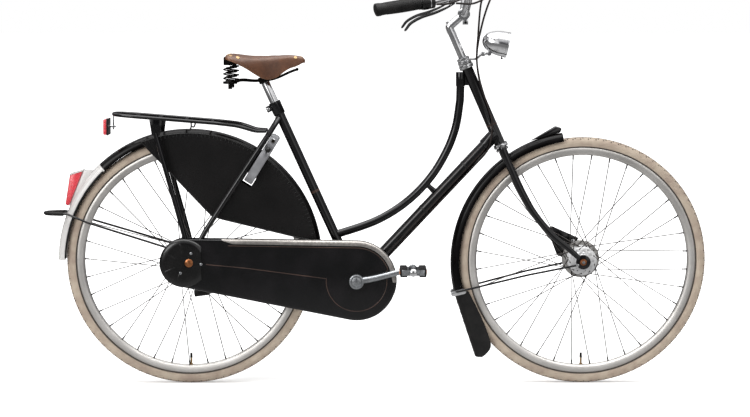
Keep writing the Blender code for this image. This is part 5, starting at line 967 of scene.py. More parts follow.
def spokes(end, axle, sizes, flanges, spoke_start):
    """Crossed spokes laced in groups of four, with their heads at the hub and nipples at the rim."""
    body = end + "_wheel"
    count = 36
    place = Matrix.Translation(axle)
    ends = spoke_lines(*flanges, spoke_start, tau / count)
    lines = bpy.data.meshes.new("spoke lines")
    lines.from_pydata(
        [p for start, stop, _ in ends for p in (start, stop)], [(0, 1), (2, 3), (4, 5), (6, 7)], []
    )
    group = bmesh.new()
    group.from_mesh(lines)
    shape = bmesh.new()
    wire = {"Radius": sizes.spoke_radius, "Sides": 10}
    shape.from_mesh(grown("wire", "spoke wires", "stainless wire", wire, group))
    nipples = bmesh.new()
    for start, stop, outward in ends:
        ball(start + xyz(0, outward * 0.0006, 0), 0.0021, (1, 0.55, 1), 10, onto=shape)
        line = (stop - start).normalized()
        rod(stop - line * 0.0125, stop + line * 0.001, 0.002, 10, rounding=0.0004, onto=nipples)
        rod(stop - line * 0.001, stop + line * 0.0008, 0.003, 10, onto=nipples)
    wires = ring_of(shape, "spokes", "stainless wire", count // 4, place)
    finished(wires, end + "_spokes", "stainless wire", body)
    finished(
        ring_of(nipples, "nipples", "blackened brass", count // 4, place), end + "_nipples",
        "blackened brass", body
    )


def flange_holes(axle, circle, radius, count, y_from, y_to):
    """Cutters for a ring of holes through a hub's flange."""
    base = cross_rod(xyz(circle, 0, 0), y_from, y_to, radius, 12)
    shape = bmesh.new()
    shape.from_mesh(ring_of(base, "holes", "oiled steel", count, Matrix.Translation(axle)))
    return shape


def hubs():
    bore = FRONT_BORE
    profile = [
        (bore, 0.0497), (0.0125, 0.0497), (0.0135, 0.0485), (0.0135, 0.04), (0.019, 0.036), (0.0205, 0.0295),
        (0.04, 0.0288), (0.0415, 0.028), (0.0415, 0.0254), (0.04, 0.0246), (0.0225, 0.0236), (0.0185, 0.02),
        (0.0178, 0.0), (0.0185, -0.02), (0.0225, -0.0236), (0.04, -0.0246), (0.0415, -0.0254),
        (0.0415, -0.028), (0.04, -0.0288), (0.0205, -0.0296), (bore, -0.0298),
    ]
    shell = spun(profile, on_wheel(FRONT_AXLE), 72, closed=True)
    holes = flange_holes(FRONT_AXLE, 0.0285, 0.005, 9, -0.034, -0.02)
    finished(shell, "front_hub_shell", "hub aluminium", "front_wheel", ("front_hub",), cutters=(holes,))
    bore = REAR_BORE
    profile = [
        (bore, 0.0447), (0.015, 0.0447), (0.0165, 0.0435), (0.0165, 0.039), (0.024, 0.036), (0.0262, 0.0325),
        (0.0375, 0.0318), (0.0385, 0.031), (0.0385, 0.029), (0.0375, 0.0282), (0.0285, 0.0276),
        (0.0262, 0.024),
        (0.0255, 0.0), (0.0262, -0.02), (0.0285, -0.0236), (0.0375, -0.0246), (0.0385, -0.0254),
        (0.0385, -0.0276), (0.0375, -0.0284), (0.0262, -0.029), (0.024, -0.0318), (bore, -0.0318),
    ]
    shell = spun(profile, on_wheel(REAR_AXLE), 72, closed=True)
    finished(shell, "rear_hub_shell", "satin aluminium", "rear_wheel", ("rear_hub",))


def brake_cover(inner):
    """The black plate over the front drum, with its three bolts."""
    corners = [
        (-0.0986, 0.087), (-0.0841, 0.0957), (-0.0058, 0.0609), (-0.0145, 0.0464), (-0.0464, 0.0),
        (-0.0696, 0.0116),
    ]
    cover = side_slab(near(FRONT_AXLE, corners), inner + 0.002, inner + 0.007)
    finished(cover, "front_brake_cover", "black enamel", "fork", bevel=0.0015)
    for i, (ahead, up) in enumerate(((-0.0225, 0.052), (-0.04, 0.004), (-0.048, 0.013))):
        place = FRONT_AXLE + xyz(ahead, 0, up)
        bolt = cross_rod(place, inner + 0.003, inner + 0.0007, 0.0062, 6, rounding=0.0004)
        finished(bolt, f"front_brake_cover_bolt_{i + 1}", "chrome plate", "fork")


def brake(end, axle, bore, reach, inner, outer, boss_to, body, hold):
    """A roller brake's drum on the left, stepped and ribbed, with the arm that keeps it from turning."""
    width = outer - inner
    profile = [
        (bore, inner), (reach * 0.8, inner), (reach * 0.985, inner + 0.0012), (reach, inner + 0.0026),
        (reach, inner + width * 0.4), (reach * 0.95, inner + width * 0.48),
        (reach * 0.86, inner + width * 0.62),
        (reach * 0.82, outer - 0.002), (reach * 0.78, outer), (0.024, outer), (0.02, outer + 0.0006),
        (0.0155, boss_to - 0.001), (0.0145, boss_to), (bore, boss_to),
    ]
    drum = spun([(r, -h) for r, h in profile], on_wheel(axle), 72, closed=True)
    finished(drum, end + "_brake_drum", "drum aluminium", body, (end + "_brake_unit",))
    arm_line = thick_line(axle + (hold - axle) * 0.2, hold, 0.0105)
    arm = side_slab(arm_line, inner + width * 0.62, inner + width * 0.9)
    finished(arm, end + "_brake_arm", "ground steel", body, bevel=0.0006)
    if end == "front":
        brake_cover(inner)
    clip = cross_rod(hold, inner + width * 0.5, inner + width * 1.1, 0.0052, 6, rounding=0.0004)
    finished(clip, end + "_brake_arm_bolt", "chrome plate", body)
    rib = block((0.01, width * 0.55, 0.0016), xyz(reach * 0.9, inner + width * 0.66, 0))
    ribs = ring_of(rib, "drum ribs", "satin aluminium", 30, Matrix.Translation(axle))
    finished(ribs, end + "_brake_ribs", "satin aluminium", body)


def brakes():
    brake("front", FRONT_AXLE, FRONT_BORE, 0.0545, 0.0303, 0.0477, 0.0497, "fork", steered(0.098, 0.03))
    hold = REAR_AXLE + (BRACKET - REAR_AXLE) * 0.24 + xyz(0, 0, -0.022)
    brake("rear", REAR_AXLE, REAR_BORE, 0.045, 0.0323, 0.0507, 0.0607, "frame", hold)


def axles():
    washer_to, nut_to = 0.0016, 0.009  # from the frame's or fork's outer face
    for end, axle, radius, half, face, body in (
        ("front", FRONT_AXLE, 0.0045, 0.067, 0.0553, "fork"),
        ("rear", REAR_AXLE, 0.005, 0.084, 0.0706, "frame"),
    ):
        bar = cross_rod(axle, -half, half, radius, 24, rounding=0.0008)
        finished(bar, end + "_axle_bar", "ground steel", body, (end + "_axle",))
        for name, side in SIDES:
            metal = "copper-plated steel" if end == "front" and side < 0 else "chrome plate"
            washer = cross_rod(axle, side * face, side * (face + washer_to), 0.0098, 32, rounding=0.0004)
            finished(washer, f"{end}_axle_washer_{name}", metal, body)
            nut = cross_rod(axle, side * (face + washer_to), side * (face + nut_to), 0.0086, 6)
            finished(nut, f"{end}_axle_nut_{name}", metal, body, bevel=0.0008)


# Frame and fork
def top_tube():
    """The curved tube from its sleeve under the head to the seat tube, and the strut up to it."""
    top = steered(HEAD_TOP - 0.0043, -0.0218) + xyz(0, 0, -0.04 - GAP)
    foot = SEAT_FOOT + SEAT_LINE * 0.1386
    run = foot - top
    sag = xyz(run.z, 0, -run.x).normalized() * -run.length
    bend = [
        (0.0556, 0.0446), (0.1458, 0.101), (0.2106, 0.132), (0.2957, 0.1603), (0.4143, 0.1822),
        (0.5375, 0.1844), (0.6586, 0.1666), (0.7731, 0.1303), (0.8696, 0.0818),
    ]
    points = [top, *smooth([*(top + run * along + sag * out for along, out in bend), foot], 6)]
    points[-1] = points[-1] + (points[-2] - points[-1]).normalized() * 0.01
    finished(tube(points, 0.0117, 32), "top_tube_curve", "black enamel", "frame", ("top_tube",))
    strut_top = top + run * 0.4957 + sag * 0.1851
    strut_foot = DOWN_START + DOWN_LINE * (strut_top - DOWN_START).dot(DOWN_LINE)
    strut_foot += (strut_top - strut_foot).normalized() * 0.0155
    strut = tube([strut_foot, (strut_foot + strut_top) / 2, strut_top], 0.007, 20, (1.25, 1.0, 1.25))
    finished(strut, "frame_strut_bar", "black enamel", "frame")


def straight_tubes():
    """The down tube, head tube and seat tube, with the seat tube's collar and clamp."""
    socket_end = DOWN_START + DOWN_LINE * (0.0157 + 0.032)
    down = rod(socket_end + DOWN_LINE * GAP, DOWN_FOOT + DOWN_LINE * -0.019, DOWN_TUBE_RADIUS, 40)
    finished(down, "down_tube_bar", "black enamel", "frame", ("down_tube",))
    dressed("head_tube", "black enamel", bevel=0.0012)
    seat_top = SEAT_FOOT + SEAT_LINE * 0.561
    collar_length = 0.0385
    collar_foot = seat_top - SEAT_LINE * collar_length
    seat = rod(SEAT_FOOT + SEAT_LINE * 0.018, collar_foot, 0.0138, 40)
    finished(seat, "seat_tube_bar", "black enamel", "frame", ("seat_tube",))
    profile = [
        (0.0129, 0.0), (0.0129, collar_length), (0.0168, collar_length), (0.0176, 0.0375), (0.0176, 0.03),
        (0.0172, 0.0285), (0.0172, 0.003), (0.016, 0.0), (0.0141, -0.0015),
    ]
    lug = spun(profile, along_line(collar_foot, seat_top), 40, closed=True)
    finished(lug, "seat_lug_collar", "black enamel", "frame")
    ear_place = seat_top - SEAT_LINE * 0.012 - SEAT_AHEAD * 0.0215
    for name, side in SIDES:
        ear = block((0.016, 0.0085, 0.018), ear_place + SIDE * side * 0.0056, turned_to(SEAT_LINE))
        finished(ear, "clamp_ear_" + name, "black enamel", "frame", bevel=0.0018)
    dressed("seat_clamp_bolt", "chrome plate", bevel=0.0005)


def head_rings():
    radius, bore, height = 0.021, 0.0206, 0.01
    rising = [
        (radius - 0.0045, 0.0), (radius - 0.001, 0.0), (radius, 0.0012), (radius, 0.0052),
        (radius - 0.0012, 0.0064),
        (radius - 0.003, 0.0078), (radius - 0.0038, height),
    ]
    hanging = [(r, height - h) for r, h in rising]
    for name, low, profile in (
        ("head_ring_lower", HEAD_BOTTOM - 0.0088, rising), ("head_ring_upper", HEAD_TOP - 0.0012, hanging),
    ):
        inside = [(bore, profile[-1][1]), (bore, profile[0][1])]
        outside = [(max(r, bore + 0.0001), h) for r, h in profile]
        cup = spun(outside + inside, along_line(steered(low), steered(low + height)), 48, closed=True)
        finished(cup, name, "chrome plate", "frame")


def frame_tubes():
    top_tube()
    straight_tubes()
    dressed("chain_stays", "black enamel", bevel=0.0006, angle=46)
    dressed("seat_stays", "black enamel", angle=46)
    head_rings()


def transfers():
    """Fine painted lines and bands, plain and unlettered."""
    out = xyz(DOWN_LINE.z, 0, -DOWN_LINE.x)
    length = (DOWN_FOOT - DOWN_START).length
    start, end = 0.095, 0.92
    for name, side in SIDES:
        for label, lean in (("upper", 0.52), ("lower", -0.52)):
            across = SIDE * side * cos(lean) + out * sin(lean)
            paint = across * (DOWN_TUBE_RADIUS + 0.00005)
            line = [DOWN_START + DOWN_LINE * length * t + paint for t in (start, (start + end) / 2, end)]
            strip = tube(line, 0.0006, 8, flat=0.45, across=across.cross(DOWN_LINE))
            finished(strip, f"down_tube_line_{label}_{name}", "gold transfer", "frame")
    for name, low, high, radius in (
        ("seat_tube_band", SEAT_FOOT + SEAT_LINE * 0.2745, SEAT_FOOT + SEAT_LINE * 0.2815, 0.01392),
        ("head_tube_band", steered(HEAD_BOTTOM + 0.06), steered(HEAD_BOTTOM + 0.065), 0.01582),
    ):
        run = (high - low).length
        profile = [(radius, 0), (radius + 0.0001, run * 0.3), (radius + 0.0001, run * 0.7), (radius, run)]
        inner = [(radius - 0.0002, run), (radius - 0.0002, 0)]
        finished(
            spun(profile + inner, along_line(low, high), 48, closed=True), name, "gold transfer", "frame"
        )


def fork_blade(name, side):
    """One blade with its end, where the axle sits."""
    crown_y, tip_y = 0.042, 0.0525
    radius, tip_radius = 0.0115, 0.0075
    route = [
        steered(0.392, 0, side * crown_y), steered(0.292, 0, side * crown_y),
        steered(0.234, 0.003, side * (crown_y + 0.001)), steered(0.182, 0.01, side * (crown_y + 0.003)),
        steered(0.107, 0.032, side * (crown_y + 0.007)), steered(0.0506, 0.0605, side * tip_y),
        steered(0.017, FORK_RAKE - 0.0072, side * tip_y),
    ]
    points = smooth(route, 7)
    last = len(points) - 1
    taper = [1 - (1 - tip_radius / radius) * (i / last) ** 1.3 for i in range(last + 1)]
    finished(tube(points, radius, 28, taper, ends="round"), "fork_blade_" + name, "black enamel", "fork")
    plate = cross_rod(FRONT_AXLE, side * (FORK_FACE - 0.005), side * FORK_FACE, 0.021, 48, rounding=0.0012)
    hole = cross_rod(FRONT_AXLE, -0.1, 0.1, 0.005, 24)
    finished(plate, "fork_end_" + name, "black enamel", "fork", cutters=(hole,))


def fork():
    crown_place = steered(0.384)
    crown_line = [crown_place + SIDE * y for y in (-0.044, -0.03, 0, 0.03, 0.044)]
    crown = tube(crown_line, 0.01, 28, (0.92, 1.0, 1.12, 1.0, 0.92), ends="round")
    finished(crown, "fork_crown", "black enamel", "fork", ("fork",))
    for name, side in SIDES:
        fork_blade(name, side)
    profile = [
        (STEERER_RADIUS, 0.0), (0.0185, 0.0), (0.0185, 0.0045), (0.015, 0.0085), (STEERER_RADIUS, 0.009)
    ]
    top = HEAD_BOTTOM - 0.009 - GAP
    race = spun(profile, along_line(steered(top - 0.0092), steered(top)), 40, closed=True)
    finished(race, "crown_race", "chrome plate", "fork")
    steerer = rod(crown_place, steered(STEERER_TOP), STEERER_RADIUS, 32)
    inside = rod(steered(STEERER_TOP - 0.09), steered(STEERER_TOP + 0.02), STEERER_RADIUS - 0.0012, 32)
    finished(steerer, "steerer_tube", "ground steel", "fork", cutters=(inside,))
    tab_end = FRONT_GUARD_CENTRE + (
        crown_place - FRONT_GUARD_CENTRE
    ).normalized() * (FRONT_GUARD_RADIUS + GAP)
    finished(rod(tab_end, crown_place, 0.006, 20), "guard_tab", "black enamel", "fork")


# Guards and their stays
def guard_section(radius, wall=0.0012, half=GUARD_WIDTH / 2):
    """A mudguard's section: a round back, straight skirts and rolled edges."""
    outer = [(radius - 0.0245, half), (radius - 0.02, half * 0.99), (radius - 0.0125, half * 0.955)]
    outer += [(radius - 0.007, half * 0.84), (radius - 0.003, half * 0.62), (radius - 0.0009, half * 0.34)]
    outer = both_ways(outer + [(radius, 0.0)])
    inner = [(r - wall * 0.9, h * (1 - wall / half)) for r, h in outer]
    inner[0] = (outer[0][0] + 0.0002, outer[0][1] - 0.0022)
    inner[-1] = (outer[-1][0] + 0.0002, outer[-1][1] + 0.0022)
    return outer + list(reversed(inner))


def rear_guard():
    """The black shell, its white tail with a dark band of painted shade along its inner edges, and the body
    of the light on it.
    """
    start, split, end = radians(-2.5), radians(132.7), radians(179.5)
    shell = spun(guard_section(GUARD_RADIUS), on_wheel(REAR_AXLE), 90, start, split, closed=True)
    finished(shell, "rear_guard_shell", "guard enamel", "frame", ("rear_mudguard",))
    tail_start = split + GAP / GUARD_RADIUS
    tail = spun(guard_section(GUARD_RADIUS, 0.002), on_wheel(REAR_AXLE), 36, tail_start, end, closed=True)
    finished(tail, "rear_guard_tail_shell", "white enamel", "frame", ("rear_mudguard_tail",))
    begin, span = split + 0.02, end - split - 0.04
    # painted shade: a dark band along each inner edge of the white tail, where the shade between tail and
    # tyre falls
    for name, side in SIDES:
        line = [
            polar(
                REAR_AXLE, begin + span * k / 48, GUARD_RADIUS - 0.0235, side * GUARD_WIDTH / 2
            ) for k in range(49)
        ]
        edge = tube(line, 0.0028, 12, ends="round")
        finished(edge, "rear_guard_tail_edge_" + name, "black rubber", "frame")
    face = [(corner.x + GAP, corner.z) for corner in (LIGHT_TOP, LIGHT_FOOT)]
    outline = near(REAR_AXLE, [(-0.276, 0.262)]) + face + near(REAR_AXLE, [(-0.347, 0.1505)])
    finished(side_slab(outline, -0.016, 0.016), "light_fairing", "white enamel", "frame", bevel=0.003)


def front_guard():
    section = guard_section(FRONT_GUARD_RADIUS)
    shell = spun(section, on_wheel(FRONT_GUARD_CENTRE), 64, radians(98.9), FRONT_GUARD_END, closed=True)
    finished(shell, "front_guard_shell", "guard enamel", "fork", ("front_mudguard",))
    corners = [
        polar(FRONT_AXLE, radians(a), r) for a,
        r in ((113.5, 0.378), (100, 0.376), (99, 0.388), (101.5, 0.397))
    ]
    fin = side_slab([(p.x, p.z) for p in corners], -0.01, 0.01)
    finished(fin, "guard_fin", "black enamel", "fork", bevel=0.0035)


def mudflap():
    """The rubber flap below the front guard, ribbed along its length and flared at its foot."""
    top = polar(FRONT_GUARD_CENTRE, FRONT_GUARD_END + 1.5 * GAP / FRONT_GUARD_RADIUS, FRONT_GUARD_RADIUS)
    slope = sin(FRONT_GUARD_END - pi) / cos(FRONT_GUARD_END - pi)
    drop = xyz(0.061, 0, -0.183)
    across = both_ways(
        [(1, -1), (0.7, -0.99), (0.45, -0.96), (0.2, -0.84), (0.08, -0.62), (0.02, -0.3), (0, 0)]
    )
    rows = []
    steps = 26
    for i in range(steps + 1):
        t = i / steps
        deep = 0.04 + 0.018 * sin(min(t / 0.72, 1) * pi / 2) - 0.038 * max(0, (t - 0.78) / 0.22) ** 2
        half = GUARD_WIDTH / 2 + 0.006 * t
        rise = slope * (1 - t)
        rib = 0.0007 if i % 4 == 0 and 1 < i < steps - 2 else 0.0
        rows.append([
            top + drop * t + xyz(inwards * deep - rib, out * (half + rib), inwards * deep * rise)
            for inwards, out in across
        ])
    wall = walled(open_sheet(rows, 0, -SIDE), "mudflap_wall", 0.0022, -1.0)
    finished(wall, "mudflap_rubber", "black rubber", "fork", ("mudflap",), angle=50)


def front_stay(inside, eye):
    """The wire round the front guard's end, with two bright clips."""
    back = polar(FRONT_GUARD_CENTRE, radians(193.0), FRONT_GUARD_RADIUS + GAP + STAY_WIRE)
    edge = GUARD_WIDTH / 2 + 0.0045
    half_route = [
        eye + SIDE * inside, FRONT_AXLE + xyz(-0.16, 0.048, -0.038), back + xyz(0.05, edge, 0.012),
        back + xyz(0.015, edge, 0.004), back + xyz(0.0025, GUARD_WIDTH * 0.36, 0.0), back,
    ]
    wire = tube(mirrored(half_route), 0.0031, 16, ends="round")
    finished(wire, "front_guard_wire", "black enamel", "fork", ("front_mudguard_stay",))
    ends = [
        polar(FRONT_GUARD_CENTRE, radians(193.5), FRONT_GUARD_RADIUS + reach) for reach in (0.002, -0.028)
    ]
    for name, low in (("right", -GUARD_WIDTH / 2 - 0.0026), ("left", GUARD_WIDTH / 2 + 0.001)):
        clip = side_slab(thick_line(*ends, 0.0075), low, low + 0.0016)
        finished(clip, "front_guard_clip_" + name, "chrome plate", "fork", bevel=0.0005)


def rear_stay(outside, eye):
    """The wire hoop behind the rear guard, level with its rubber sleeve, and its tie."""
    rise = 0.138
    loop_z = REAR_AXLE.z + rise
    corner = xyz(REAR_AXLE.x - 0.35, 0, loop_z)
    rear_x = REAR_AXLE.x - 0.4184
    half_route = [
        eye + xyz(0.004, outside, -0.002), eye + xyz(-0.008, outside, 0.004),
        corner + xyz(0.06, 0.05, -0.024), corner + xyz(0, 0.042, 0), xyz(corner.x - 0.015, 0.038, loop_z),
        xyz(rear_x + 0.022, 0.028, loop_z), xyz(rear_x + 0.006, 0.017, loop_z), xyz(rear_x, 0, loop_z),
    ]
    hoop = tube(mirrored(half_route), 0.0032, 16, ends="round")
    finished(hoop, "rear_guard_wire", "black enamel", "frame", ("rear_mudguard_stay",))
    sleeve = tube(mirrored(smooth(half_route[4:], 4)), 0.0056, 20, ends="round")
    finished(sleeve, "hoop_sleeve", "black rubber", "frame")
    lift = atan2(rise, -sqrt(GUARD_RADIUS**2 - rise**2))
    tie = cross_rod(
        polar(REAR_AXLE, lift, GUARD_RADIUS + GAP + STAY_WIRE), -0.041, 0.041, STAY_WIRE, 16, 0.0008
    )
    finished(tie, "hoop_tie", "black enamel", "frame")


def guard_stays():
    inside, outside = FORK_FACE + GAP + STAY_WIRE, DROPOUT_FACE + GAP + STAY_WIRE
    front_eye = FRONT_AXLE + xyz(-0.017, 0, -0.008)
    rear_eye = REAR_AXLE + xyz(-0.026, 0, 0.0315)
    front_stay(inside, front_eye)
    rear_stay(outside, rear_eye)
    for name, side in SIDES:
        place = rear_eye + xyz(-0.002, 0, 0.001)
        screw = cross_rod(place, side * (outside + 0.0025), side * (outside + 0.006), 0.0048, 24, 0.0012)
        finished(screw, "rear_wire_screw_" + name, "chrome plate", "frame")
        screw = cross_rod(front_eye, side * (inside + 0.0022), side * (inside + 0.005), 0.004, 24, 0.001)
        finished(screw, "front_wire_screw_" + name, "chrome plate", "fork")


# Carrier and rear lights
def carrier_rail():
    """The looped rail with the bar that joins it to the stays, and its cross bars."""
    radius = 0.005
    meet = on_stays(0.436, -(SEAT_STAY_RADIUS + radius + GAP))
    steps = [
        (0.191, 0.3785, 0.054), (0.162, 0.3875, 0.066), (0.134, 0.3945, 0.072), (0.0765, 0.4014, 0.072),
        (-0.155, 0.4202, 0.072), (-0.192, 0.4231, 0.062), (-0.212, 0.4246, 0.038),
    ]
    half_route = [
        meet + SIDE * 0.042, *(REAR_AXLE + xyz(ahead, out, up) for ahead, up, out in steps), CARRIER_REAR
    ]
    rail = tube(mirrored(smooth(half_route[:5], 4) + smooth(half_route[5:], 5)), radius, 20)
    cross_rod(meet, -0.046, 0.046, 0.0049, 20, rounding=0.001, onto=rail)
    finished(rail, "carrier_rail", "black enamel", "frame", ("rear_rack",))
    bars = bmesh.new()
    for along in (0.065, -0.01, -0.085, -0.15):
        place = REAR_AXLE + xyz(along, 0, 0.4014 + (0.0765 - along) * 0.0812)
        cross_rod(place, -0.07, 0.07, 0.0035, 16, onto=bars)
    finished(bars, "carrier_bars", "black enamel", "frame")


def carrier_leg(name, side):
    """A leg from the axle to the rail, its eye and gusset, and the hook above it."""
    rail_y = 0.072
    face = DROPOUT_FACE + GAP
    foot = REAR_AXLE + xyz(0, side * (face + 0.0032), 0.008)
    knee = REAR_AXLE + xyz(-0.01, side * 0.065, 0.07)
    top = REAR_AXLE + xyz(-0.0925, side * rail_y, 0.374)
    leg = tube(smooth([foot, knee, top], 8), 0.0072, 20, [0.36 + 0.64 * min(1, i / 8) for i in range(17)])
    finished(leg, "carrier_leg_" + name, "black enamel", "frame")
    eye = cross_rod(REAR_AXLE, side * face, side * (face + 0.004), 0.0125, 40, rounding=0.0008)
    hole = cross_rod(REAR_AXLE, -0.1, 0.1, REAR_BORE, 20)
    finished(eye, "carrier_eye_" + name, "black enamel", "frame", cutters=(hole,))
    gusset = near(REAR_AXLE, [(-0.11, 0.417), (-0.073, 0.414), (-0.079, 0.366), (-0.102, 0.366)])
    plate = side_slab(gusset, side * (rail_y - 0.003), side * (rail_y + 0.003))
    finished(plate, "carrier_gusset_" + name, "black enamel", "frame", bevel=0.0018)
    hook_top = REAR_AXLE + xyz(0.0105, side * rail_y, 0.4015)
    steps = ((0.0, 0.0, 0.0), (0.0, 0.003, -0.01), (-0.004, 0.004, -0.019), (-0.01, 0.004, -0.018))
    line = smooth([hook_top + xyz(ahead, side * out, up) for ahead, out, up in steps], 5)
    finished(tube(line, 0.0022, 12, ends="round"), "carrier_hook_" + name, "black enamel", "frame")


def rear_reflector():
    arm = block((0.0028, 0.014, 0.04), CARRIER_REAR + xyz(-0.001, 0, -0.025 - GAP))
    finished(arm, "reflector_arm", "ground steel", "frame", bevel=0.0006)
    lens = block((0.01, 0.074, 0.044), CARRIER_REAR + xyz(-0.022, 0, -0.037))
    finished(lens, "reflector_lens", "red lens", "frame", ("rear_reflector",), bevel=0.0028)
    shell = block((0.004, 0.078, 0.048), CARRIER_REAR + xyz(-0.0155, 0, -0.037))
    finished(shell, "reflector_back", "moulded plastic", "frame", bevel=0.0016)
    middle = CARRIER_REAR + xyz(0, 0, -0.036)
    stud = rod(middle + xyz(-0.016, 0, 0), middle + xyz(0.006, 0, 0), 0.0035, 16, rounding=0.0006)
    finished(stud, "reflector_stud", "chrome plate", "frame")


def tail_light():
    outline = near(LIGHT_TOP, [(0, 0), (-0.0375, -0.011)]) + near(LIGHT_FOOT, [(-0.0105, 0.0035), (0, 0)])
    lens = side_slab(outline, -0.0225, 0.0225)
    finished(lens, "tail_light_lens", "red lens", "frame", ("tail_light",), bevel=0.0045)
    shade = near(LIGHT_TOP, [(0.0006, 0.0024), (-0.0385, -0.009), (-0.038, -0.0125), (0.0004, -0.0008)])
    finished(side_slab(shade, -0.0232, 0.0232), "tail_light_hood", "white enamel", "frame", bevel=0.0008)


# Chain case, cranks and pedals
def case_ring(inset, y):
    outline = hull_of_circles(CASE_REAR, CASE_REAR_RADIUS - inset, BRACKET, CASE_FRONT_RADIUS - inset)
    return [xyz(x, y, z) for x, z in outline]


def case_edge(start_x, end_angle):
    """Points and outward directions along the case's upper edge and round its front."""
    run = BRACKET - CASE_REAR
    lean = atan2(run.z, run.x) + acos((CASE_REAR_RADIUS - CASE_FRONT_RADIUS) / run.length)
    way = xyz(cos(lean), 0, sin(lean))
    rear = CASE_REAR + way * CASE_REAR_RADIUS
    front = BRACKET + way * CASE_FRONT_RADIUS
    first = rear + (front - rear) * ((start_x - rear.x) / (front.x - rear.x))
    path = [(first + (front - first) * k / 12, way) for k in range(12)]
    for k in range(25):
        angle = lean + (end_angle - lean) * k / 24
        way = xyz(cos(angle), 0, sin(angle))
        path.append((BRACKET + way * CASE_FRONT_RADIUS, way))
    return path


def case_shell():
    """The case's outer half: hollow, with round openings for the crank and the axle's nut."""
    y = -CASE_OUTER_Y
    layers = [
        (0.0, -0.0366), (0.0, y + 0.006), (0.0004, y + 0.0038), (0.0014, y + 0.0019), (0.003, y + 0.0006),
        (0.0052, y + 0.0001), (0.008, y),
    ]
    shape = layered([case_ring(inset, deep) for inset, deep in layers])
    hollow = layered([case_ring(0.002, -0.02), case_ring(0.002, y + 0.005), case_ring(0.006, y + 0.002)])
    crank_hole = cross_rod(BRACKET, -0.1, -0.03, 0.015, 48)
    nut_hole = cross_rod(REAR_AXLE, -0.1, -0.03, 0.012, 32)
    outer_band = arc_points(REAR_AXLE, 0.095, radians(18), radians(158), 10)
    inner_band = arc_points(REAR_AXLE, 0.052, radians(158), radians(18), 10)
    window = side_slab(outer_band + inner_band, y + 0.002, 0.0)
    finished(
        shape, "chain_case_shell", "black enamel", "frame", ("chain_case_outer",), angle=50,
        cutters=(hollow, crank_hole, nut_hole, window),
    )
    dressed("chain_case_inner", "black enamel", bevel=0.0005)


def case_trim():
    """The bright strip along the case's upper edge, and the seam beside it."""
    y = -CASE_OUTER_Y
    section = [
        (0.0002, -0.056), (0.0011, -0.0562), (0.0012, y + 0.005), (0.0006, y + 0.0026), (-0.001, y + 0.0006),
        (-0.0034, y - 0.0006), (-0.006, y - 0.001), (-0.0118, y - 0.0011), (-0.0128, y - 0.0008),
        (-0.0129, y - 0.0001), (-0.006, y - 0.0001), (-0.003, y + 0.0004), (0.0002, y + 0.0042),
    ]
    rows = []
    path = case_edge(-0.438, radians(-2))
    for i, (point, way) in enumerate(path):
        slim = min(1.0, 0.25 + i, 0.75 + (len(path) - 1 - i) / 8)
        rows.append(
            [
                point + way * (reach * slim if reach < -0.004 else reach) + SIDE * deep for reach,
                deep in section
            ]
        )
    finished(layered(rows), "chain_case_trim", "bright trim", "frame", angle=50)
    seam = [point + way * 0.0006 + SIDE * -0.0555 for point, way in case_edge(-0.53, radians(-20))]
    finished(tube(seam, 0.0011, 10), "chain_case_seam", "black enamel", "frame")


def case_lines():
    """The fine painted lines on the case's face."""
    face = -CASE_OUTER_Y - 0.0002
    joint = polar(BRACKET, radians(175), 0.0866, face)
    line = [xyz(-0.4839, face, 0.354), xyz(-0.3701, face, 0.3434), joint]
    arc = [polar(BRACKET, radians(175 + 5 * k), 0.087, face) for k in range(41)]
    inner = [point + way * -0.018 + SIDE * face for point, way in reversed(case_edge(-0.42, radians(22)))]
    for name, points in (("chain_case_line_rear", line), ("chain_case_line_ring", arc + inner)):
        strip = tube(points, 0.0011, 8, flat=0.22, across=UP.cross(SIDE))
        finished(strip, name, "gold transfer", "frame")


def case_cap():
    """The glossy round cap at the case's rear end, with ribs, bolts and a plain copper disc."""
    front, depth = CASE_OUTER_Y + GAP, CASE_CAP_DEPTH
    profile = [
        (0.0, front + depth * 0.85), (0.034, front + depth), (0.054, front + depth),
        (0.06, front + depth * 0.93),
        (0.065, front + depth * 0.72), (0.0685, front + depth * 0.44), (0.0699, front + depth * 0.15),
        (0.07, front), (0.0, front),
    ]
    cap = spun(profile, on_wheel(CASE_REAR), 96)
    trim = block((0.08, 0.05, 0.2), REAR_AXLE + xyz(0.077, -front, 0))
    hole = cross_rod(REAR_AXLE, -0.1, -0.07, 0.012, 32)
    finished(cap, "chain_case_cap", "glossy plastic", "frame", ("chain_case_rear_cap",), cutters=(trim, hole))
    ribs = bmesh.new()
    for way, length in ((150, 0.034), (205, 0.032), (250, 0.03), (100, 0.028)):
        middle = polar(CASE_REAR, radians(way), 0.044, -front - depth * 0.98)
        block((length, 0.0026, 0.0044), middle, Matrix.Rotation(-radians(way), 4, "Y"), onto=ribs)
    finished(ribs, "chain_case_cap_ribs", "glossy plastic", "frame", bevel=0.0012)
    y = -front - depth * 0.96
    for i, (x, z) in enumerate(((-0.5255, 0.387), (-0.497, 0.3558), (-0.556, 0.33))):
        bolt = cross_rod(xyz(x, y, z), y, y - 0.003, 0.0042, 24, rounding=0.001)
        slot = block((0.009, 0.0012, 0.0009), xyz(x, y - 0.0028, z))
        finished(bolt, f"chain_case_bolt_{i + 1}", "ground steel", "frame", cutters=(slot,))
    face = front + depth
    profile = [
        (0.0, face + 0.002), (0.01, face + 0.002), (0.0118, face + 0.0008), (0.012, front + depth * 0.8),
        (0.0, front + depth * 0.8),
    ]
    disc = spun(profile, on_wheel(xyz(-0.532, 0, 0.359)), 48)
    finished(disc, "chain_case_hub_cap", "copper-plated steel", "frame")


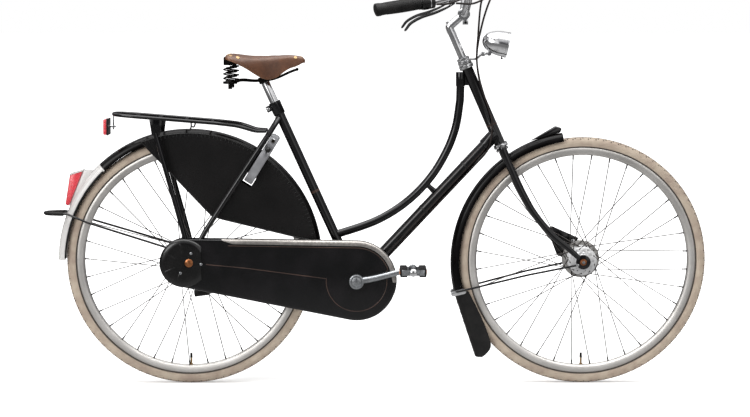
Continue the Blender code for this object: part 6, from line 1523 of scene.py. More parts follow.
def crank(name, side, turn):
    """A crank arm with its head, cap, tapering bar, eye and pedal pin."""
    face = CASE_OUTER_Y + 0.0015
    tip = polar(BRACKET, turn, CRANK_LENGTH)
    inner = 0.0513 if side < 0 else 0.035

    def round_part(profile, centre, steps, part, nodes=(), closed=True):
        outwards = [(radius, side * -out) for radius, out in profile]
        finished(
            spun(outwards, on_wheel(centre), steps, closed=closed), name + part, "satin aluminium", "crank",
            nodes,
        )

    round_part([
        (0.0089, inner), (0.0135, inner), (0.0135, face), (0.02, face), (0.0215, face + 0.0015),
        (0.0215, face + 0.0145), (0.0206, face + 0.017), (0.0185, face + 0.018), (0.015, face + 0.018),
        (0.0142, face + 0.0165), (0.0089, face + 0.0165),
    ], BRACKET, 64, "_crank_head", (name + "_crank_arm",))
    round_part([
        (0.0, face + 0.0172), (0.012, face + 0.0172), (0.014, face + 0.0162), (0.014, face + 0.009),
        (0.0, face + 0.009),
    ], BRACKET, 48, "_crank_cap", closed=False)
    steps = (
        (0.0, 0.01, 0.009), (-0.05, 0.05, 0.0093), (-0.012, 0.105, 0.0105), (0.0, 0.145, 0.0118),
        (0.0, CRANK_LENGTH, 0.012),
    )
    points = smooth(
        [polar(BRACKET, turn + lean, reach, side * (face + out)) for lean, reach, out in steps], 6
    )
    last = len(points) - 1
    widths = [1.0 - 0.21 * i / last for i in range(last + 1)]
    arm = tube(points, 0.0095, 32, widths, flat=0.78, across=xyz(-sin(turn), 0, cos(turn)))
    finished(arm, name + "_crank_bar", "satin aluminium", "crank")
    round_part([
        (0.0062, face + 0.005), (0.0118, face + 0.005), (0.0125, face + 0.006), (0.0125, face + 0.0178),
        (0.0116, face + 0.019), (0.0062, face + 0.019),
    ], tip, 48, "_crank_eye")
    pin = cross_rod(tip, side * (face + 0.004), side * (face + 0.112), 0.006, 24, rounding=0.0006)
    finished(pin, name + "_pedal_pin", "ground steel", "crank")
    pedal(name, side, tip)


def drive():
    dressed("chain", "oiled steel", angle=60)
    dressed("chainring", "chrome plate", bevel=0.0003)
    dressed("rear_sprocket", "oiled steel", bevel=0.0003)
    spindle = cross_rod(BRACKET, -0.086, 0.086, 0.0085, 40, rounding=0.0008)
    finished(spindle, "crank_spindle", "ground steel", "crank", ("crank_axle",))
    crank("right", -1, CRANK_ANGLE)
    crank("left", 1, CRANK_ANGLE + pi)


def pedal(name, side, place):
    start, end = 0.0985, 0.1885
    body = name + "_pedal"
    profile = [
        (0.0063, start), (0.0098, start), (0.0105, start + 0.0012), (0.0105, start + 0.014),
        (0.0088, start + 0.018),
        (0.0088, end - 0.018), (0.0105, end - 0.014), (0.0105, end - 0.0012), (0.0098, end), (0.0063, end),
    ]
    barrel = spun([(r, -side * y) for r, y in profile], on_wheel(place), 40, closed=True)
    finished(barrel, body + "_barrel", "ground steel", body, (body,))
    for label, y in (("inner", start + 0.0035), ("outer", end - 0.0035)):
        plate = block((0.064, 0.003, 0.0165), beside(place, side * y))
        hole = cross_rod(place, -0.3, 0.3, 0.0089, 24)
        finished(plate, f"{body}_plate_{label}", "satin aluminium", body, bevel=0.001, cutters=(hole,))
    dome = ball(beside(place, side * (end - 0.001)), 0.0112, (1, 0.45, 1), 24)
    finished(dome, body + "_dome", "chrome plate", body)
    for label, way in (("front", 1), ("rear", -1)):
        middle = xyz(place.x + way * 0.027, side * (start + end) / 2, place.z)
        tread = block((0.021, 0.0796, 0.024), middle)
        finished(tread, f"{body}_tread_{label}", "black rubber", body, bevel=0.0022)
        ribs = bmesh.new()
        for k in range(9):
            for face in (-1, 1):
                block((0.018, 0.0052, 0.0016), middle + xyz(0, (k - 4) * 0.0088, face * 0.0122), onto=ribs)
        finished(ribs, f"{body}_ribs_{label}", "black rubber", body, bevel=0.0004)
        lens = block((0.0016, 0.052, 0.012), middle + xyz(way * 0.011, 0, 0))
        finished(lens, f"{body}_reflector_{label}", "amber lens", body, bevel=0.0004)


# Handlebar, grips and levers
def grip_ends(side):
    back = BAR_CLAMP + xyz(-0.252, side * 0.298, 0.0125)
    line = xyz(-cos(radians(16)), side * sin(radians(16)), -0.147).normalized()
    return back - line * 0.168, back


def lever_pivot(side):
    return BAR_CLAMP + xyz(-0.048, side * 0.2445, 0.0275)


def bar_route(side):
    steps = [
        (0, 0.024, 0), (0.001, 0.043, 0.003), (0.004, 0.08, 0.02), (0.007, 0.135, 0.045), (0.0, 0.188, 0.058),
        (-0.017, 0.222, 0.057), (-0.048, 0.242, 0.048),
    ]
    front, back = grip_ends(side)
    route = [BAR_CLAMP + xyz(ahead, side * out, up) for ahead, out, up in steps]
    return [BAR_CLAMP, *smooth([*route, front], 6), front + (back - front) * 0.97]


def handlebar():
    """The chromed bar, the stem that carries it and the clamp between them."""
    left, right = bar_route(1), bar_route(-1)
    bar = tube(list(reversed(right)) + left[1:], BAR_RADIUS, 32)
    finished(bar, "handlebar_tube", "chrome plate", "fork", ("handlebar",))
    top = steered(0.774)
    bend = smooth([steered(0.745), steered(0.768), top + xyz(0.006, 0, 0.003), BAR_CLAMP], 8)
    quill = tube([steered(STEERER_TOP - 0.079), *bend], 0.0111, 32)
    finished(quill, "stem_quill", "chrome plate", "fork", ("stem",))
    half_profile = [(BAR_BORE, 0.02), (0.0158, 0.02), (0.017, 0.0188), (0.017, 0.015), (0.0163, 0.014)]
    collar = spun(both_ways(half_profile), on_wheel(BAR_CLAMP), 56, closed=True)
    finished(collar, "bar_clamp_collar", "chrome plate", "fork")
    ears = block((0.015, 0.019, 0.02), BAR_CLAMP + xyz(0.0045, 0, -0.02))
    gap = block((0.03, 0.0016, 0.03), BAR_CLAMP + xyz(0.0045, 0, -0.028))
    finished(ears, "bar_clamp_ears", "chrome plate", "fork", bevel=0.0025, cutters=(gap,))
    bolt = cross_rod(BAR_CLAMP + xyz(0.0045, 0, -0.024), -0.0145, 0.0145, 0.0036, 20, 0.0006)
    finished(bolt, "bar_clamp_bolt", "oiled steel", "fork")
    expander = rod(top + xyz(-0.0015, 0, 0.008), top + xyz(-0.0035, 0, 0.014), 0.006, 6)
    finished(expander, "stem_bolt_head", "chrome plate", "fork", bevel=0.0008)


def grip(name, side):
    """A ribbed rubber grip, shorter on the right, where the shifter sits before it."""
    front, back = grip_ends(side)
    line = (back - front).normalized()
    start, length = (front + line * 0.042, 0.124) if side < 0 else (front + line * 0.004, 0.162)
    end = length + 0.0055
    pitch = 0.004
    count = int((length - 0.03) / pitch)
    profile = [(BAR_BORE, 0.0), (0.0158, 0.0), (0.017, 0.0012), (0.017, pitch), (0.016, 0.0052)]
    for k in range(count):
        swell = 0.001 * sin(pi * k / count)
        for radius, run in ((0.0154, 0.0), (0.0161, 0.0009), (0.0161, 0.0026), (0.0154, 0.0034)):
            profile.append((radius + swell, 0.0072 + k * pitch + run))
    profile += [
        (0.016, length - 0.012), (0.017, length - 0.008), (0.017, end - 0.005), (0.0162, end - 0.0018),
        (0.0135, end - 0.0002), (0.0, end), (0.0, end - 0.0058), (BAR_BORE, end - 0.006),
    ]
    sleeve = spun(profile, along_line(start, start + line), 48, closed=True)
    finished(sleeve, name + "_grip_sleeve", "black rubber", "fork", ("grip_" + name,), angle=30)


def shifter():
    """The twist shifter inside the right grip, with a ring of ribs and a silver band."""
    front, back = grip_ends(-1)
    place = along_line(front, back)
    profile = [
        (BAR_BORE, 0.002), (0.0172, 0.002), (0.0183, 0.003), (0.0185, 0.006), (0.0185, 0.012),
        (0.0176, 0.0135),
        (0.018, 0.015), (0.0185, 0.017), (0.0185, 0.037), (0.0175, 0.0395), (BAR_BORE, 0.04),
    ]
    finished(
        spun(profile, place, 56, closed=True), "shifter_ring", "moulded plastic", "shifter", ("shifter",)
    )
    rib = block((0.0012, 0.015, 0.0016), xyz(0.0187, 0, 0))
    ribs_place = place @ Matrix.Translation(UP * 0.027) @ WHEEL_PLANE
    ribs = ring_of(rib, "shifter ribs", "black rubber", 24, ribs_place)
    finished(ribs, "shifter_ribs", "black rubber", "shifter")
    profile = [
        (0.018, 0.0133), (0.0188, 0.0133), (0.019, 0.0138), (0.019, 0.0152), (0.0188, 0.0157), (0.018, 0.0157)
    ]
    finished(spun(profile, place, 56, closed=True), "shifter_silver_band", "chrome plate", "shifter")


def bars():
    handlebar()
    for name, side in SIDES:
        grip(name, side)
        brake_lever(name, side)
    shifter()


def brake_lever(name, side):
    """A lever's bracket with its collar and pin, and the black blade."""
    pivot = lever_pivot(side)
    clamp_place = BAR_CLAMP + xyz(-0.044, side * 0.2405, 0.0487)
    bracket = rod(clamp_place, pivot + xyz(0, 0, -0.002), 0.0085, 28, 0.007, rounding=0.001)
    slot = block((0.044, 0.0116, 0.0345), pivot + xyz(-0.004, 0, -0.005))
    finished(bracket, name + "_lever_bracket", "satin aluminium", "fork", cutters=(slot,))
    line = (grip_ends(side)[0] - BAR_CLAMP - xyz(-0.048, side * 0.242, 0.048)).normalized()
    centre = clamp_place + xyz(0, 0, 0.001)
    collar = rod(centre - line * 0.008, centre + line * 0.008, 0.0138, 36, rounding=0.0012)
    finished(collar, name + "_lever_collar", "satin aluminium", "fork")
    pin = cross_rod(pivot, pivot.y - 0.0085, pivot.y + 0.0085, 0.003, 20, rounding=0.0006)
    finished(pin, name + "_lever_pin", "chrome plate", "fork")
    steps = (
        (0.01, 0.0, 0.003), (-0.012, 0.0, -0.009), (-0.044, 0.013, -0.0225), (-0.08, 0.025, -0.034),
        (-0.109, 0.034, -0.05), (-0.123, 0.038, -0.067),
    )
    points = smooth([pivot + xyz(ahead, side * out, up) for ahead, out, up in steps], 8)
    last = len(points) - 1
    shares = [i / last for i in range(last + 1)]
    wide = [0.62 + 0.36 * min(1.0, 3 * share) + 0.4 * share * sin(pi * share) for share in shares]
    blade = tube(points, 0.0063, 24, wide, flat=0.56, across=SIDE, ends="round")
    hole = cross_rod(pivot, pivot.y - 0.02, pivot.y + 0.02, 0.0033, 20)
    lever = name + "_brake_lever"
    finished(blade, name + "_lever_blade", "moulded plastic", lever, (lever,), cutters=(hole,))


# Headlamp
def headlamp():
    """The bullet-shaped lamp with its glass, reflector and bulb."""
    radius, length = LAMP_RADIUS, LAMP_LENGTH
    half_run = xyz(cos(LAMP_TILT), 0, -sin(LAMP_TILT)) * length / 2
    rear = LAMP_CENTRE - half_run
    place = Matrix.Translation(rear) @ Matrix.Rotation(pi / 2 + LAMP_TILT, 4, "Y")
    line = [(1.0, 1.0), (1.0, 0.80), (0.97, 0.60), (0.84, 0.36), (0.60, 0.15), (0.28, 0.03), (0.0, 0.0)]
    outer = [(p.x * radius, p.y * length) for p in smooth([xyz(*p, 0) for p in line], 6)]
    inner = [
        (0.0, 0.003), (radius * 0.3, length * 0.062), (radius * 0.6, length * 0.19),
        (radius * 0.84, length * 0.4),
        (radius * 0.93, length * 0.62), (radius - 0.0024, length * 0.8), (radius - 0.0024, length - 0.0006),
    ]
    bead = [
        (radius - 0.0012, length + 0.0006), (radius + 0.0006, length + 0.0002),
        (radius + 0.0012, length - 0.003),
        (radius + 0.0008, length - 0.007),
    ]
    shell = spun(bead + outer[3:] + inner, place, 72, closed=True)
    finished(shell, "headlamp_bullet", "chrome plate", "fork", ("headlamp_shell",))
    reach = radius - 0.0028
    glass = (
        (0.0, 0.965), (0.4, 0.962), (0.8, 0.94), (1, 0.905), (1, 0.87), (0.8, 0.895), (0.4, 0.915),
        (0.0, 0.918)
    )
    mirror = (
        (0.0, 0.3), (0.3, 0.33), (0.62, 0.44), (0.88, 0.64), (0.97, 0.84), (0.92, 0.84), (0.84, 0.66),
        (0.58, 0.47),
        (0.28, 0.36), (0.0, 0.335),
    )
    for shares, name, finish, nodes in (
        (glass, "headlamp_glass", "clear lens", ("headlamp_lens",)),
        (mirror, "headlamp_reflector", "lamp reflector", ()),
    ):
        profile = [(reach * out, length * along) for out, along in shares]
        finished(spun(profile, place, 64), name, finish, "fork", nodes)
    bulb = ball(rear + half_run * 1.04, 0.0055, (1.3, 1, 1), 20)
    finished(bulb, "headlamp_bulb", "clear lens", "fork")


def headset_nuts():
    """The two nuts on the steerer, with the lamp bracket's washer between them."""
    low, high = steered(CUP_TOP + GAP), steered(STEERER_TOP - 0.002)
    beyond = STEERING * 0.02
    for name, start, end, radius, sides, bevel in (
        ("headset_nut_lower", low, low + STEERING * 0.0105, 0.02, 6, 0.0012),
        ("lamp_bracket_washer", low + STEERING * 0.0106, low + STEERING * 0.0134, 0.019, 40, 0.0004),
        ("headset_nut_upper", low + STEERING * 0.0136, high, 0.0185, 6, 0.0012),
    ):
        bore = rod(low - beyond, high + beyond, STEERER_RADIUS + GAP, 32)
        nut = rod(start, end, radius, sides)
        finished(nut, name, "chrome plate", "fork", bevel=bevel, cutters=(bore,))


def lamp():
    headlamp()
    arm_end = LAMP_ARM_END
    foot = cross_rod(arm_end, -0.0042, 0.0042, 0.0065, 32, rounding=0.0008)
    rod(arm_end, arm_end + xyz(0.0005, 0, 0.006), 0.0048, 20, onto=foot)
    finished(foot, "headlamp_foot", "chrome plate", "fork")
    bolt = cross_rod(arm_end, -0.012, 0.012, 0.003, 20, rounding=0.0006)
    cross_rod(arm_end, -0.0122, -0.0092, 0.0055, 6, onto=bolt)
    finished(bolt, "headlamp_bolt", "chrome plate", "fork", ("headlamp_bracket",))
    headset_nuts()
    start = steered(CUP_TOP + 0.012, 0.016)
    for name, side in SIDES:
        steps = (
            start, start + xyz(0.02, 0, 0.001), arm_end + xyz(-0.02, 0, -0.001), arm_end + xyz(0.006, 0, 0)
        )
        line = smooth([place + SIDE * side * 0.0065 for place in steps], 6)
        arm = tube(line, 0.004, 16, flat=0.6, across=xyz(0.2, 0, 1))
        finished(arm, "lamp_arm_" + name, "chrome plate", "fork")
    clasp = cross_rod(arm_end + xyz(-0.018, 0, -0.001), -0.0098, 0.0098, 0.0078, 6)
    finished(clasp, "lamp_bracket_clasp", "chrome plate", "fork", bevel=0.001)
    low = LAMP_CENTRE + xyz(0.0186, 0, -0.0455)
    screw = rod(LAMP_CENTRE + xyz(0.0175, 0, -0.0375), low, 0.0014, 12)
    ball(low, 0.0034, (1, 1, 0.8), 16, onto=screw)
    finished(screw, "headlamp_terminal", "oiled steel", "fork")


# Saddle
LEATHER_STATIONS = [
    # share of the length from the nose, half width, top height, skirt depth
    (0.00, 0.011, -0.012, 0.007), (0.03, 0.017, -0.005, 0.015), (0.07, 0.020, -0.002, 0.023),
    (0.12, 0.023, 0.000, 0.030), (0.19, 0.026, 0.001, 0.036), (0.265, 0.030, 0.001, 0.046),
    (0.34, 0.034, 0.000, 0.058), (0.41, 0.040, 0.000, 0.064), (0.47, 0.047, -0.001, 0.065),
    (0.53, 0.056, -0.001, 0.062), (0.595, 0.066, -0.001, 0.054), (0.668, 0.077, -0.001, 0.043),
    (0.742, 0.087, 0.000, 0.033), (0.816, 0.094, 0.002, 0.026), (0.90, 0.099, 0.004, 0.019),
    (0.96, 0.098, 0.004, 0.014), (1.00, 0.084, 0.002, 0.009),
]


def leather_rows(thickness):
    half_section = [(1.0, 1.0), (0.97, 0.55), (0.86, 0.16), (0.60, 0.03), (0.25, 0.0)]
    section = [(-out, drop) for out, drop in half_section] + half_section[::-1]
    across = smooth([xyz(out, drop, 0) for out, drop in section], 4)
    rows = []
    for share, half, height, skirt in smooth([Vector(station) for station in LEATHER_STATIONS], 5):
        x = SADDLE_NOSE_X - thickness - (SADDLE_LENGTH - 2 * thickness) * share
        top = SADDLE_TOP_Z - thickness / 2 + height
        width = half - thickness / 2
        rows.append([xyz(x, width * point.x, top - skirt * point.y) for point in across])
    return rows


def saddle_leather():
    """The leather top. Returns what finds a place on its middle surface."""
    shape = open_sheet(leather_rows(LEATHER_THICKNESS), 0.5, UP)
    surface = BVHTree.FromBMesh(shape)
    wall = walled(shape, "leather sheet", LEATHER_THICKNESS, 0.0, 0.0014)
    finished(wall, "saddle_hide", "waxed leather", "saddle", ("saddle_leather",), angle=75)
    return surface


def saddle_rivets(surface):
    """Domed rivets along the back edge and at the nose, standing square on the leather."""
    spots = [
        (0.96, 0.45), (0.96, -0.45), (0.96, 0.0), (0.92, 0.86), (0.92, -0.86), (0.83, 0.93), (0.83, -0.93)
    ]
    spots += [(0.06, 0.0), (0.13, 0.92), (0.13, -0.92)]
    for i, (share, out) in enumerate(spots):
        low, high = next(pair for pair in zip(LEATHER_STATIONS, LEATHER_STATIONS[1:]) if pair[1][0] > share)
        half = low[1] + (high[1] - low[1]) * (share - low[0]) / (high[0] - low[0])
        above = xyz(SADDLE_NOSE_X - SADDLE_LENGTH * share, (half - LEATHER_THICKNESS) * out, 1.1)
        hit, normal, _, _ = surface.ray_cast(above, -UP)
        if hit is None:
            raise RuntimeError("a saddle rivet misses the leather")
        place = hit + normal * (LEATHER_THICKNESS / 2 - 0.0004)
        dome = ball(place, 0.0062 if share > 0.5 else 0.0052, (1, 1, 0.28), 24, turned_to(normal))
        finished(dome, f"saddle_rivet_{i + 1}", "brass", "saddle")


def saddle_clamp():
    """The steel plate under the leather's back, and the clamp on the post with its bolt."""
    plate = [
        (0.016, -0.02), (0.016, 0.02), (0.02, 0.07), (0.0, 0.078), (-0.018, 0.066), (-0.02, 0.0),
        (-0.018, -0.066),
        (0.0, -0.078), (0.02, -0.07),
    ]
    cantle = slab([(SPRING_X + x, y) for x, y in reversed(plate)], 0.9237, 0.947)
    finished(cantle, "saddle_cantle", "oiled steel", "saddle", bevel=0.002)
    profile = [
        (0.0108, -0.0085), (0.015, -0.0085), (0.0165, -0.007), (0.0165, 0.0085), (0.015, 0.0105),
        (0.0108, 0.0105),
    ]
    collar = spun(profile, along_line(POST_CLAMP, POST_CLAMP + SEAT_LINE), 48, closed=True)
    finished(collar, "saddle_clamp_collar", "oiled steel", "seat_post", ("saddle_frame",))
    place = POST_CLAMP - SEAT_AHEAD * 0.003
    clamp_bar = cross_rod(place, -0.03, 0.03, 0.007, 28, rounding=0.001)
    for side in (-1, 1):
        cross_rod(place, side * 0.03, side * 0.0345, 0.008, 6, onto=clamp_bar)
    finished(clamp_bar, "saddle_clamp_bolt", "oiled steel", "seat_post")


def saddle_half(name, side, nose_z):
    """One rail with the spring at its rear end."""
    foot = xyz(SPRING_X, side * SPRING_HALF_SPAN, SPRING_FOOT - 0.003)
    route = [
        xyz(SADDLE_NOSE_X - 0.026, side * 0.004, nose_z),
        xyz(SADDLE_NOSE_X - 0.045, side * 0.013, nose_z - 0.007),
        POST_CLAMP + xyz(0.03, side * 0.02, 0.003), POST_CLAMP + xyz(-0.02, side * 0.02, -0.003),
        xyz(SPRING_X + 0.032, side * 0.036, SPRING_FOOT + 0.002), foot,
    ]
    rail = tube(smooth(route, 8), 0.0035, 20, ends="round")
    finished(rail, "saddle_rail_" + name, "oiled steel", "seat_post")
    seat = rod(foot - UP * 0.004, foot + UP * 0.003, 0.0205, 48, rounding=0.0012)
    rod(foot - UP * 0.019, foot - UP * 0.003, 0.006, 6, onto=seat)
    finished(seat, "spring_seat_" + name, "oiled steel", "seat_post", bevel=0.0006)
    values = {"Turns": 3.25, "Radius": 0.0185, "Height": COIL_HEIGHT, "Wire Radius": 0.002, "Steps": 104}
    coil = grown("coil", "coil", "oiled steel", values)
    low = xyz(SPRING_X, side * SPRING_HALF_SPAN, SPRING_FOOT + 0.0025)
    coil.transform(Matrix.Translation(low))
    squeezed = ("seat_post", "saddle", low, low + UP * COIL_HEIGHT)
    finished(coil, "spring_coil_" + name, "oiled steel", squeezed, ("saddle_spring_" + name,))


def saddle():
    saddle_rivets(saddle_leather())
    saddle_clamp()
    nose_z = SADDLE_TOP_Z - 0.04
    for name, side in SIDES:
        saddle_half(name, side, nose_z)
    bar = cross_rod(xyz(SPRING_X, 0, SPRING_FOOT - 0.004), -SPRING_HALF_SPAN, SPRING_HALF_SPAN, 0.0035, 20)
    finished(bar, "saddle_rear_bar", "oiled steel", "seat_post")
    bar = cross_rod(xyz(SADDLE_NOSE_X - 0.026, 0, nose_z), -0.007, 0.007, 0.0045, 24, rounding=0.0006)
    finished(bar, "saddle_nose_bar", "oiled steel", "seat_post")
    post = rod(SEAT_FOOT + SEAT_LINE * 0.412, SEAT_FOOT + SEAT_LINE * 0.622, 0.0125, 40, rounding=0.0008)
    rod(SEAT_FOOT + SEAT_LINE * 0.6212, SEAT_FOOT + SEAT_LINE * 0.64, 0.0105, 36, rounding=0.0006, onto=post)
    finished(post, "seat_post_tube", "chrome plate", "seat_post", ("seat_post",))


# Lock, coat guards and stand
def lock_frame():
    turn = Matrix((SIDE, STAY_LINE, SIDE.cross(STAY_LINE))).transposed().to_4x4()
    return Matrix.Translation(on_stays(0.34, SEAT_STAY_RADIUS + GAP + LOCK_HALF_DEPTH)) @ turn


def lock_body(place):
    """The lock's open ring with its squarer head and the keyhole."""
    start, end = radians(302), radians(598)
    angles = [start + (end - start) * k / 60 for k in range(61)]
    inner, outer = LOCK_RING - 0.011, LOCK_RING + 0.011
    band = [(outer * cos(a), outer * sin(a)) for a in angles]
    band += [(inner * cos(a), inner * sin(a)) for a in reversed(angles)]
    ring = slab(band, -LOCK_HALF_DEPTH, LOCK_HALF_DEPTH, place)
    finished(ring, "lock_ring", "lock plastic", "frame", ("lock_body",), bevel=0.0104, angle=50)
    corners = [
        (0.022, 0.058), (0.024, 0.078), (0.01, 0.099), (-0.036, 0.105), (-0.046, 0.097), (-0.046, 0.07),
        (-0.03, 0.056),
    ]
    finished(slab(corners, -0.0128, 0.0128, place), "lock_head", "lock plastic", "frame", bevel=0.008)
    for name, rise, radius, metal in (
        ("lock_keyhole_ring", 0.0, 0.0075, "chrome plate"),
        ("lock_keyhole", 0.0006, 0.005, "blackened brass"),
    ):
        spot = place @ Matrix.Translation(xyz(-0.0462 - rise, 0.084, 0.0)) @ Matrix.Rotation(-pi / 2, 4, "Y")
        profile = [(0, 0.0016), (radius * 0.9, 0.0016), (radius, 0.0008), (radius, -0.002), (0, -0.002)]
        finished(spun(profile, spot, 32), name, metal, "frame")


def ring_lock():
    place = lock_frame()
    lock_body(place)
    rest, sweep = radians(235), radians(100)
    angles = [rest - sweep * k / 24 for k in range(25)]
    bar = tube(
        [place @ xyz(LOCK_RING * cos(a), LOCK_RING * sin(a), 0) for a in angles], 0.004, 20, ends="round"
    )
    finished(bar, "lock_bar", "chrome plate", "lock_shackle", ("lock_shackle",))
    angle = rest - sweep + radians(7) * 0.35
    way = xyz(cos(angle), sin(angle), 0)
    knob = rod(place @ (way * LOCK_RING), place @ (way * (LOCK_RING + 0.02)), 0.0021, 16)
    ball(place @ (way * (LOCK_RING + 0.026)), 0.0083, (1, 1, 1), 24, onto=knob)
    finished(knob, "lock_lever", "moulded plastic", "lock_shackle")


def coat_guards():
    """Coated sheets beside the rear wheel, hemmed, and laced to the mudguard with cord."""
    start, end = radians(111.6), radians(9.3)
    corners = [
        (0.3174, 0.068), (0.19, 0.099), (0.095, 0.122), (0.0646, 0.132), (0.044, 0.153), (-0.036, 0.238)
    ]
    outline = arc_points(REAR_AXLE, 0.37, start, end, 60) + near(REAR_AXLE, corners)
    place = lock_frame() @ Matrix.Translation(SIDE * (0.001 - LOCK_RING * cos(radians(32))))
    for name, side in SIDES:
        inside = side * 0.0293
        sheet = side_slab(outline, inside, inside + side * 0.0015)
        hole = block((0.1, 0.036, 0.03), xyz(0, 0, 0), place)
        finished(
            sheet, "coat_guard_sheet_" + name, "coated fabric", "frame", ("coat_guard_" + name,),
            cutters=(hole,)
        )
        y = inside + side * 0.0016
        hem = [xyz(x, y, z) for x, z in outline]
        finished(tube(hem + [hem[0]], 0.0016, 10), "coat_guard_hem_" + name, "coated fabric", "frame")
        line = [polar(REAR_AXLE, radians(110 - 97 * k / 80), 0.366, y + side * 0.0007) for k in range(81)]
        path = path_object("lacing path", line)
        stitch = tube([xyz(0, -0.0052, 0), xyz(0, 0.0052, 0)], 0.001, 8)
        stitches = grown("path", "lacing", "lacing cord", {"Path": path, "Spacing": 0.0115}, stitch)
        bpy.data.objects.remove(path)
        finished(stitches, "coat_guard_lacing_" + name, "lacing cord", "frame")


def prop_stand():
    """The folded stand: its head on a slanted pin, the leg and its rubber foot."""
    folded = Vector((-1, 0, 0))
    folded.rotate(Matrix.Rotation(radians(8), 4, STAND_AXIS))
    hub_from, hub_to = STAND_PIVOT - STAND_AXIS * 0.008, STAND_PIVOT - STAND_AXIS * 0.021
    start = (hub_from + hub_to) / 2
    head = rod(hub_from, hub_to, 0.013, 40, rounding=0.0015)
    rod(hub_to, hub_to - STAND_AXIS * 0.0022, 0.0062, 6, onto=head)
    finished(head, "stand_head", "black enamel", "kickstand", ("kickstand",))
    pin = rod(STAND_PIVOT + STAND_AXIS * 0.008, hub_from - STAND_AXIS * 0.002, 0.005, 24)
    finished(pin, "stand_pin", "ground steel", "kickstand")
    leg = tube([start, start + folded * 0.13, start + folded * 0.26], 0.0075, 28)
    finished(leg, "stand_leg", "black enamel", "kickstand")
    foot = rod(start + folded * 0.245, start + folded * 0.29, 0.0108, 32, rounding=0.0022)
    finished(foot, "stand_foot", "black rubber", "kickstand")


# Cables
def cable_starts():
    """Where each cable leaves the bar, its first step, and its way in front of the bar, from the clamp."""
    return {
        "shift_cable": (grip_ends(-1)[0] + xyz(0.006, -0.014, -0.008), xyz(0.04, 0.0, 0.004), [
            (0.0524, -0.215, 0.0717), (0.0774, -0.14, 0.0817), (0.0674, -0.06, 0.0667),
            (0.0488, -0.026, 0.0355),
            (0.0405, -0.02, -0.0562), (0.0368, -0.014, -0.1251),
        ]),
        "brake_cable": (lever_pivot(-1) + xyz(0.016, 0.0, 0.004), xyz(0.05, 0.014, 0.0), [
            (0.07, -0.185, 0.056), (0.088, -0.115, 0.064), (0.078, -0.045, 0.052), (0.06, -0.01, 0.0),
            (0.0444, 0.006, -0.0683), (0.0384, 0.0145, -0.1251),
        ]),
    }


def frame_route(side, run):
    """A cable's way past the head tube, under the down tube and along a chain stay."""
    under = xyz(-DOWN_LINE.z, 0, DOWN_LINE.x)
    offset = SIDE * side * 0.0045
    below = under * sqrt((DOWN_TUBE_RADIUS + CABLE_RADIUS + GAP)**2 - offset.length**2) + offset
    route = [
        steered(0.6077, 0.0215, side * 0.009), steered(0.5636, 0.0145, side * 0.0155),
        steered(0.5137, 0.01, side * 0.0178), steered(0.4737, 0.004, side * 0.0215),
        DOWN_START + DOWN_LINE * 0.024 + under * 0.002 + SIDE * side * 0.0232,
        DOWN_START + DOWN_LINE * 0.056 + under * 0.016 + SIDE * side * 0.0165,
    ]
    route += [DOWN_START + DOWN_LINE * run * share + below for share in (0.20, 0.40, 0.65, 0.86)]
    route.append(BRACKET + xyz(0.012, 0, -BRACKET_RADIUS - CABLE_RADIUS - GAP - 0.0015) + offset)
    route.append(BRACKET + xyz(-0.03, side * 0.012, -BRACKET_RADIUS - CABLE_RADIUS))
    outside = [(0.22, 0.0405), (0.50, 0.046), (0.75, 0.052), (0.90, 0.0555)]
    if side > 0:
        outside = [(along, out - 0.006) for along, out in outside[:3]]
    low = xyz(0, 0, -CHAIN_STAY_RADIUS - CABLE_RADIUS - 0.0012)
    return route + [
        BRACKET + (REAR_AXLE - BRACKET) * along + SIDE * side * out + low for along, out in outside
    ]


def cables():
    """The two housings, running from the bar past the head tube, and their clips."""
    run = (BRACKET - DOWN_START).length
    starts = cable_starts()
    bend = ("fork", "frame", steered(0.66), steered(0.48))
    for name, side in (("shift_cable", -1), ("brake_cable", 1)):
        begin, onward, steps = starts[name]
        route = [
            begin, begin + onward, *(BAR_CLAMP + Vector(step) for step in steps), *frame_route(side, run)
        ]
        finished(tube(smooth(route, 8), 0.0028, 12), name + "_housing", "cable rubber", bend, (name,))
    profile = [(0.0161, -0.003), (0.0168, -0.003), (0.0168, 0.003), (0.0161, 0.003)]
    for i, share in enumerate((0.22, 0.52, 0.82)):
        place = DOWN_START + DOWN_LINE * run * share
        clip = spun(profile, along_line(place, place + DOWN_LINE), 40, closed=True)
        finished(clip, f"cable_clip_{i + 1}", "moulded plastic", "frame")


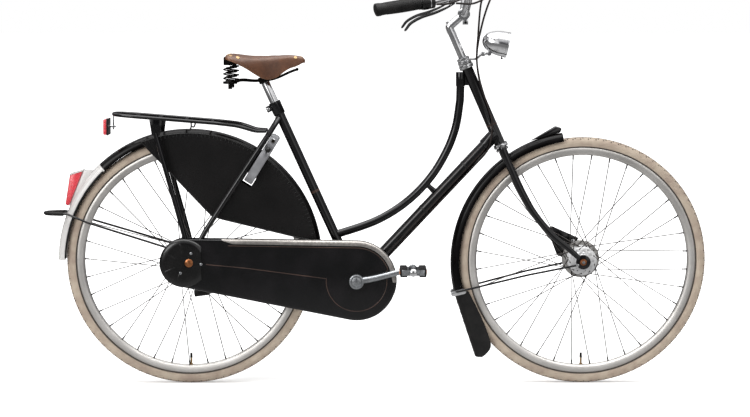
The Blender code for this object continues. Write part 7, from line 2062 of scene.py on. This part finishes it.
# Studio
def make_floor(sizes):
    """A wide pale floor that reads white to the camera and keeps a soft shadow."""
    # Even matt white paper: a very faint mottle, brightened a little so that it reads white where
    # nothing shades it.
    tree, shader, place = new_material("studio floor", sizes_hex(sizes.floor_colour), 0.9)
    cloud = add(tree, "ShaderNodeTexNoise", inputs={"Vector": place["Object"], "Scale": 3.0, "Detail": 3.0})
    shade = varied(tree, cloud.outputs["Fac"], ((0.3, "#F4F4F4"), (0.7, "#F8F8F8")))
    feed(tree, shader, {"Base Color": shade, "Specular IOR Level": 0.0})
    away = add(tree, "ShaderNodeVectorMath", {"operation": "LENGTH"}, {0: place["Object"]}).outputs["Value"]
    lift = ranged(tree, away, sizes.floor_lift, 1.0, 1.1, 2.4)
    glow = add(tree, "ShaderNodeEmission", inputs={"Color": linear("#FFFFFF"), "Strength": lift})
    both = add(tree, "ShaderNodeAddShader", inputs={0: shader.outputs["BSDF"], 1: glow.outputs["Emission"]})
    paths = add(tree, "ShaderNodeLightPath")
    direct = add(tree, "ShaderNodeMath", {"operation": "MAXIMUM"}, {
        0: paths.outputs["Is Camera Ray"], 1: paths.outputs["Is Transmission Ray"],
    })
    mixed = add(tree, "ShaderNodeMixShader", inputs={
        "Fac": direct.outputs["Value"], 1: shader.outputs["BSDF"], 2: both.outputs["Shader"],
    })
    dusk = add(tree, "ShaderNodeEmission", inputs={
        "Color": linear("#FFFFFF"), "Strength": ranged(tree, away, 0.55, 0.20, 0.6, 2.4),
    })
    reflected = add(tree, "ShaderNodeMixShader", inputs={
        "Fac": paths.outputs["Is Glossy Ray"], 1: mixed.outputs["Shader"], 2: dusk.outputs["Emission"],
    })
    output = next(node for node in tree.nodes if node.type == "OUTPUT_MATERIAL")
    tree.links.new(reflected.outputs["Shader"], output.inputs["Surface"])
    shape = bmesh.new()
    bmesh.ops.create_grid(shape, x_segments=1, y_segments=1, size=60.0)
    floor = linked("studio_floor", mesh_of(shape, "studio_floor"))
    floor.data.materials.append(finishes["studio floor"])
    return floor


def make_world():
    """White for the camera, and for reflections a bright sky with a dark band at eye height."""
    world = bpy.data.worlds.new("studio")
    world.use_nodes = True
    bpy.context.scene.world = world
    tree = world.node_tree
    background = tree.nodes["Background"]
    place = add(tree, "ShaderNodeTexCoord")
    parts = add(tree, "ShaderNodeSeparateXYZ", inputs={"Vector": place.outputs["Generated"]})
    height = ranged(tree, parts.outputs["Z"], 0.0, 1.0, -0.2, 1.0)
    sky = varied(tree, height, (
        (0.0, "#D8D8D8"), (0.16, "#6A6A6C"), (0.24, "#3A3A3C"), (0.36, "#5A5A5C"), (0.52, "#C8C8CA"),
        (0.8, "#FFFFFF"),
    ))
    side = parts.outputs["X"]
    side = add(tree, "ShaderNodeMath", {"operation": "ABSOLUTE"}, {0: side}).outputs["Value"]
    band = add(tree, "ShaderNodeMath", {"operation": "MULTIPLY"}, {
        0: ranged(tree, side, 0.0, 1.0, 0.18, 0.28), 1: ranged(tree, side, 1.0, 0.0, 0.66, 0.84),
    })
    ahead = add(tree, "ShaderNodeMath", {"operation": "MULTIPLY"}, {
        0: band.outputs["Value"], 1: ranged(tree, parts.outputs["Y"], 1.0, 0.0, -0.3, -0.1),
    })
    lit = add(tree, "ShaderNodeMix", {"data_type": "RGBA"}, {
        "Factor": ahead.outputs["Value"], "A": sky, "B": linear("#FFFFFF"),
    })
    paths = add(tree, "ShaderNodeLightPath")
    even = add(tree, "ShaderNodeMix", {"data_type": "RGBA"}, {
        "Factor": paths.outputs["Is Glossy Ray"], "A": linear("#BEBEBE"), "B": lit.outputs["Result"],
    })
    direct = add(tree, "ShaderNodeMath", {"operation": "MAXIMUM"}, {
        0: paths.outputs["Is Camera Ray"], 1: paths.outputs["Is Transmission Ray"],
    })
    seen = add(tree, "ShaderNodeMix", {"data_type": "RGBA"}, {
        "Factor": direct.outputs["Value"], "A": even.outputs["Result"], "B": linear("#FFFFFF"),
    })
    tree.links.new(seen.outputs["Result"], background.inputs["Color"])
    background.inputs["Strength"].default_value = 1.0


def make_lamp(name, place, target, size, power):
    light = bpy.data.lights.new(name, "AREA")
    light.shape = "RECTANGLE"
    light.size, light.size_y = size
    light.energy = power
    made = bpy.data.objects.new(name, light)
    made.location = place
    made.rotation_euler = (Vector(target) - Vector(place)).to_track_quat("-Z", "Y").to_euler()
    bpy.context.scene.collection.objects.link(made)
    return made


def make_camera():
    camera = bpy.data.cameras.new("camera")
    camera.lens = 105.98
    camera.sensor_width = 36.0
    made = bpy.data.objects.new("camera", camera)
    made.location = (-0.02235, -6.36, 1.118)
    made.rotation_euler = (radians(84.52), 0.0, radians(-0.21))
    bpy.context.scene.collection.objects.link(made)
    bpy.context.scene.camera = made


def sizes_hex(colour):
    """A colour from a property, as sRGB hex."""
    return "#" + "".join(f"{round(max(0.0, min(1.0, part)) * 255):02X}" for part in colour)


# Add-on
class BicycleSizes(bpy.types.PropertyGroup):
    """Sizes and colours of the finished bicycle."""

    enamel_colour: bpy.props.FloatVectorProperty(
        name="Frame Enamel", description="Colour of the frame, fork, guards and chain case",
        subtype="COLOR_GAMMA", default=(0.028, 0.027, 0.03), min=0.0, max=1.0,
    )
    lock_colour: bpy.props.FloatVectorProperty(
        name="Lock Cover", description="Colour of the ring lock's cover",
        subtype="COLOR_GAMMA", default=(0.42, 0.42, 0.43), min=0.0, max=1.0,
    )
    spoke_radius: bpy.props.FloatProperty(
        name="Spoke Radius", description="Radius of each spoke's wire", default=0.0013, min=0.0007,
        max=0.0015,
        unit="LENGTH",
    )
    tread_blocks: bpy.props.IntProperty(
        name="Tread Blocks", description="Steps of the side tread round each tyre", default=100, min=40,
        max=160,
    )


class StudioSizes(bpy.types.PropertyGroup):
    """The studio's floor and lamps."""

    floor_colour: bpy.props.FloatVectorProperty(
        name="Floor Colour", description="Colour of the pale floor", subtype="COLOR_GAMMA",
        default=(0.97, 0.97, 0.97), min=0.0, max=1.0,
    )
    floor_lift: bpy.props.FloatProperty(
        name="Floor Lift", description="How much the floor is brightened towards white", default=0.3, min=0.0,
        max=1.0,
    )
    overhead_power: bpy.props.FloatProperty(
        name="Overhead Power", description="Power of the soft overhead lamp", default=260.0, min=0.0,
        max=2000.0,
        unit="POWER",
    )
    front_power: bpy.props.FloatProperty(
        name="Front Power", description="Power of the soft lamp beside the camera", default=90.0, min=0.0,
        max=2000.0,
        unit="POWER",
    )


class BICYCLE_OT_finishes(bpy.types.Operator):
    """Build the finishes and the repeating patterns"""

    bl_idname = "bicycle.finishes"
    bl_label = "Make Finishes"

    def execute(self, context):
        make_finishes(context.scene.bicycle_sizes)
        patterns.update(
            {"repeat": ring_tree(), "wire": wire_tree(), "coil": coil_tree(), "path": path_tree()}
        )
        return {"FINISHED"}


class BICYCLE_OT_wheels(bpy.types.Operator):
    """Build both wheels with tyres, rims, spokes, hubs and brakes"""

    bl_idname = "bicycle.wheels"
    bl_label = "Build Wheels"

    def execute(self, context):
        sizes = context.scene.bicycle_sizes
        for end, axle, flanges, turn in (
            ("front", FRONT_AXLE, (0.041, 0.0265, 0.0265), radians(5)),
            ("rear", REAR_AXLE, (0.038, 0.0265, 0.03), radians(49.2)),
        ):
            tyre(end, axle, sizes)
            rim(end, axle)
            spokes(end, axle, sizes, flanges, turn)
        hubs()
        brakes()
        axles()
        return {"FINISHED"}


class BICYCLE_OT_frame(bpy.types.Operator):
    """Build the frame's tubes, its painted lines, the fork and the stand"""

    bl_idname = "bicycle.frame"
    bl_label = "Build Frame"

    def execute(self, context):
        frame_tubes()
        transfers()
        fork()
        prop_stand()
        return {"FINISHED"}


class BICYCLE_OT_guards(bpy.types.Operator):
    """Build the mudguards, their stays, the flap and the coat guards"""

    bl_idname = "bicycle.guards"
    bl_label = "Build Guards"

    def execute(self, context):
        rear_guard()
        front_guard()
        mudflap()
        guard_stays()
        coat_guards()
        tail_light()
        return {"FINISHED"}


class BICYCLE_OT_carrier(bpy.types.Operator):
    """Build the luggage carrier and the ring lock"""

    bl_idname = "bicycle.carrier"
    bl_label = "Build Carrier"

    def execute(self, context):
        carrier_rail()
        for name, side in SIDES:
            carrier_leg(name, side)
        rear_reflector()
        ring_lock()
        return {"FINISHED"}


class BICYCLE_OT_drive(bpy.types.Operator):
    """Build the chain case, cranks and pedals"""

    bl_idname = "bicycle.drive"
    bl_label = "Build Drive"

    def execute(self, context):
        case_shell()
        case_trim()
        case_lines()
        case_cap()
        drive()
        return {"FINISHED"}


class BICYCLE_OT_cockpit(bpy.types.Operator):
    """Build the handlebar, stem, levers, lamp and cables"""

    bl_idname = "bicycle.cockpit"
    bl_label = "Build Cockpit"

    def execute(self, context):
        bars()
        lamp()
        cables()
        return {"FINISHED"}


class BICYCLE_OT_saddle(bpy.types.Operator):
    """Build the leather saddle with its springs and post"""

    bl_idname = "bicycle.saddle"
    bl_label = "Build Saddle"

    def execute(self, context):
        saddle()
        return {"FINISHED"}


class BICYCLE_OT_stage(bpy.types.Operator):
    """Build the floor, the world, the lamps and the camera"""

    bl_idname = "bicycle.stage"
    bl_label = "Build Stage"

    def execute(self, context):
        scene = context.scene
        sizes = scene.studio_sizes
        scene.view_settings.view_transform = "Standard"
        floor = make_floor(sizes)
        make_world()
        lamps = [
            make_lamp("overhead_lamp", (0.0, -0.4, 4.2), (0.0, 0.0, 0.4), (6.0, 4.0), sizes.overhead_power),
            make_lamp("front_lamp", (-3.6, -4.4, 2.6), (0.0, 0.0, 0.6), (2.4, 2.4), sizes.front_power),
        ]
        make_camera()
        return {"FINISHED"}


OPERATORS = (
    BICYCLE_OT_finishes, BICYCLE_OT_wheels, BICYCLE_OT_frame, BICYCLE_OT_guards, BICYCLE_OT_carrier,
    BICYCLE_OT_drive, BICYCLE_OT_cockpit, BICYCLE_OT_saddle, BICYCLE_OT_stage,
)


class BICYCLE_PT_panel(bpy.types.Panel):
    """Lists the bicycle's sizes and building steps"""

    bl_idname = "BICYCLE_PT_panel"
    bl_label = "Roadster Bicycle"
    bl_space_type = "VIEW_3D"
    bl_region_type = "UI"
    bl_category = "Bicycle"

    def draw(self, context):
        for group in (context.scene.bicycle_sizes, context.scene.studio_sizes):
            box = self.layout.box()
            for name in group.__annotations__:
                box.prop(group, name)
        for operator in OPERATORS:
            self.layout.operator(operator.bl_idname)


CLASSES = (BicycleSizes, StudioSizes, *OPERATORS, BICYCLE_PT_panel)


def register():
    for item in CLASSES:
        bpy.utils.register_class(item)
    bpy.types.Scene.bicycle_sizes = bpy.props.PointerProperty(type=BicycleSizes)
    bpy.types.Scene.studio_sizes = bpy.props.PointerProperty(type=StudioSizes)


def unregister():
    del bpy.types.Scene.bicycle_sizes
    del bpy.types.Scene.studio_sizes
    for item in reversed(CLASSES):
        bpy.utils.unregister_class(item)


def main():
    register()
    for step in ("finishes", "wheels", "frame", "guards", "carrier", "drive", "cockpit", "saddle", "stage"):
        if getattr(bpy.ops.bicycle, step)() != {"FINISHED"}:
            raise RuntimeError(step + " didn't finish")


if __name__ == "__main__":
    main()
